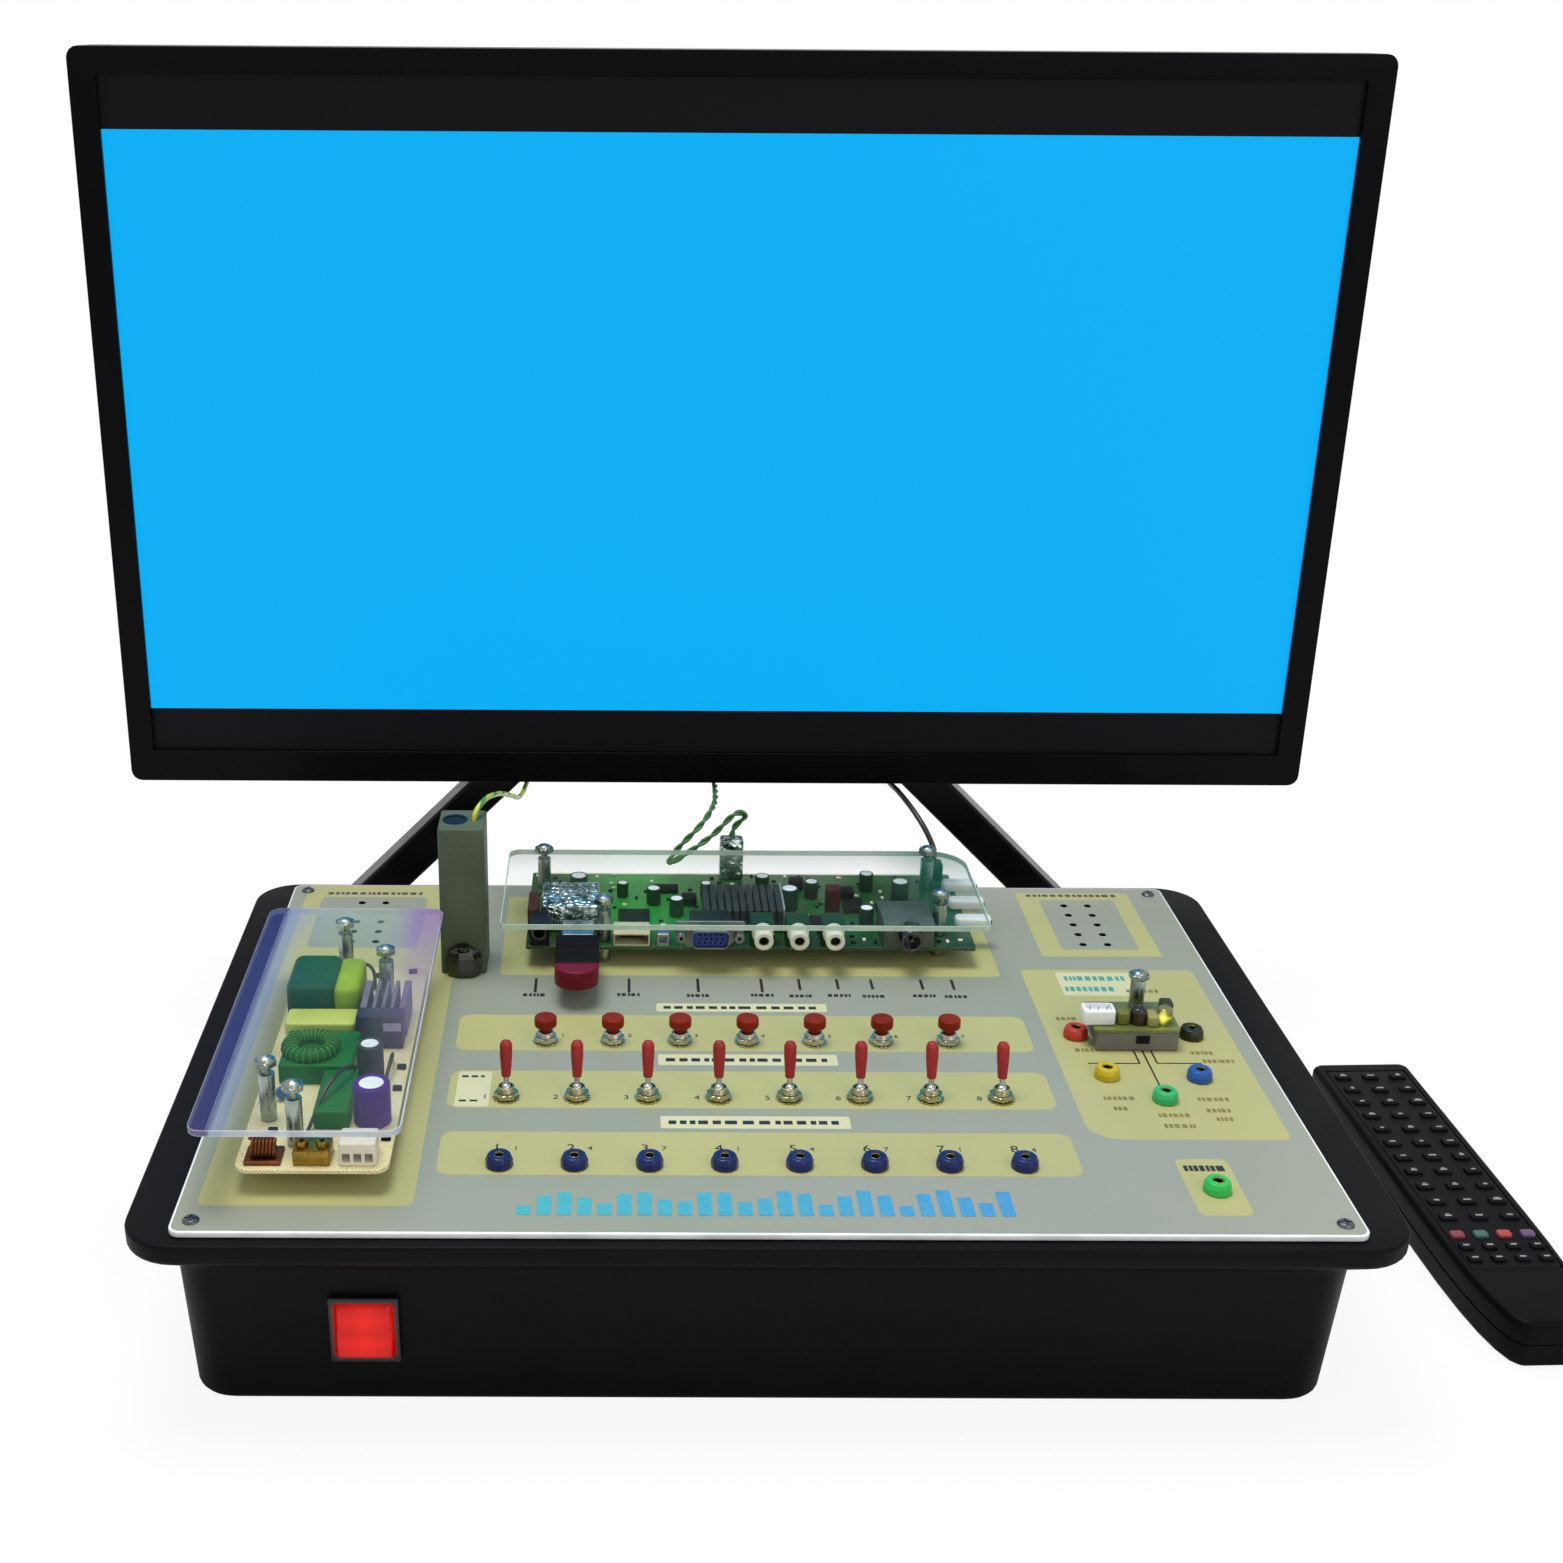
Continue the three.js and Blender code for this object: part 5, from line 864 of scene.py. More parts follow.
small_labels = [
    (129, 138, 13.2, 4), (131.2, 139.2, -13.2, 4), (134, 146.6, -50.6, 6), (136.2, 142, -58.2, 3),
    (152, 164.4, -63, 6), (152.2, 164.2, -70.6, 6), (170, 182.5, -51.2, 6), (171, 180.6, -59.4, 5),
    (173.2, 179.8, -65.6, 4), (177, 186.5, -15.2, 5), (180, 193, -21.8, 7), (164, 178, 38, 6),
]
small = []
for number, (x0, x1, y, count) in enumerate(small_labels, 30):
    small += bars(x0, x1, y, 2.5, count, number)
printed("olive_marks", small, 18, print_olive)
teal = bars(140, 166.5, 48.8, 4.0, 10, 60) + bars(138.5, 160, 39, 4.0, 8, 61)
printed("teal_marks", teal, 18, print_teal)

heights = 5.5 + 11.0 * np.abs(np.sin(np.arange(25) * 0.83)) * np.linspace(0.75, 1, 25)
lefts = np.linspace(-87, 86 - 5.2, 25)
motif = [zone(x, x + 4.9, -129, -129 + h, 0.6) for x, h in zip(lefts, heights)]
printed("title_bars", motif, 18, title_ink)
print("marks", len(marks + lines), len(small), len(teal), "title bars", len(motif))

# %% Plain numbers beside the toggles and above the sockets
def number_mesh(number, x, y, height):
    """A plain number as a flat mesh, centred on x, its foot at y, its digits height tall."""
    writing = bpy.data.curves.new("number", "FONT")
    writing.body, writing.align_x, writing.size = str(number), "CENTER", height * 1.38 * mm
    writing.extrude = 0.02 * mm
    holder = bpy.data.objects.new("number", writing)
    bpy.context.scene.collection.objects.link(holder)
    graph = bpy.context.evaluated_depsgraph_get()
    mesh = bpy.data.meshes.new_from_object(holder.evaluated_get(graph))
    bpy.data.objects.remove(holder)
    mesh.transform(Matrix.Translation((x * mm, y * mm, (panel_top + 0.16) * mm)))
    return mesh


numbers = [number_mesh(k + 1, x - 8.2, -51.5, 3.2) for k, x in enumerate(toggle_x)]
numbers += [number_mesh(k + 1, x - 1.5, -88.0, 4.6) for k, x in enumerate(toggle_x)]
numbers += [number_mesh((3 * k) % 9 + 1, x + 5.5, -87.6, 2.8) for k, x in enumerate(toggle_x)]
numbers += [number_mesh(k + 1, x + 6.8, -2.5, 2.6) for k, x in enumerate(key_x)]
finished("plain_numbers", numbers, print_ink)
print("plain numbers", len(numbers))

# %% Screws at the panel's corners
screw_line = [(0, 79.9), (3.0, 79.9), (3.0, 80.4), (2.2, 81.2), (0, 81.3)]
screw_profile = rounded(screw_line, [0, 0, 0.3, 0.5, 0])
screw_steel = metal("screw_steel", "6c7072", gloss=0.3)
heads = []
for x in (-198, 198):
    for y in (-133, 138):
        body = lathe(screw_profile, (x, y, 0), 28)
        cross = [box(size, (x, y, 81.4)) for size in ((4.2, 0.7, 1.2), (0.7, 4.2, 1.2))]
        heads.append(carved(body, cross))
finished("panel_screws", heads, screw_steel, sharp=30)
print("print layers and screws made")
# %% [markdown]
# ## Push buttons, toggles and sockets
#
# Each control stands in a threaded bushing held by a nut over a toothed washer. A nut is a
# hexagon whose edges were cut off by a cone, so its surface is the smaller of two radii: the
# hexagon's at that angle, and the cone's at that height. Caps, sleeves and sockets are turned.

# %% Nut, washer and thread
def hex_nut(across, height, bore, centre, turn=0.0):
    """r(u, v) = the smaller of hexagon(u) = flat / cos(u within 60 degrees - 30 degrees) and
    cone(v). The last row meets the first in the bore, so the nut is a ring."""
    u = np.linspace(0, 2 * math.pi, 72, endpoint=False)
    flat = across * math.cos(math.pi / 6)
    hexagon = flat / np.cos((u + turn) % (math.pi / 3) - math.pi / 6)
    share = np.array([0, 0, 0.08, 0.2, 0.5, 0.8, 0.92, 1, 1])
    cone = np.array([bore, flat * 0.97, across * 0.965, across * 1.01, across * 1.02,
                     across * 1.01, across * 0.965, flat * 0.97, bore])
    r = np.minimum(hexagon[None, :], cone[:, None])
    r[0], r[-1] = bore, bore
    z = share[:, None] * height + 0 * u
    points = np.stack([r * np.cos(u), r * np.sin(u), z], axis=-1) + np.array(centre)
    return sheet_mesh(np.concatenate([points, points[:1]]) * mm, ends=False)


def toothed_washer(inner, outer, height, centre, teeth=14):
    """A washer whose rim rises and falls: z = height (1 + sin(teeth u)) / 2 at the rim."""
    u = np.linspace(0, 2 * math.pi, teeth * 8, endpoint=False)
    wave = (1 + np.sin(teeth * u)) / 2
    rim = outer * (0.9 + 0.1 * wave)
    bore = inner + 0 * u
    rows = [(bore, 0 * u), (rim, 0 * u + 0.05), (rim, 0.35 + wave * height), (bore, 0 * u + 0.5)]
    points = np.stack([np.stack([r * np.cos(u), r * np.sin(u), z], -1) for r, z in rows])
    points = points + np.array(centre)
    return sheet_mesh(np.concatenate([points, points[:1]]) * mm, ends=False)


def threaded(radius, bore, low, high, depth, centre, pitch=0.7):
    """A bushing with a fine thread: r(v) = radius - 0.16 (1 - cos(2 pi v / pitch)) / 2, then over
    its mouth and down the bore."""
    z = np.arange(low, high - 0.3, pitch / 6)
    r = radius - 0.16 * (1 - np.cos(2 * math.pi * z / pitch)) / 2
    wall_line = np.column_stack([r, z])
    mouth = np.array([(radius - 0.3, high - 0.1), (radius - 0.45, high), (bore + 0.12, high),
                      (bore, high - 0.15), (bore, high - depth), (0.05, high - depth)])
    return lathe(np.vstack([[(0.05, low)], wall_line, mouth]), centre, 32)


nut_metal = metal("nut_metal", "b9bba6", gloss=0.26, scratch=2.0)
nut_metal.clouds(0.9, "8f8a58", "e2e5e0")
toggle_metal = metal("toggle_metal", "a89f66", gloss=0.26, scratch=2.0)
toggle_metal.clouds(0.9, "6e6834", "d8d6b4")
strip_board = plastic("strip_board", "2b6b3a", gloss=0.4)
print("controls have", len(key_x), "buttons and", len(toggle_x), "toggles")

# %% Push buttons
button_red = plastic("button_red", "7c2209", gloss=0.34, gleam=0.1, grain=2.0, depth=0.02, dust=0.2)
nuts = []
for x in key_x:
    nuts.append(toothed_washer(3.3, 5.2, 0.35, (x, key_y, 80.2)))
    nuts.append(hex_nut(4.7, 2.0, 3.05, (x, key_y, 80.9), turn=0.35 + x * 0.05))
    nuts.append(threaded(3.4, 2.4, 68.5, 85.0, 6.3, (x, key_y, 0)))
keypad = finished("button_bushings", nuts, nut_metal, sharp=28)
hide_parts("keypad_board")
bodies = [block((12, 12, 9.6), (x, key_y, 73.0), 0.8, 0.5) for x in key_x]
finished("button_bodies", bodies, black_plastic)
strip = block((186, 22, 1.6), (0, key_y, 67.7), 1, 0.1)
finished("button_strip", strip, strip_board)

cap_profile = rounded(
    [(0.02, 83.0), (2.1, 83.0), (2.1, 87.5), (4.4, 87.5), (4.55, 88.4), (4.45, 91.4), (0.02, 91.7)],
    [0, 0.3, 0.3, 0.3, 0.6, 0.8, 0], 6,
)
for number, x in enumerate(key_x, 1):
    mesh = lathe(cap_profile, (x, key_y, 0), 48)
    cap = finished(f"button_{number}", mesh, button_red, f"key_cap_{number}", sharp=60)
    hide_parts(f"key_cap_{number}")
print("push buttons made")

# %% Toggle switches
sleeve_red = plastic("sleeve_red", "981a1c", gloss=0.4, grain=1.8, depth=0.05, dust=0.2)
nuts = []
for x in toggle_x:
    nuts.append(toothed_washer(3.1, 5.3, 0.35, (x, toggle_y, 80.2)))
    nuts.append(hex_nut(4.8, 2.0, 2.9, (x, toggle_y, 80.9), turn=0.2 + x * 0.07))
    nuts.append(threaded(3.2, 2.5, 68.5, 85.5, 3.7, (x, toggle_y, 0)))
toggles = finished("toggle_bushings", nuts, toggle_metal, sharp=28)
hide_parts("toggle_board")
bodies = [block((8, 12.7, 10.2), (x, toggle_y, 72.5), 0.8, 0.5) for x in toggle_x]
finished("toggle_bodies", bodies, steel)
strip = block((213, 22, 1.6), (0, toggle_y, 66.7), 1, 0.1)
finished("toggle_strip", strip, strip_board)

ball_turn = np.linspace(0, math.pi - math.asin(0.5), 12)
ball = np.column_stack([2.2 * np.sin(ball_turn) + 0.01, -2.2 * np.cos(ball_turn)])
rod_profile = np.vstack([ball, [(1.1, 5.2), (0.02, 5.2)]])
sleeve_profile = rounded(
    [(0.02, 4.5), (1.75, 4.5), (1.95, 7.0), (2.38, 13.0), (2.4, 17.2), (1.5, 18.75), (0.02, 19.0)],
    [0, 0.4, 4, 6, 1.6, 0.8, 0], 6,
)
lean = Matrix.Rotation(math.radians(-12.5), 4, "X")
for number, x in enumerate(toggle_x, 1):
    place = Matrix.Translation((x * mm, toggle_y * mm, 84.3 * mm)) @ lean
    sleeve_mesh = lathe(sleeve_profile, sides=40)
    rod_mesh = lathe(rod_profile, sides=24)
    for mesh in (sleeve_mesh, rod_mesh):
        mesh.transform(place)
    body = f"toggle_lever_{number}"
    sleeve = finished(f"toggle_sleeve_{number}", sleeve_mesh, sleeve_red, body, sharp=60)
    finished(f"toggle_rod_{number}", rod_mesh, nickel, body)
    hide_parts(body)
print("toggle switches made")

# %% Sockets for test leads
head_profile = rounded(
    [(0.9, 68.3), (3.6, 68.3), (3.6, 80.3), (5.0, 80.3), (5.0, 82.6), (4.1, 84.6), (2.2, 84.8),
     (2.0, 84.3), (2.0, 73)],
    [0, 0, 0, 0.3, 0.9, 0.8, 0.25, 0.2, 0], 4,
)


def socket_mesh(x, y, flutes=10):
    """A turned head with shallow finger flutes: r = r(v) (1 - f(v) (1 - cos(flutes u)) / 2), where
    f is 0.05 on the head's side and 0 elsewhere."""
    mesh = lathe(head_profile, (x, y, 0), 80)
    co = np.zeros(len(mesh.vertices) * 3)
    mesh.vertices.foreach_get("co", co)
    co = co.reshape(-1, 3)
    off = co[:, :2] - np.array([x, y]) * mm
    side = np.clip((co[:, 2] / mm - 80.4) / 0.6, 0, 1) * np.clip((84.6 - co[:, 2] / mm) / 1.2, 0, 1)
    grip = 1 - 0.05 * side * (1 - np.cos(flutes * np.arctan2(off[:, 1], off[:, 0]))) / 2
    outer_part = np.hypot(off[:, 0], off[:, 1]) > 3.0 * mm
    off = off * np.where(outer_part, grip, 1.0)[:, None]
    co[:, :2] = off + np.array([x, y]) * mm
    mesh.vertices.foreach_set("co", co.ravel())
    return mesh


def contact_mesh(x, y):
    """The metal sleeve inside a socket, which shows as a thin bright ring."""
    profile = [(1.99, 73.2), (1.99, 84.35), (1.75, 84.5), (1.6, 84.35), (1.6, 73.4), (0.02, 73.4)]
    return lathe(profile, (x, y, 0), 32)


def glossy_socket(name, colour):
    """Shiny thermoplastic: the colour deepens in clouds, and the gloss is even."""
    return plastic(name, colour, gloss=0.26, grain=1.4, depth=0.02, dust=0.14, coat=0.1, gleam=0.25)


socket_navy = glossy_socket("socket_navy", "14225a")
row = [socket_mesh(x, test_y) for x in toggle_x]
tests = finished("test_sockets", row, socket_navy, sharp=45)
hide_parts("test_socket_board")
strip = block((213, 22, 1.6), (0, test_y, 69.1), 1, 0.1)
finished("test_strip", strip, strip_board)
finished("socket_contacts", [contact_mesh(*p) for p in socket_places], brass_worn)

socket_colours = {
    "red": "b83526", "black": "26280f", "yellow": "c2a91a", "green": "2fae64", "blue": "2456a4",
}
for name, place in sensor_sockets.items():
    mesh = socket_mesh(*place)
    finish = glossy_socket(f"socket_{name}", socket_colours[name])
    piece = finished(f"sensor_socket_{name}", mesh, finish, sharp=45)
    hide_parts("sensor_socket_board")
board = block((65, 64, 1.6), (157.2, -25.5, 69.1), 1, 0.1)
finished("sensor_strip", board, strip_board)
power = finished("power_lead_socket", socket_mesh(*power_place),
                 glossy_socket("socket_leaf", "2fb954"), sharp=45)
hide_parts("power_socket")
print("controls made")
# %% [markdown]
# ## Television and stand
#
# The television's shapes are true in the source: a frame round a flat screen, a back cover with a
# raised part, a hub and two square tubes that spread to the table. What they lack is the small
# roundness that every moulded or welded edge has, so a copy of each is merged, its flat faces
# joined, and its edges rounded with a Bevel modifier.

# %% Rounded copies of the source's own shapes
def rounded_copy(name, node, finish, width, steps=3, angle=25):
    """A copy of a packed node: doubles merged, flat faces joined, edges rounded by a bevel."""
    work = bmesh.new()
    work.from_mesh(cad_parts[node].data)
    bmesh.ops.remove_doubles(work, verts=work.verts, dist=1e-6)
    bmesh.ops.dissolve_limit(work, angle_limit=math.radians(1), verts=work.verts, edges=work.edges)
    mesh = bpy.data.meshes.new(name)
    work.to_mesh(mesh)
    work.free()
    piece = finished(name, mesh, finish, sharp=angle)
    edge = piece.modifiers.new("round_edges", "BEVEL")
    edge.width, edge.segments, edge.limit_method = width * mm, steps, "ANGLE"
    edge.angle_limit, edge.harden_normals = math.radians(angle), True
    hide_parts(node)

# %% [markdown]
# The screen glows between two dark bars. The glow is held to its front face, because the packed
# screen is one closed slab, and light from its back would show through the vents.

# %% Screen, lit between two dark bars
lit_low, lit_high, lit_depth = 161.4, 419.0, 0.8
screen_glass = Finish("screen_glass", specular_ior_level=0.08)
_, screen_y, screen_z = screen_glass.axes()
screen_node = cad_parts["tv_screen_panel"]
screen_front = min((screen_node.matrix_world @ v.co).y for v in screen_node.data.vertices) / mm
lit = (screen_z > lit_low) * (screen_z < lit_high) * (screen_y < screen_front + lit_depth)
shade = screen_glass.noise(0.008, detail=2)
blue = screen_glass.mix(shade * 0.5, ink("02aef4"), ink("03b0f5"))
screen_glass.set(emission_color=screen_glass.mix(lit, ink("08080a"), blue))
screen_glass.set(base_color=screen_glass.mix(lit, ink("050507"), ink("010203")))
screen_glass.set(roughness=0.4 + shade * 0.1, emission_strength=1.0)
rounded_copy("screen_panel", "tv_screen_panel", screen_glass, 0.4)

bezel_black = plastic("bezel_black", "0b0a0d", gloss=0.26, grain=2.0, depth=0.01, dust=0.12, gleam=0.06)
# The frame's top edge, from 436 to 452 mm up, is painted a touch lighter and more violet: a painted
# sheen.
sheen = bezel_black.axes()[2]
painted_top_sheen = bezel_black.spread(sheen, 436, 452)
bezel_black.set(base_color=bezel_black.mix(painted_top_sheen, ink("060608"), ink("0a080c")))
rounded_copy("screen_frame", "tv_front_bezel", bezel_black, 0.9)
back_black = plastic("back_black", "121215", gloss=0.5, grain=0.9, depth=0.09, dust=0.16, gleam=0.25)
rounded_copy("back_cover", "tv_back_cover", back_black, 0.7)
driver_green = plastic("driver_green", "1f6b39", gloss=0.4)
dress(driver_green, "tv_driver_board")
print("screen front at y", round(screen_front, 1), "mm")

# %% Stand
rounded_copy("hub_plate", "stand_hub", stand_steel, 0.8)
for part in ("leg_left", "leg_right", "foot_left", "foot_right"):
    rounded_copy(part, "stand_" + part, stand_steel, 1.6, steps=4)
bolt_heads, bolt_line = [], [(0.02, 0), (5.2, 0), (5.2, 0.6), (4.2, 2.6), (0.02, 3.4)]
to_the_back = Matrix.Rotation(-math.pi / 2, 4, "X")
for x in (-34, 22):
    for z in (174, 242):
        head = lathe(bolt_line, sides=28)
        head.transform(Matrix.Translation((x * mm, 206.9 * mm, z * mm)) @ to_the_back)
        bolt_heads.append(head)
finished("hub_bolts", bolt_heads, screw_steel, sharp=30)
end_caps = []
for x in (-213, 201):
    for y in (153, 271):
        sunk = math.copysign(0.55, y - 200)
        end_caps.append(block((15.6, 1.2, 15.6), (x, y - sunk, 9), 0.3, 0.4))
finished("foot_caps", end_caps, black_plastic)
print("television and stand made")

# %% [markdown]
# ## Duct, loudspeakers, mains switch and inlet
#
# The duct is a square painted column, bored along its length, with two round holes in its closed
# top. It is a stack with holes cut in it. The mains switch is lit from inside, so its rocker gives
# out light, most in the middle of each half, and a little of it falls on the frame.

# %% Cable duct
duct_x, duct_y = -118.3, 64
wide_hole_x = duct_x - 3
duct_paint = plastic("duct_paint", "525d4a", gloss=0.5, grain=0.9, depth=0.05, dust=0.2, gleam=0.12)
column = block((19.5, 22, 67), (duct_x, duct_y, 113.8), 1.4, 0.7)
bore = box((15.5, 18, 70), (duct_x, duct_y, 110.3))
wide_hole = lathe([(0.02, 140), (4.6, 140), (4.6, 150), (0.02, 150)], (wide_hole_x, duct_y, 0), 40)
wire_hole = lathe([(0.02, 140), (1.5, 140), (1.5, 150), (0.02, 150)], (-113.4, 63.5, 0), 24)
duct_mesh = carved(column, [bore, wide_hole, wire_hole])
duct = finished("duct_column", duct_mesh, duct_paint, sharp=30)
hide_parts("cable_duct")
lip_line = rounded([(4.1, 145.4), (4.1, 147.7), (5.4, 147.7), (5.4, 147.3), (4.6, 147.3)], 0.2, 2)
finished("duct_lip", lathe(lip_line, (wide_hole_x, duct_y, 0), 40), black_plastic)
dark_fitting = metal("dark_fitting", "5d5f5a", gloss=0.2, scratch=1.2)
clamp_points = [(0.02, 80.3), (7.2, 80.3), (7.9, 84), (7.9, 89), (6.2, 92), (3.4, 93.4), (0.02, 93.6)]
clamp_line = rounded(clamp_points, [0, 0.5, 1.4, 1.6, 1.5, 1.5, 0], 4)
clamp_body = lathe(clamp_line, (duct_x, 0, 0), 7)
squeeze = Matrix.Translation((0, 52.2 * mm, 0)) @ Matrix.Diagonal((1, 0.6, 1, 1))
clamp_body.transform(squeeze)
clamp_nut = hex_nut(3.4, 1.6, 1.0, (duct_x, 50.2, 93.2), 0.3)
finished("duct_foot", [clamp_body, clamp_nut], dark_fitting, sharp=28)
print("duct at", duct_x, duct_y)

# %% Loudspeakers under the sound holes
speaker_steel = metal("speaker_steel", "55585c", gloss=0.42)
speaker_paper = plastic("speaker_paper", "1b1b1d", gloss=0.7, grain=0.6, depth=0.12)
basket = [
    (0.02, 62.5), (13, 62.5), (13, 69.5), (15, 70), (23.1, 75), (25, 75), (25, 77.5), (21.5, 77.5),
    (21.5, 76.6), (8, 70.6), (0.02, 70.6),
]
cone = [(21.6, 76.9), (20.6, 77.3), (19.4, 76.6), (8, 71.6), (6.6, 71.4), (4, 73.0), (0.02, 73.6)]
for side, x, node in (("left", -165.5, "speaker_left"), ("right", 161, "speaker_right")):
    frame_mesh = lathe(basket, (x, speaker_y, 0), 64)
    piece = finished(f"speaker_basket_{side}", frame_mesh, speaker_steel, sharp=30)
    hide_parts(node)
    profile = rounded(cone, [0, 0.5, 0.5, 0, 1, 1, 0]).tolist() + [(0.02, 70.9), (8, 71), (21.2, 76.2)]
    cone_mesh = lathe(profile, (x, speaker_y, 0), 64)
    finished(f"speaker_cone_{side}", cone_mesh, speaker_paper, sharp=60)

sleeve_line = [(1.69, 77.9), (1.69, 80.07), (1.45, 80.07), (1.45, 77.9), (1.69, 77.9)]
liners = [lathe(sleeve_line, (x, y, 0), 16, ends=False) for x in sound_x for y in sound_y]
finished("sound_hole_liners", liners, black_plastic, sharp=50)
print("sound holes", len(liners))

# %% Mains switch with its lit rocker
draft = math.radians(3.094)
wall_place = Matrix.Translation((switch_x * mm, -129.09 * mm, switch_z * mm))
wall_tilt = wall_place @ Matrix.Rotation(draft, 4, "X")
switch_black = plastic("switch_black", "101012", gloss=0.3)
here_x, _, here_z = switch_black.axes()
off_x = ((here_x - switch_x).size() - 9.6).maximum(0.0)
off_z = ((here_z - switch_z).size() - 10.6).maximum(0.0)
spill = switch_black.spread(off_x + off_z, 0.0, 2.6, 1.0, 0.0)
switch_black.set(emission_color=switch_black.mix(spill * spill, (0, 0, 0, 1), ink("c01008")))
switch_black.set(emission_strength=0.85)
rounded_copy("switch_frame", "power_switch_frame", switch_black, 0.8)

u, v = np.meshgrid(np.linspace(-1, 1, 25), np.linspace(-1, 1, 33))
half_w, half_h = 9.7, 10.3
bend = -2.5 + 1.2 * (1 - np.abs(v)) ** 1.15
near_side, near_end = np.clip((np.abs(u) - 0.88) / 0.12, 0, 1), np.clip((np.abs(v) - 0.9) / 0.1, 0, 1)
round_off = 0.9 * (near_side ** 2 + near_end ** 2)
front = np.stack([half_w * u, bend + round_off, half_h * v], axis=-1)
edge = np.concatenate([front[0, :-1], front[:-1, -1], front[-1, :0:-1], front[:0:-1, 0]])
back_edge = edge * [0.97, 0, 0.86] + [0, 2.5, 0]
face_mesh = sheet_mesh(front * mm, wrap=False, ends=False)
side_mesh = sheet_mesh(np.stack([edge, back_edge]) * mm, ends=False)
back_mesh = bpy.data.meshes.new("rocker")
back_mesh.from_pydata((back_edge * mm).tolist(), [], [list(range(len(back_edge)))])
rocker_mesh = joined([face_mesh, side_mesh, back_mesh])
merge = bmesh.new()
merge.from_mesh(rocker_mesh)
bmesh.ops.remove_doubles(merge, verts=merge.verts, dist=1e-6)
bmesh.ops.recalc_face_normals(merge, faces=merge.faces)
merge.to_mesh(rocker_mesh)
merge.free()
seat = Matrix.Translation((0, -1.4 * mm, 0)) @ Matrix.Rotation(math.radians(-7), 4, "X")
rocker_mesh.transform(wall_tilt @ seat)
rocker_lit = Finish("rocker_lit", roughness=0.3, specular_ior_level=0.25)
rx, _, rz = rocker_lit.axes()
from_middle = ((rx - switch_x) / 9.7).size()
height_in = (rz - 33.0) / 10.5
two_lobes = (height_in.size() - 0.4).size()
fall = rocker_lit.spread(from_middle * 0.45 + two_lobes * 0.75, 0.05, 0.85, 0.0, 1.0)
rocker_lit.set(base_color=rocker_lit.mix(fall, ink("7c0d07"), ink("5a0604")))
rocker_lit.set(emission_color=rocker_lit.mix(fall, ink("ee1c10"), ink("b60b08")))
rocker_lit.set(emission_strength=0.78)
rocker_lit.bump(rocker_lit.noise(0.8), 0.1, 0.05)
rocker = finished("rocker", rocker_mesh, rocker_lit, "power_rocker", sharp=50)
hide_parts("power_rocker")
print("rocker faces", len(rocker_mesh.polygons))

# %% Mains inlet in the back wall
rounded_copy("inlet_shell", "mains_inlet", black_plastic, 0.6)
inlet_middle = Matrix.Translation([v * mm for v in inlet_place])
pin_place = inlet_middle @ Matrix.Rotation(-draft, 4, "X")
pins = []
for x, z in ((-7, -3.5), (7, -3.5), (0, 3.5)):
    pin = block((2.1, 8.2, 4.1), (x, -8.3, z), 0.6, 0.5)
    pin.transform(pin_place)
    pins.append(pin)
finished("inlet_pins", pins, nickel)
print("duct, loudspeakers, switch and inlet made")
# %% [markdown]
# ## Remote control
#
# A slim black case that narrows to a bare palm end, with eleven rows of three keys and three rows
# of four small ones. Both halves are lofts of one outline that is drawn in at the long edges. The
# keys stand on one rubber mat in a pocket of the upper half. Their printed signs are small pale
# bars, because the real ones can't be read.

# %% Remote outline and case
remote_turn = Matrix.Rotation(math.radians(2), 4, "Z")
remote_place = Matrix.Translation((291.3 * mm, -10.5 * mm, 0)) @ remote_turn


def remote_ring(inset):
    """The case's outline drawn in by inset: two round far corners, straight sides, then a
    quadratic curve to the narrow near end: (1 - t)^2 a + 2 t (1 - t) b + t^2 c."""
    half, far, near = 22 - inset, 96.5 - inset, -96.5 + inset
    start, end_half = near + 71.4, 11.5 - inset / 2
    t = np.linspace(0, 1, 7)[:, None]
    bent = 2 * t * (1 - t) * [-half, near + 4]
    left = (1 - t) ** 2 * [-half, start] + bent + t ** 2 * [-end_half, near]
    mirrored = (left * [-1, 1])[::-1]
    corners = np.vstack([[[half, far]], [[-half, far]], left, mirrored])
    radii = np.zeros(len(corners))
    radii[[0, 1]] = 4 - inset * 0.4
    radii[[8, 9]] = 4.5 - inset * 0.5
    return rounded(corners, radii, 6, closed=True)


def case_loft(levels):
    """Outlines one above the other: each level is (inset, height)."""
    rows = []
    for inset, height in levels:
        flat = remote_ring(inset)
        rows.append(np.column_stack([flat, np.full(len(flat), height)]))
    return sheet_mesh(np.array(rows) * mm)


quarter = np.linspace(0, math.pi / 2, 7)
low_edge = [(2.5 * (1 - math.sin(a)), 3 * (1 - math.cos(a))) for a in quarter]
high_edge = [(2.5 * (1 - math.cos(a)), 16.7 + 3 * math.sin(a)) for a in quarter]
lower_mesh = case_loft(low_edge + [(0, 9.6), (0.25, 10.0)])
lower_mesh.transform(remote_place)
remote_black = plastic(
    "remote_black", "070708", gloss=0.44, grain=1.3, depth=0.03, dust=0.16, gleam=0.05,
)
lower = finished("remote_lower", lower_mesh, remote_black, "remote", sharp=30)
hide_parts("remote_case_lower")
upper_mesh = case_loft([(0.25, 10.3), (0, 10.7)] + high_edge)
pocket = box((36.2, 151.2, 12), (0, 13.4, 19.7))
upper_mesh = carved(upper_mesh, [pocket])
upper_mesh.transform(remote_place)
upper = finished("remote_upper", upper_mesh, remote_black, "remote", sharp=30)
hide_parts("remote_case_upper")
print("remote case faces", len(upper_mesh.polygons))

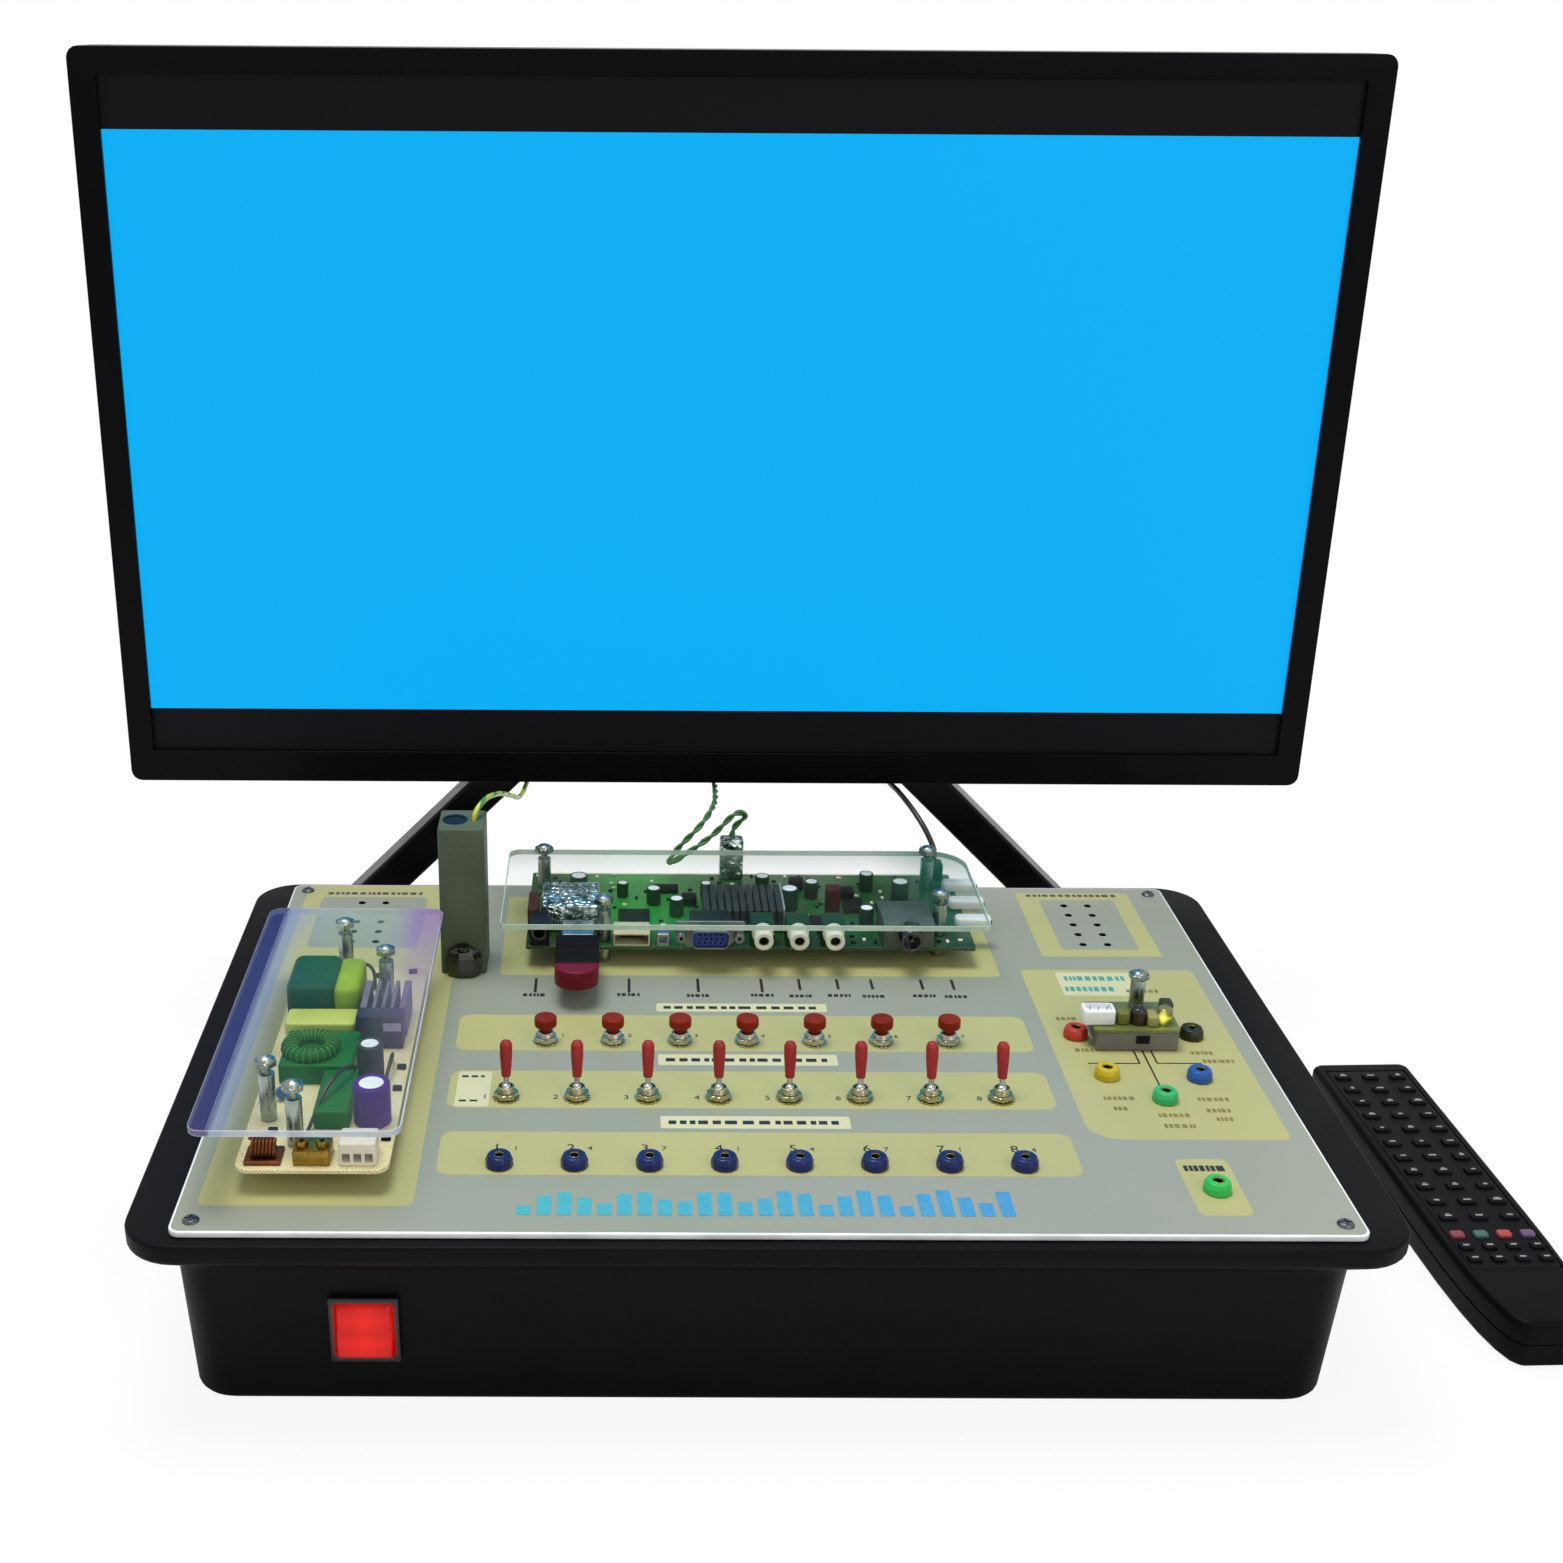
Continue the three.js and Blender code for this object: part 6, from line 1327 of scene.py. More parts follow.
# %% Keys on their mat
key_rubber = plastic("key_rubber", "0b0b0d", gloss=0.55, grain=2.2, depth=0.02, dust=0.14, gleam=0.08)
mat = block((35.6, 150.6, 5.7), (0, 13.4, 16.85), 1.2, 0.6)
keys, signs = [mat], []
plain_rows = [82.8 - 11.08 * k for k in range(11)]
draw = np.random.default_rng(7)
for row_number, y in enumerate(plain_rows):
    for x in (-12.5, 0, 12.5):
        tall = 4.4 if row_number not in (5, 6) else 5.4
        keys.append(block((7.2, tall, 4.0), (x, y, 19.0), 1.3, 0.7))
        width = draw.uniform(1.6, 3.6)
        signs.append(zone(x - width / 2, x + width / 2, y - 0.45, y + 0.45, 0.2))
        if draw.random() > 0.55:
            signs.append(zone(x - width / 4, x + width / 3, y + 0.75, y + 1.25, 0.1))
small_x, small_key = (-14.1, -4.7, 4.7, 14.1), (5.6, 4.4, 4.0)
for y in (-48, -56):
    for x in small_x:
        keys.append(block(small_key, (x, y, 19.0), 1.3, 0.7))
        signs.append(zone(x - 1.2, x + 1.2, y - 0.45, y + 0.45, 0.2))
keypad_mesh = joined(keys)
keypad_mesh.transform(remote_place)
remote_pad = finished("remote_keys", keypad_mesh, key_rubber, "remote", sharp=45)
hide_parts("remote_keypad")
sign_paint = plastic("sign_paint", "8f9092", gloss=0.5)
sign_mesh = flat_mesh(signs, 21.0, 21.05)
sign_mesh.transform(remote_place)
finished("remote_signs", sign_mesh, sign_paint, "remote")
tints = {"rose": "7c2c38", "teal": "2f5a55", "red": "a03a38", "violet": "5c4468"}
for (tint, colour), x in zip(tints.items(), small_x):
    mesh = block(small_key, (x, -40, 19.0), 1.3, 0.7)
    mesh.transform(remote_place)
    tinted = plastic(f"key_{tint}", colour, gloss=0.45)
    finished(f"remote_key_{tint}", mesh, tinted, "remote")
print("remote made with", len(keys), "keys and mat")
# %% [markdown]
# ## The receiver board
#
# A green circuit board on four stand-offs, with a row of sockets along its front edge: audio
# jack, USB, HDMI, a fifteen-pin video socket, three phono sockets and an aerial socket on a
# tuner can. Behind them stand a shield can, a finned heat sink and small parts. Stamped and
# moulded bodies are blocks with round edges, round bodies are turned, and openings are cut.

# %% Circuit board finish
def circuit_board(name, dark, light, cell=0.32, shade=None):
    """Solder resist over copper: traces are where a city-block cell pattern's distance leaves a
    small remainder, pads are the bright spots in the middle of finer cells."""
    finish = Finish(name, coat_weight=0.2)
    where = finish.place()
    cells = {"distance": "MANHATTAN", "feature": "F1"}
    wide = finish.node("ShaderNodeTexVoronoi", cells, {"Vector": where, "Scale": cell})
    fine = finish.node("ShaderNodeTexVoronoi", {"feature": "F1"}, {"Vector": where, "Scale": 0.9})
    trace = (wide * 4.0).remainder(1.0) < 0.34
    pad = fine < 0.17
    cloud = finish.noise(0.05, detail=3)
    board = finish.mix(finish.spread(cloud, 0.35, 0.65), ink(dark), ink(light))
    board = shade(finish, board) if shade else board
    lines = finish.mix(trace * 0.45, board, scaled(ink(light), 1.9, 0.01))
    finish.set(base_color=finish.mix(pad * 0.8, lines, ink("c9c6a8")))
    finish.set(roughness=0.36 - pad * 0.12 + cloud * 0.1, metallic=pad * 0.8)
    return finish.bump(trace * 0.5 + pad, 0.2, 0.04)


def receiver_shade(finish, board):
    """Bright green left of the middle, teal at the right end, and a brown-olive painted shadow along the
    front.
    """
    x, y, _ = finish.axes()
    bright = finish.mix(finish.spread((x + 42).size(), 6, 34, 0.8, 0.0), board, ink("1f9a2e"))
    ends = finish.mix(finish.spread(x, 76, 94), bright, ink("0c4f3c"))
    # The board's front, y 64 to 84, is darkened to brown-olive: a painted shadow of the cover's front.
    return finish.mix(finish.spread(y, 64, 84, 0.8, 0.0), ends, ink("16180b"))


board_green = circuit_board("board_green", "08380e", "115619", shade=receiver_shade)
chip_black = plastic("chip_black", "0e0f10", gloss=0.5, grain=2.6, depth=0.02, gleam=0.1)
cap_brown = plastic("cap_brown", "47201a", gloss=0.45, gleam=0.12)
cap_green = plastic("cap_green", "123c20", gloss=0.4, gleam=0.12)
phono_cream = plastic("phono_cream", "dcdcc6", gloss=0.3)
hdmi_cream = plastic("hdmi_cream", "cfc79c", gloss=0.36)
foil = metal("foil", "d5dad8", gloss=0.18, scratch=1.0)
folds = foil.node("ShaderNodeTexVoronoi", {"feature": "DISTANCE_TO_EDGE"},
                  {"Vector": foil.place(), "Scale": 0.28, "Randomness": 1.0})
foil.bump(folds + foil.noise(0.3, detail=4) * 0.6, 1.0, 1.6)
foil_cloud = foil.noise(0.22, detail=3)
foil.set(base_color=foil.mix(foil.spread(foil_cloud, 0.4, 0.62), ink("5f6f69"), ink("e8efec")))
print("board finishes made")

# %% Bare board with its stud holes
board_under, board_top = 88.4, 90.0
main_posts = [(-58.25, 67), (88.65, 74), (-86, 122), (89.9, 122)]
post_holes = [circle(x, y, 1.8, 20) for x, y in main_posts]
board_outlines = [zone(-92, 103, 60, 138, 1.2)] + post_holes
board_mesh = flat_mesh(board_outlines, board_under, board_top, 0.15)
receiver = finished("receiver_board", board_mesh, board_green)
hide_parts("main_board")
print("receiver board outlines", len(board_outlines))

# %% Small parts, spread between the large ones
taken = [
    (-90, -82, 60, 73), (-78, -60, 60, 74), (-56, -37, 60, 73), (-28, 4, 60, 76), (4, 47, 60, 72),
    (62, 85, 60, 85), (-86, -60, 74, 100), (-14, 20, 74, 103), (-92, -87, 70, 90), (40, 48, 91, 99),
    (84, 103, 70, 124), (-6, 7, 129, 138), (90, 100, 129, 138), (-90, -82, 117, 126), (85, 95, 117, 126),
]


def free_places(count, seed, margin=2.5):
    """Places on the board that lie outside the taken rectangles and apart from each other."""
    draw = np.random.default_rng(seed)
    tries = draw.uniform([-90, 62], [101, 136], (count * 30, 2))
    chosen = []
    for x, y in tries:
        inside = any(
            a - margin < x < b + margin and c - margin < y < d + margin for a, b, c, d in taken
        )
        if not inside and all(abs(x - p) + abs(y - q) > 2 * margin for p, q in chosen):
            chosen.append((x, y))
        if len(chosen) == count:
            break
    return chosen


chip_list = [((14, 14, 1.8), (-45, 88)), ((20, 8, 2.2), (30, 84)), ((9, 12, 2.4), (54, 100)),
             ((11, 7, 2.0), (-30, 118)), ((8, 8, 1.8), (68, 98))]
chips, legs = [], []
for (w, d, h), (x, y) in chip_list:
    chips.append(block((w, d, h), (x, y, board_top + h / 2), 0.4, 0.25))
    taken.append((x - w / 2 - 1, x + w / 2 + 1, y - d / 2 - 1, y + d / 2 + 1))
    count = int(w / 1.3)
    for k in range(count):
        leg_x = x - w / 2 + (k + 0.5) * w / count
        legs.append(block((0.45, d + 2.4, 0.35), (leg_x, y, board_top + 0.25), 0.1, 0.05, 1))
finished("board_chips", chips, chip_black)
finished("chip_legs", legs, nickel)

can_places = [(-36, 104, 3.2, 8), (-26, 92, 3.2, 8.5), (25, 100, 4.0, 10), (36, 112, 3.2, 8),
              (58, 84, 3.2, 8), (76, 108, 4.0, 10), (-70, 112, 4.0, 10.5), (-50, 112, 2.6, 7),
              (14, 118, 3.2, 8), (-12, 112, 2.6, 7), (62, 120, 3.2, 8.5)]
sleeves, tops = [], []
for x, y, r, h in can_places:
    sleeve = [(0.05, 0), (r, 0), (r, h), (r * 0.82, h), (r * 0.8, h - 0.25), (0.05, h - 0.25)]
    lid = [(0.05, h - 0.2), (r * 0.8, h - 0.2), (r * 0.78, h - 0.12), (0.05, h - 0.1)]
    sleeve = rounded(sleeve, [0, 0.3, 0.45, 0.1, 0, 0], 3)
    sleeves.append(lathe(sleeve, (x, y, board_top), 28))
    tops.append(lathe(lid, (x, y, board_top), 28))
    taken.append((x - r - 1, x + r + 1, y - r - 1, y + r + 1))
finished("board_cans", sleeves, cap_green, sharp=35)
finished("can_tops", tops, white_plastic)

tiny_dark, tiny_pale = [], []
for number, (x, y) in enumerate(free_places(110, 3, 1.7)):
    size = (2.0, 1.25, 0.7) if number % 2 else (1.25, 2.0, 0.7)
    part = block(size, (x, y, board_top + 0.35), 0.1, 0.1, 1)
    (tiny_dark if number % 3 else tiny_pale).append(part)
finished("tiny_dark_parts", tiny_dark, chip_black)
finished("tiny_pale_parts", tiny_pale, cream_plastic)
print("small parts", len(tiny_dark) + len(tiny_pale), "cans", len(can_places))

# %% Sockets at the front edge's left end
jack_x, usb_x, hdmi_x, box_x, tuner_x = -86, -69.3, -46.2, -32.6, 73.6
phono_z = 96.8
jack = carved(block((8, 12, 11.5), (jack_x, 66, 95.75), 0.6, 0.5),
              [lathe([(0.02, -2), (2.4, -2), (2.4, 9), (0.02, 9)], (jack_x, 60, 97), 28, "y")])
finished("audio_jack", jack, black_plastic, sharp=30)
ring_line = rounded([(2.3, -0.5), (3.4, -0.5), (3.4, 1.5), (2.3, 1.5), (2.3, -0.5)], 0.2, 2)
jack_ring = lathe(ring_line, (jack_x, 59.6, 97), 28, "y")
finished("jack_ring", jack_ring, dark_fitting)

usb = carved(block((14, 15, 7), (usb_x, 64.5, 93.5), 0.7, 0.4),
             [box((12.6, 16, 5.6), (usb_x, 63, 93.5))])
hdmi = carved(block((16, 12, 6.2), (hdmi_x, 66, 93.1), 0.9, 0.5),
              [box((14.4, 10, 4.6), (hdmi_x, 63, 93.1))])
finished("hdmi_shell", hdmi, hdmi_cream, sharp=30)
tongue = block((11, 5, 1.2), (hdmi_x, 65, 93.6), 0.2, 0.15)
finished("hdmi_tongue", tongue, black_plastic)
small_box = carved(block((5.6, 8, 6), (box_x, 64, 93), 0.5, 0.4),
                   [box((3.4, 6, 3.2), (box_x, 60.5, 93.4))])
finished("front_steel", [usb, small_box], steel, sharp=30)
print("front sockets at x", jack_x, usb_x, hdmi_x, box_x)

# %% Video socket
def upright(outlines, y0, y1, bevel):
    """A flat shape stood up: its second coordinate becomes the height, its thickness runs along y."""
    mesh = flat_mesh(outlines, -y1, -y0, bevel)
    mesh.transform(Matrix.Rotation(math.pi / 2, 4, "X"))
    return mesh


def d_outline(half_width, half_height, middle_x, middle_z, corner, slope=0.14):
    """A D shape: its lower side is a little shorter than its upper one."""
    narrow = half_width - 2 * half_height * slope
    points = np.array([(-narrow, -1), (narrow, -1), (half_width, 1), (-half_width, 1)])
    points = points * [1, half_height]
    return rounded(points, corner, 6, closed=True) + [middle_x, middle_z]


vga_x, vga_z = -12.4, 96.45
hull = [(-9.4, -6.2), (7.6, -6.2), (14.6, 0.8), (15.3, 6.2), (-15.3, 6.2), (-15.3, 0.6)]
hull_line = rounded(hull, [3.4, 3.4, 4.5, 1.4, 1.4, 4.5], 6, closed=True) + [vga_x, vga_z]
flange = upright([hull_line], 58.85, 60, 0.3)
outer_d, inner_d = d_outline(8.7, 4.3, vga_x, vga_z, 2.2), d_outline(8.1, 3.7, vga_x, vga_z, 1.8)
shell = upright([outer_d, inner_d], 52.9, 59.2, 0.15)
vga_body = block((17.4, 12.6, 11.8), (vga_x, 66.3, 95.9), 0.6, 0.4)
vga_metal = [flange, shell]
to_the_front = Matrix.Rotation(math.pi / 2, 4, "X")
for dx in (-12.5, 12.5):
    nut = hex_nut(2.45, 4.5, 0.8, (0, 0, 0), 0.2)
    nut.transform(Matrix.Translation(((vga_x + dx) * mm, 58.9 * mm, vga_z * mm)) @ to_the_front)
    vga_metal.append(nut)
flange_steel = metal("flange_steel", "8b918c", gloss=0.42)
finished("video_shell", vga_metal, flange_steel, sharp=35)
insert = upright([inner_d], 54.6, 59, 0.1)
pin_holes, pin_line = [], [(0.02, -0.1), (0.42, -0.1), (0.42, 0.3), (0.02, 0.3)]
for row in (1.9, 0, -1.9):
    for k in range(5):
        x = vga_x + (k - 2) * 2.29 + (0.5 if row == 0 else 0)
        pin_holes.append(lathe(pin_line, (x, 54.5, vga_z + row), 10, "y"))
finished("video_insert", insert, navy_plastic)
finished("video_pin_holes", pin_holes, chip_black)
finished("video_body", vga_body, black_plastic)
print("video pin holes", len(pin_holes))

# %% Phono sockets
phono_line = [(2.2, 1.0), (2.2, 9), (4.15, 9), (4.15, 0.8), (4.7, 0.8), (4.7, -0.2), (2.2, -0.2)]
phono_line = rounded(phono_line, [0, 0.3, 0.5, 0, 0.1, 0.1, 0], 3)
lining_line = [(2.19, 0.1), (2.19, 7.6), (1.8, 7.6), (1.8, 0.3), (0.02, 0.3)]
barrels, blocks_behind, linings = [], [], []
for x in (10.3, 25.6, 40.9):
    barrels.append(lathe(phono_line, (x, 60, phono_z), 40, "y"))
    blocks_behind.append(block((10, 11, 11.5), (x, 65.5, 95.75), 0.6, 0.4))
    linings.append(lathe(lining_line, (x, 60, phono_z), 24, "y"))
finished("phono_barrels", barrels, phono_cream, sharp=35)
finished("phono_bodies", blocks_behind, cap_green)
finished("phono_linings", linings, dark_fitting)
print("phono sockets", len(barrels))

# %% Tuner and its aerial socket
tuner_steel = metal("tuner_steel", "6f786c", gloss=0.62)
tuner = block((22, 24, 11), (tuner_x, 72, 95.5), 0.8, 0.4)
lid = block((22.4, 24.2, 2.4), (tuner_x, 72.1, 100.0), 0.9, 0.4)
finished("tuner_can", [tuner, lid], tuner_steel, sharp=30)
aerial_thread = threaded(4.7, 3.4, 0, 9.0, 5.0, (0, 0, 0), 0.8)
aerial_nut = hex_nut(6.4, 1.6, 4.4, (0, 0, 0.2), 0.2)
aerial_core = lathe([(0.9, 3), (0.9, 8.2), (0.5, 8.4), (0.5, 5), (0.02, 5)], sides=16)
aerial = [aerial_thread, aerial_nut, aerial_core]
for mesh in aerial:
    mesh.transform(Matrix.Translation((tuner_x * mm, 60 * mm, phono_z * mm)) @ to_the_front)
finished("aerial_socket", aerial, dark_fitting, sharp=28)
print("aerial socket meshes", len(aerial))

# %% Shield can, heat sink, film capacitor and plugs
shield = block((25, 26, 12.5), (-73.0, 87, 96.25), 1.2, 0.8)
finished("shield_can", shield, foil)
sink_parts = [block((34, 28, 2.6), (3, 88.5, 91.3), 0.4, 0.3)]
sink_parts += [block((2.5, 28, 9.0), (-13 + 3.2 * k, 88.5, 96.0), 0.5, 0.3) for k in range(11)]
sink_grey = metal("sink_grey", "4d5250", gloss=0.66)
finished("finned_sink", sink_parts, sink_grey, sharp=30)
single_blocks = {
    "sink_end_plate": ((0.9, 28.6, 11.4), (20.7, 88.5, 95.9), 0.3, 0.2, aluminium, "sink_aluminium"),
    "film_capacitor": ((4.6, 20, 13), (-89.3, 80, 96.5), 1.8, 1.2, cap_brown, "circuit_cream"),
    "brown_post": ((6.5, 6.5, 13), (43.99, 95, 96.5), 1.2, 0.8, cap_brown, "circuit_cream"),
}
for name, (size, centre, corner, edge, finish, slot) in single_blocks.items():
    finished(name, block(size, centre, corner, edge), finish)

plugs, plug_mouths = [], []
for y in (82, 101, 120):
    plugs.append(block((16, 6.4, 4.8), (105, y, 92.5), 2.2, 1.3))
    for off in (-1.7, 0, 1.7):
        plug_mouths.append(block((0.5, 1.1, 2.0), (112.9, y + off, 92.5), 0.2, 0.1, 1))
finished("edge_plugs", plugs, white_plastic)
finished("edge_plug_mouths", plug_mouths, chip_black)
ground = block((188, 1.3, 0.2), (5, 136.9, 90.1), 0.3, 0.05, 1)
finished("ground_strip", ground, cream_plastic)
wire_plug = block((11, 8, 20), (0.5, 134, 100), 1.6, 1.4)
finished("wire_plug", wire_plug, foil)
power_plug = block((8, 8, 8), (95, 134, 94), 0.8, 0.5)
finished("power_plug", power_plug, black_plastic)
coil_places = [(52, 112), (-20, 104), (30, 122)]
coil_shapes = [block((7, 7, 4.4), (*place, 92.2), 1.6, 0.9) for place in coil_places]
finished("square_coils", coil_shapes, chip_black)
print("heat sink fins", len(sink_parts) - 1)

# %% Memory stick
stick_dark = plastic("stick_dark", "120c0a", gloss=0.5, gleam=0.08)
stick_crimson = plastic("stick_crimson", "6c0d28", gloss=0.42, gleam=0.15)
half_stick = 9.2
bow = np.linspace(math.pi, 2 * math.pi, 25)
half_oval = np.column_stack([usb_x + half_stick * np.cos(bow), 27.0 + 7.8 * np.sin(bow)])
half_oval = np.vstack([[[usb_x - half_stick, 29.0]], half_oval, [[usb_x + half_stick, 29.0]]])
stick_body = flat_mesh([zone(-78.5, -60.1, 29.1, 56.2, 1.2)], 89.2, 97.8, 1.0)
stick = finished("stick_body", stick_body, stick_dark, "usb_stick", sharp=50)
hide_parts("usb_stick")
stick_end = flat_mesh([half_oval], 89.25, 97.75, 1.0)
finished("stick_end", stick_end, stick_crimson, "usb_stick", sharp=50)
stick_plug = block((11.8, 13.5, 4.8), (usb_x, 61.0, 93.5), 0.4, 0.2)
finished("stick_plug", stick_plug, nickel, "usb_stick")
print("receiver board and memory stick made")

# %% [markdown]
# ## Stand-offs and clear covers
#
# Each cover is a sheet of acrylic on turned stand-offs with shiny cap nuts. Clear sheet in
# Blender could be glass, but glass would shade all that lies under it. Here it is a mix of three
# simple shaders instead: transparent, a thin haze that carries the coloured films and smears, and
# a clear reflection that grows towards grazing angles: 0.004 + 0.1 (1 - cos)^5. A narrow band of
# paler plastic runs round each sheet, because its cut edge collects light.

# %% Stand-offs and cap nuts
def post_mesh(x, y, upper, covered):
    """A lower spacer, a stud, an upper spacer and a cap nut: turned parts one above the other."""
    top = 90 + upper
    seat = top + (2.8 if covered else 0)
    lower = rounded([(0.05, 80.3), (3, 80.3), (3, 88.1), (0.05, 88.1)], [0, 0.3, 0.3, 0], 2)
    higher = rounded([(0.05, 90.3), (3, 90.3), (3, top - 0.3), (0.05, top - 0.3)], [0, 0.3, 0.3, 0], 2)
    stud = [(0.05, 88.0), (1.4, 88.0), (1.4, seat + 0.1), (0.05, seat + 0.1)]
    dome = rounded([(3.1, seat + 1.6), (3.0, seat + 2.9), (0.05, seat + 4.0)], [0, 1.6, 0], 6)
    parts = [lathe(line, (x, y, 0), 28) for line in (lower, higher, stud, dome)]
    parts.append(hex_nut(4.3, 2.2, 1.3, (x, y, seat), 0.3 + x * 0.1))
    return joined(parts)


post_metal = metal("post_metal", "aab3a9", gloss=0.26, scratch=0.7)
for number, (x, y) in enumerate(main_posts, 1):
    post = finished(f"receiver_post_{number}", post_mesh(x, y, 15, True), post_metal, sharp=28)
    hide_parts(f"main_standoff_{number}")


print("receiver stand-offs", len(main_posts))

# %% Clear sheet
def clear_sheet(name, colour, haze, gloss=0.05):
    """Transparent and haze mixed by haze, then a reflection mixed in by its angle."""
    finish = Finish(name, roughness=0.35)
    finish.set(base_color=colour(finish))
    through = finish.node("ShaderNodeBsdfTransparent", inputs={"Color": (0.97, 0.985, 0.98, 1)})
    shown = Tap(finish, finish.shader.outputs[0])
    body = finish.node("ShaderNodeMixShader", inputs={0: haze(finish), 1: through, 2: shown})
    shine = finish.node("ShaderNodeBsdfGlossy", inputs={"Color": (1, 1, 1, 1), "Roughness": gloss})
    facing = finish.node("ShaderNodeLayerWeight", inputs={"Blend": 0.5}, output="Facing")
    mirror = 0.004 + facing.sum("POWER", facing, 5.0) * 0.1
    finish.show(finish.node("ShaderNodeMixShader", inputs={0: mirror, 1: body, 2: shine}))
    return finish


def main_haze_colour(finish):
    x = finish.axes()[0]
    left_part = finish.mix(finish.spread(x, -85, -50), ink("8e9184"), ink("6f9f6a"))
    middle = finish.mix(finish.spread(x, -20, 15), left_part, ink("90938a"))
    return finish.mix(finish.spread(x, 62, 84), middle, ink("2c7c66"))


def main_haze(finish):
    x, y, _ = finish.axes()
    smear = finish.noise(0.02, detail=4, roughness=0.6)
    back = finish.spread(y, 104, 124, 0.0, 0.2)
    right = finish.spread(x, 62, 84, 0.0, 0.16) * finish.spread(y, 62, 104)
    return 0.012 + back + right + finish.spread(smear, 0.45, 0.75, 0.0, 0.04)


cover_clear = clear_sheet("cover_clear", main_haze_colour, main_haze)
cover_corners = [(-102, 45), (106, 45), (106, 125), (-102, 125)]
cover_line = rounded(cover_corners, [3, 3, 16, 5], 8, closed=True)
cover_mesh = flat_mesh([cover_line] + post_holes, 105.0, 107.5, 0.25)
cover = finished("receiver_cover", cover_mesh, cover_clear)
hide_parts("main_cover")


def cut_edge(name, first, second, patch, thinnest):
    """The pale band of a cut edge: two near colours in clouds, and more or less see-through."""
    finish = Finish(name, roughness=0.25)
    cloud = finish.noise(patch, detail=3)
    finish.set(base_color=finish.mix(cloud, ink(first), ink(second)))
    return finish.set(alpha=finish.spread(cloud, 0.3, 0.7, thinnest, 0.85))


edge_pale = cut_edge("edge_pale", "bfe0c8", "f1f6ee", 0.08, 0.6)
inner_corners = [(-101.6, 45.4), (105.6, 45.4), (105.6, 124.6), (-101.6, 124.6)]
inner_line = rounded(inner_corners, [2.6, 2.6, 15.6, 4.6], 8, closed=True)
edge_mesh = flat_mesh([cover_line * [1.0002, 1.0], inner_line], 105.1, 107.4)
finished("receiver_cover_edge", edge_mesh, edge_pale)
print("receiver cover made")
# %% [markdown]
# ## The power supply
#
# A cream board with round corners carries a transformer wound in teal and yellow-green tape, a
# choke, two tall capacitors, a regulator on a slotted heat sink and a row of terminals. Its cover
# is wider than the board and has coloured film on it: a deep blue-violet strip on the left, pale
# lavender beside it, and violet at the right. Those films are drawn by the place across the sheet.

# %% Board, terminals and capacitors
supply_cream = circuit_board("supply_cream", "c7b884", "d8cda0", cell=0.2)
supply_posts = [(-178.98, -82.7), (-166.56, -99.8), (-165.48, 33.2), (-145.77, 7.8)]
supply_holes = [circle(x, y, 1.8, 20) for x, y in supply_posts]
board_outlines = [zone(-186, -132, -117, 39, 5)] + supply_holes
board_mesh = flat_mesh(board_outlines, board_under, board_top, 0.2)
supply = finished("supply_board", board_mesh, supply_cream)
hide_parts("psu_board")

coil_brown = metal("coil_brown", "7a4a2c", gloss=0.4)
terminal_gold = metal("terminal_gold", "a8883a", gloss=0.3)
coil_line = [(x, -109 + 3.4 * math.sin(t), 94.3 + 3.4 * math.cos(t))
             for x, t in zip(np.linspace(-181, -172, 90), np.linspace(0, 2 * math.pi * 7, 90))]
coil = [block((13, 11, 1.6), (-176.3, -109, 90.8), 0.6, 0.3), tube(coil_line, 0.62, 8)]
finished("coil_terminal", coil, coil_brown)
gold = [block((13, 11, 5.4), (-159, -109, 92.7), 0.7, 0.4)]
gold += [hex_nut(2.4, 2.4, 0.9, (-159 + d, -110, 95.4), 0.3 * d) for d in (-3.6, 3.6)]
finished("gold_terminal", gold, terminal_gold, sharp=28)
white_x = -142.8
hole_line = [(0.02, 96.5), (1.5, 96.5), (1.5, 100), (0.02, 100)]
mouths = [box((2.8, 6, 3.4), (white_x + d, -113.5, 93.4)) for d in (-4, 0, 4)]
mouths += [lathe(hole_line, (white_x + d, -108, 0), 20) for d in (-4, 0, 4)]
white = carved(block((13, 11, 9), (white_x, -109, 94.5), 0.8, 0.5), mouths)
finished("white_terminal", white, cream_plastic, sharp=30)


def tall_can(name, x, y, r, colour, h=16.0):
    """A capacitor: a shrunk sleeve that folds over the edge, and a pale top with a vent cross."""
    line = [(0.05, 0), (r, 0), (r, 1.6), (r - 0.35, 2.2), (r, 2.8), (r, h), (r * 0.68, h),
            (r * 0.66, h - 0.3), (0.05, h - 0.3)]
    line = rounded(line, [0, 0.4, 0.3, 0.3, 0.3, 0.9, 0.1, 0, 0], 4)
    sleeve = plastic(name + "_sleeve", colour, gloss=0.36, gleam=0.15)
    finished(name, lathe(line, (x, y, board_top), 48), sleeve, sharp=50)
    lid = [(0.05, h - 0.25), (r * 0.66, h - 0.25), (r * 0.63, h - 0.1), (0.05, h - 0.05)]
    top = lathe(lid, (x, y, board_top), 40)
    middle = (x, y, board_top + h)
    cuts = [box((r * 0.9, 0.35, 0.4), middle), box((0.35, r * 0.9, 0.4), middle)]
    finished(name + "_top", carved(top, cuts), white_plastic, sharp=30)


tall_can("violet_capacitor", -141.0, -84.0, 6.8, "45127a")
tall_can("grey_capacitor", -145.0, -55.0, 5.0, "33383a")
print("supply board, terminals and capacitors made")

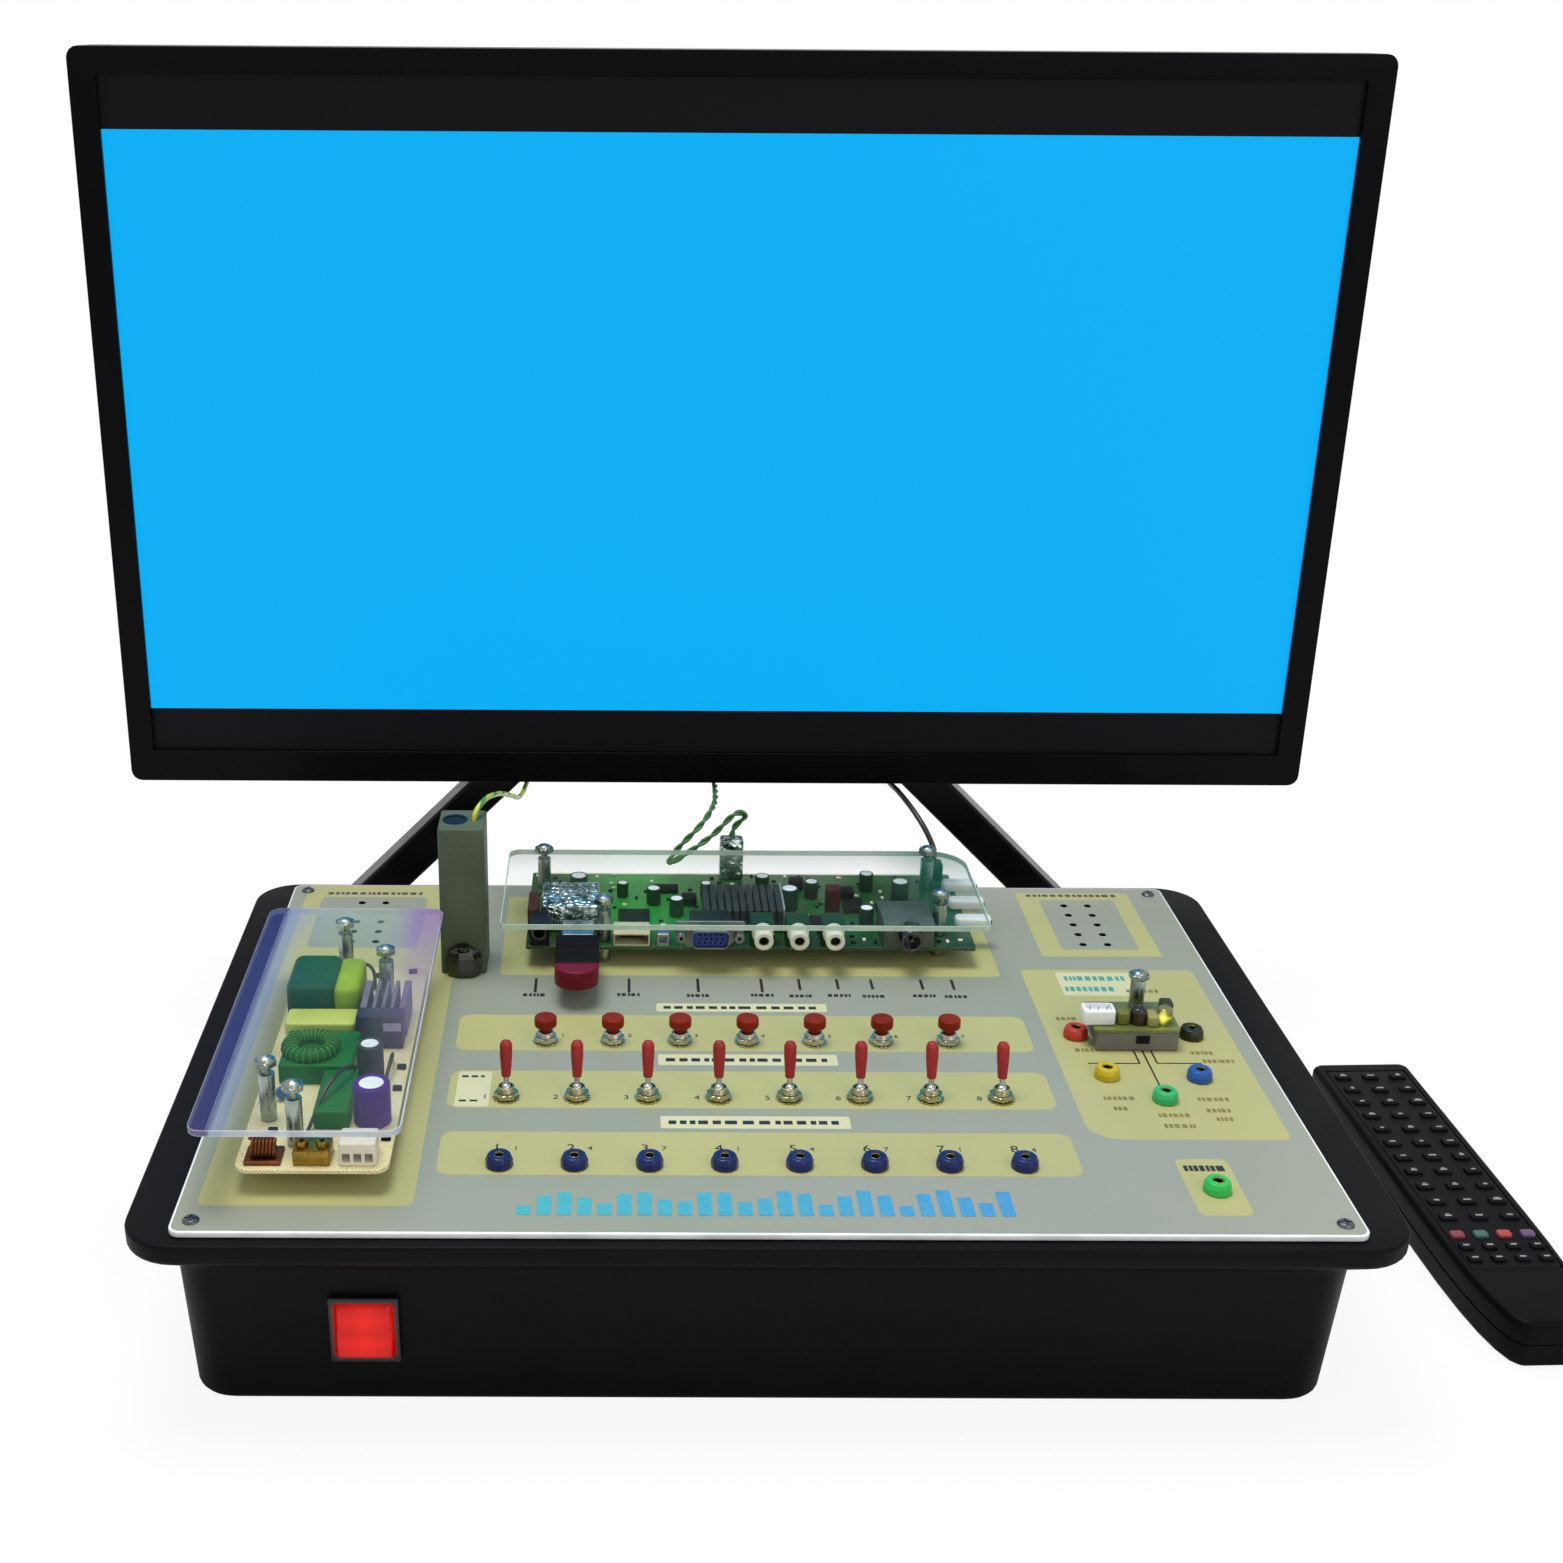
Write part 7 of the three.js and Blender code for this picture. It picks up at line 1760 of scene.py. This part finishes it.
# %% Transformer
tape_teal = plastic("tape_teal", "0e6a52", gloss=0.5, grain=0.7, depth=0.05, gleam=0.1)
band = tape_teal.axes()[1]
lap = (band * 0.45).remainder(1.0) < 0.08
tape_teal.clouds(0.05, "053b2b", "0c5c30")
tape_teal.bump(lap, 0.4, 0.15)
tape_lime = plastic("tape_lime", "9bbd1f", gloss=0.4, gleam=0.15)
tape_lime.clouds(0.12, "5f8a12", "a9be1c")
core = block((19.5, 30, 17.0), (-173.75, 2, 98.8), 4.2, 2.2, 5)
transformer = finished("transformer_core", core, tape_teal, sharp=50)
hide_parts("psu_transformer")
winding = block((10.4, 29, 16.0), (-159.8, 2, 98.3), 3.2, 2.4, 5)
finished("transformer_winding", winding, tape_lime, sharp=50)
pins_line = [block((1.4, 1.0, 3.4), (-180 + 5 * k, -13.4, 91.4), 0.2, 0.1, 1) for k in range(6)]
finished("transformer_pins", pins_line, nickel)
strip_pale = block((27.5, 13, 9.4), (-168.0, -21.6, 94.7), 1.4, 1.0)
finished("pale_strip", strip_pale, plastic("strip_yellow", "b9c45a", gloss=0.4))
print("transformer pins", len(pins_line))

# %% Choke with its ring and winding
choke_green = plastic("choke_green", "1c6a25", gloss=0.45, gleam=0.12)
choke_green.clouds(0.06, "0c4a1a", "1f7426")
choke = [block((28, 28, 8.2), (-165.5, -44.6, 94.1), 1.6, 1.0),
         block((13, 31, 7.4), (-155.3, -75.0, 93.7), 1.4, 0.9)]
ring_x, ring_y, ring_z, ring_radius = -168.5, -46.5, 99.6, 8.2
ring_line = [(ring_x + ring_radius * math.cos(t), ring_y + ring_radius * math.sin(t), ring_z)
             for t in np.linspace(0, 2 * math.pi, 61)]
choke.append(tube(ring_line, 2.6, 16))
finished("choke_block", choke, choke_green, sharp=50)
wound = []
for k in range(26):
    t = 2 * math.pi * k / 26
    s = np.linspace(0, 2 * math.pi, 17)
    reach = ring_radius + 2.9 * np.cos(s)
    turn = [ring_x + reach * math.cos(t), ring_y + reach * math.sin(t), ring_z + 2.9 * np.sin(s)]
    wound.append(tube(np.column_stack(turn), 0.42, 6))
winding_green = plastic("winding_green", "3d7a26", gloss=0.4, gleam=0.15)
finished("choke_winding", wound, winding_green)
print("turns on the choke", len(wound))

# %% Regulator, heat sink and small parts
regulator_violet = plastic("regulator_violet", "342c42", gloss=0.45, gleam=0.12)
regulator = block((18, 8, 14), (-144.5, -27, 97), 0.8, 0.5)
finished("regulator_body", regulator, regulator_violet, sharp=30)
label = block((7, 0.2, 3.4), (-139.5, -31.05, 99.5), 0.5, 0.05, 1)
finished("regulator_label", label, plastic("label_lilac", "9a94b8", gloss=0.3))
sink_lilac = metal("sink_lilac", "8f8798", gloss=0.7)
rounded_copy("slotted_sink", "psu_heat_sink", sink_lilac, 0.35)
wires = [
    spline([(-150, -60, 98), (-151, -64, 101), (-154, -71, 103), (-158, -80, 101), (-163.5, -93, 90.6)]),
    spline([(-139, -40, 90.5), (-138, -44, 95), (-138, -50, 96), (-139, -58, 93), (-140, -66, 90.6)]),
    spline([(-152, 18, 90.5), (-153, 22, 97), (-156, 24, 99), (-159, 20, 98), (-160, 17, 96)]),
]
finished("supply_wires", [tube(line, 0.75, 10) for line in wires], black_cable)
small_places = [
    (-183, -60), (-183, -66), (-176, -92), (-171, -78), (-134.5, -62), (-134.5, -46), (-183, 24),
    (-152, 30), (-138, 34), (-178, -97), (-134.8, -97),
]
small = [block((3.4, 2.2, 1.6), (*place, 90.8), 0.4, 0.3, 2) for place in small_places]
finished("supply_small_parts", small, chip_black)
disc_line = rounded([(0.02, -1.2), (2.6, -1.2), (2.6, 1.2), (0.02, 1.2)], [0, 0.8, 0.8, 0], 3)
disc_places = [(-168, -90), (-138.5, -70), (-176, -70)]
discs = [lathe(disc_line, (*place, 93.2), 24, "y") for place in disc_places]
disc_blue = plastic("disc_blue", "35609a", gloss=0.3)
finished("disc_capacitors", discs, disc_blue, sharp=50)

for number, (x, y) in enumerate(supply_posts, 1):
    post = finished(f"supply_post_{number}", post_mesh(x, y, 19.4, True), post_metal, sharp=28)
    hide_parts(f"psu_standoff_{number}")
print("supply small parts", len(small), "discs", len(discs))

# %% The supply's cover with its coloured films
def supply_haze_colour(finish):
    x, y, _ = finish.axes()
    strip = finish.spread(x, -191.6, -190.8)
    beside = finish.spread(x, -184, -166)
    colour = finish.mix(strip, ink("382f68"), ink("8f9ccc"))
    colour = finish.mix(beside, colour, ink("b4cbb0"))
    violet = finish.mix(finish.spread(y, -60, 20), ink("a99aa8"), ink("9c6cba"))
    return finish.mix(finish.spread(x, -150, -136), colour, violet)


def supply_haze(finish):
    x, y, _ = finish.axes()
    strip = finish.spread(x, -191.6, -190.8, 0.5, 0.0)
    beside = finish.spread(x, -191, -180, 0.2, 0.0) + finish.spread(y, 16, 44, 0.0, 0.14)
    right = finish.spread(x, -150, -134, 0.0, 0.16) * finish.spread(y, -70, 40, 0.3, 1.7)
    smear = finish.spread(finish.noise(0.02, detail=4), 0.42, 0.75, 0.0, 0.03)
    return (0.01 + strip + beside + right + smear).minimum(0.6)


films = clear_sheet("supply_films", supply_haze_colour, supply_haze, gloss=0.07)
supply_line = zone(-199, -126, -127, 51, 5)
supply_cover = flat_mesh([supply_line] + supply_holes, 109.4, 111.9, 0.25)
piece = finished("supply_cover", supply_cover, films)
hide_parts("psu_cover")
edge_lilac = cut_edge("edge_lilac", "cfd0ea", "ecefee", 0.05, 0.55)
inner_line = zone(-198.6, -126.4, -126.6, 50.6, 4.6)
edge_mesh = flat_mesh([supply_line, inner_line], 109.5, 111.8)
finished("supply_cover_edge", edge_mesh, edge_lilac)
print("power supply made")

# %% [markdown]
# ## The sensor module
#
# A small board on one stand-off: a white connector, an olive part, a dark sensor window and a lamp
# that glows yellow. A grey bracket shows under its front edge.

# %% Sensor board and its parts
plug_x = 140.45
sensor_olive = circuit_board("sensor_olive", "4a5222", "6c7434", cell=0.4)
sensor_line = zone(138, 172.4, -13, 11, 1.5)
sensor_outlines = [sensor_line, circle(159.0, 6.7, 1.8, 20)]
sensor_mesh = flat_mesh(sensor_outlines, board_under, board_top, 0.15)
sensor = finished("sensor_plate", sensor_mesh, sensor_olive)
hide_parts("sensor_board")
bracket_grey = plastic("bracket_grey", "6f6d68", gloss=0.45, grain=0.9, depth=0.06, dust=0.3)
bracket = [block((33, 3.0, 7.8), (155.6, -11.3, 84.3), 0.8, 0.4)]
bracket += [block((1.4, 20, 5.4), (x, -0.5, 85.5), 0.4, 0.3) for x in (140.2, 171.0)]
clip = block((5.4, 1.2, 3.4), (157.6, -13.1, 85.6), 0.6, 0.3)
finished("sensor_bracket", bracket, bracket_grey)
finished("sensor_clip", clip, chip_black)
plug = carved(block((13, 8, 6.5), (plug_x, -5.8, 93.25), 1.6, 0.9),
              [box((10.2, 5.4, 4.4), (plug_x, -5.8, 96.6))])
finished("sensor_plug", plug, white_plastic, sharp=30)
pins = [block((0.6, 0.6, 3.6), (plug_x + d, -5.8, 94.6), 0.1, 0.1, 1) for d in (-3.4, 0, 3.4)]
finished("sensor_plug_pins", pins, nickel)
window_line = [(0.05, 90), (3.3, 90), (3.3, 95.2), (2.6, 97.0), (0.05, 97.2)]
window_line = rounded(window_line, [0, 0.2, 1.6, 1.0, 0], 6)
window_brown = plastic("window_brown", "221a0c", gloss=0.14, grain=2.0, depth=0.01, dust=0.08, coat=0.3)
window_mesh = lathe(window_line, (156.5, -7, 0), 40)
finished("sensor_window", window_mesh, window_brown, sharp=60)
lamp_lit = Finish("lamp_lit", roughness=0.16, coat_weight=0.5)
lx, ly, lz = lamp_lit.axes()
near = (lx - 165.8).size() + (ly + 9.4).size() + (lz - 93.6).size()
heart = lamp_lit.spread(near, 0.5, 4.2, 1.0, 0.0)
lamp_lit.set(base_color=lamp_lit.mix(heart, ink("6e6c28"), ink("f6f25a")))
lamp_lit.set(emission_color=lamp_lit.mix(heart, ink("1c1c00"), ink("f4f06a")))
lamp_lit.set(emission_strength=1.0)
lamp_lit.bump(lamp_lit.noise(0.5), 0.05, 0.02)
lamp_mesh = lathe(window_line, (167, -7, 0), 40)
finished("sensor_lamp", lamp_mesh, lamp_lit, sharp=60)
part_colours = {
    "olive_part": ("6b6d22", (4.6, 6.5, 5.4), (150.2, -6.0, 92.7)),
    "straw_part": ("8e8a50", (4.6, 7.5, 4.6), (161.8, -7.4, 92.3)),
    "dark_part": ("2e2c12", (5.0, 6, 6.6), (169.0, -0.6, 93.3)),
}
for name, (colour, size, centre) in part_colours.items():
    part_plastic = plastic(name.replace("part", "plastic"), colour, gloss=0.3)
    finished(name, block(size, centre, 1.2, 0.8), part_plastic)
post = finished("sensor_post", post_mesh(159.0, 6.7, 13, False), post_metal, sharp=28)
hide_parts("sensor_standoff")
print("sensor module made")
# %% [markdown] ## The end
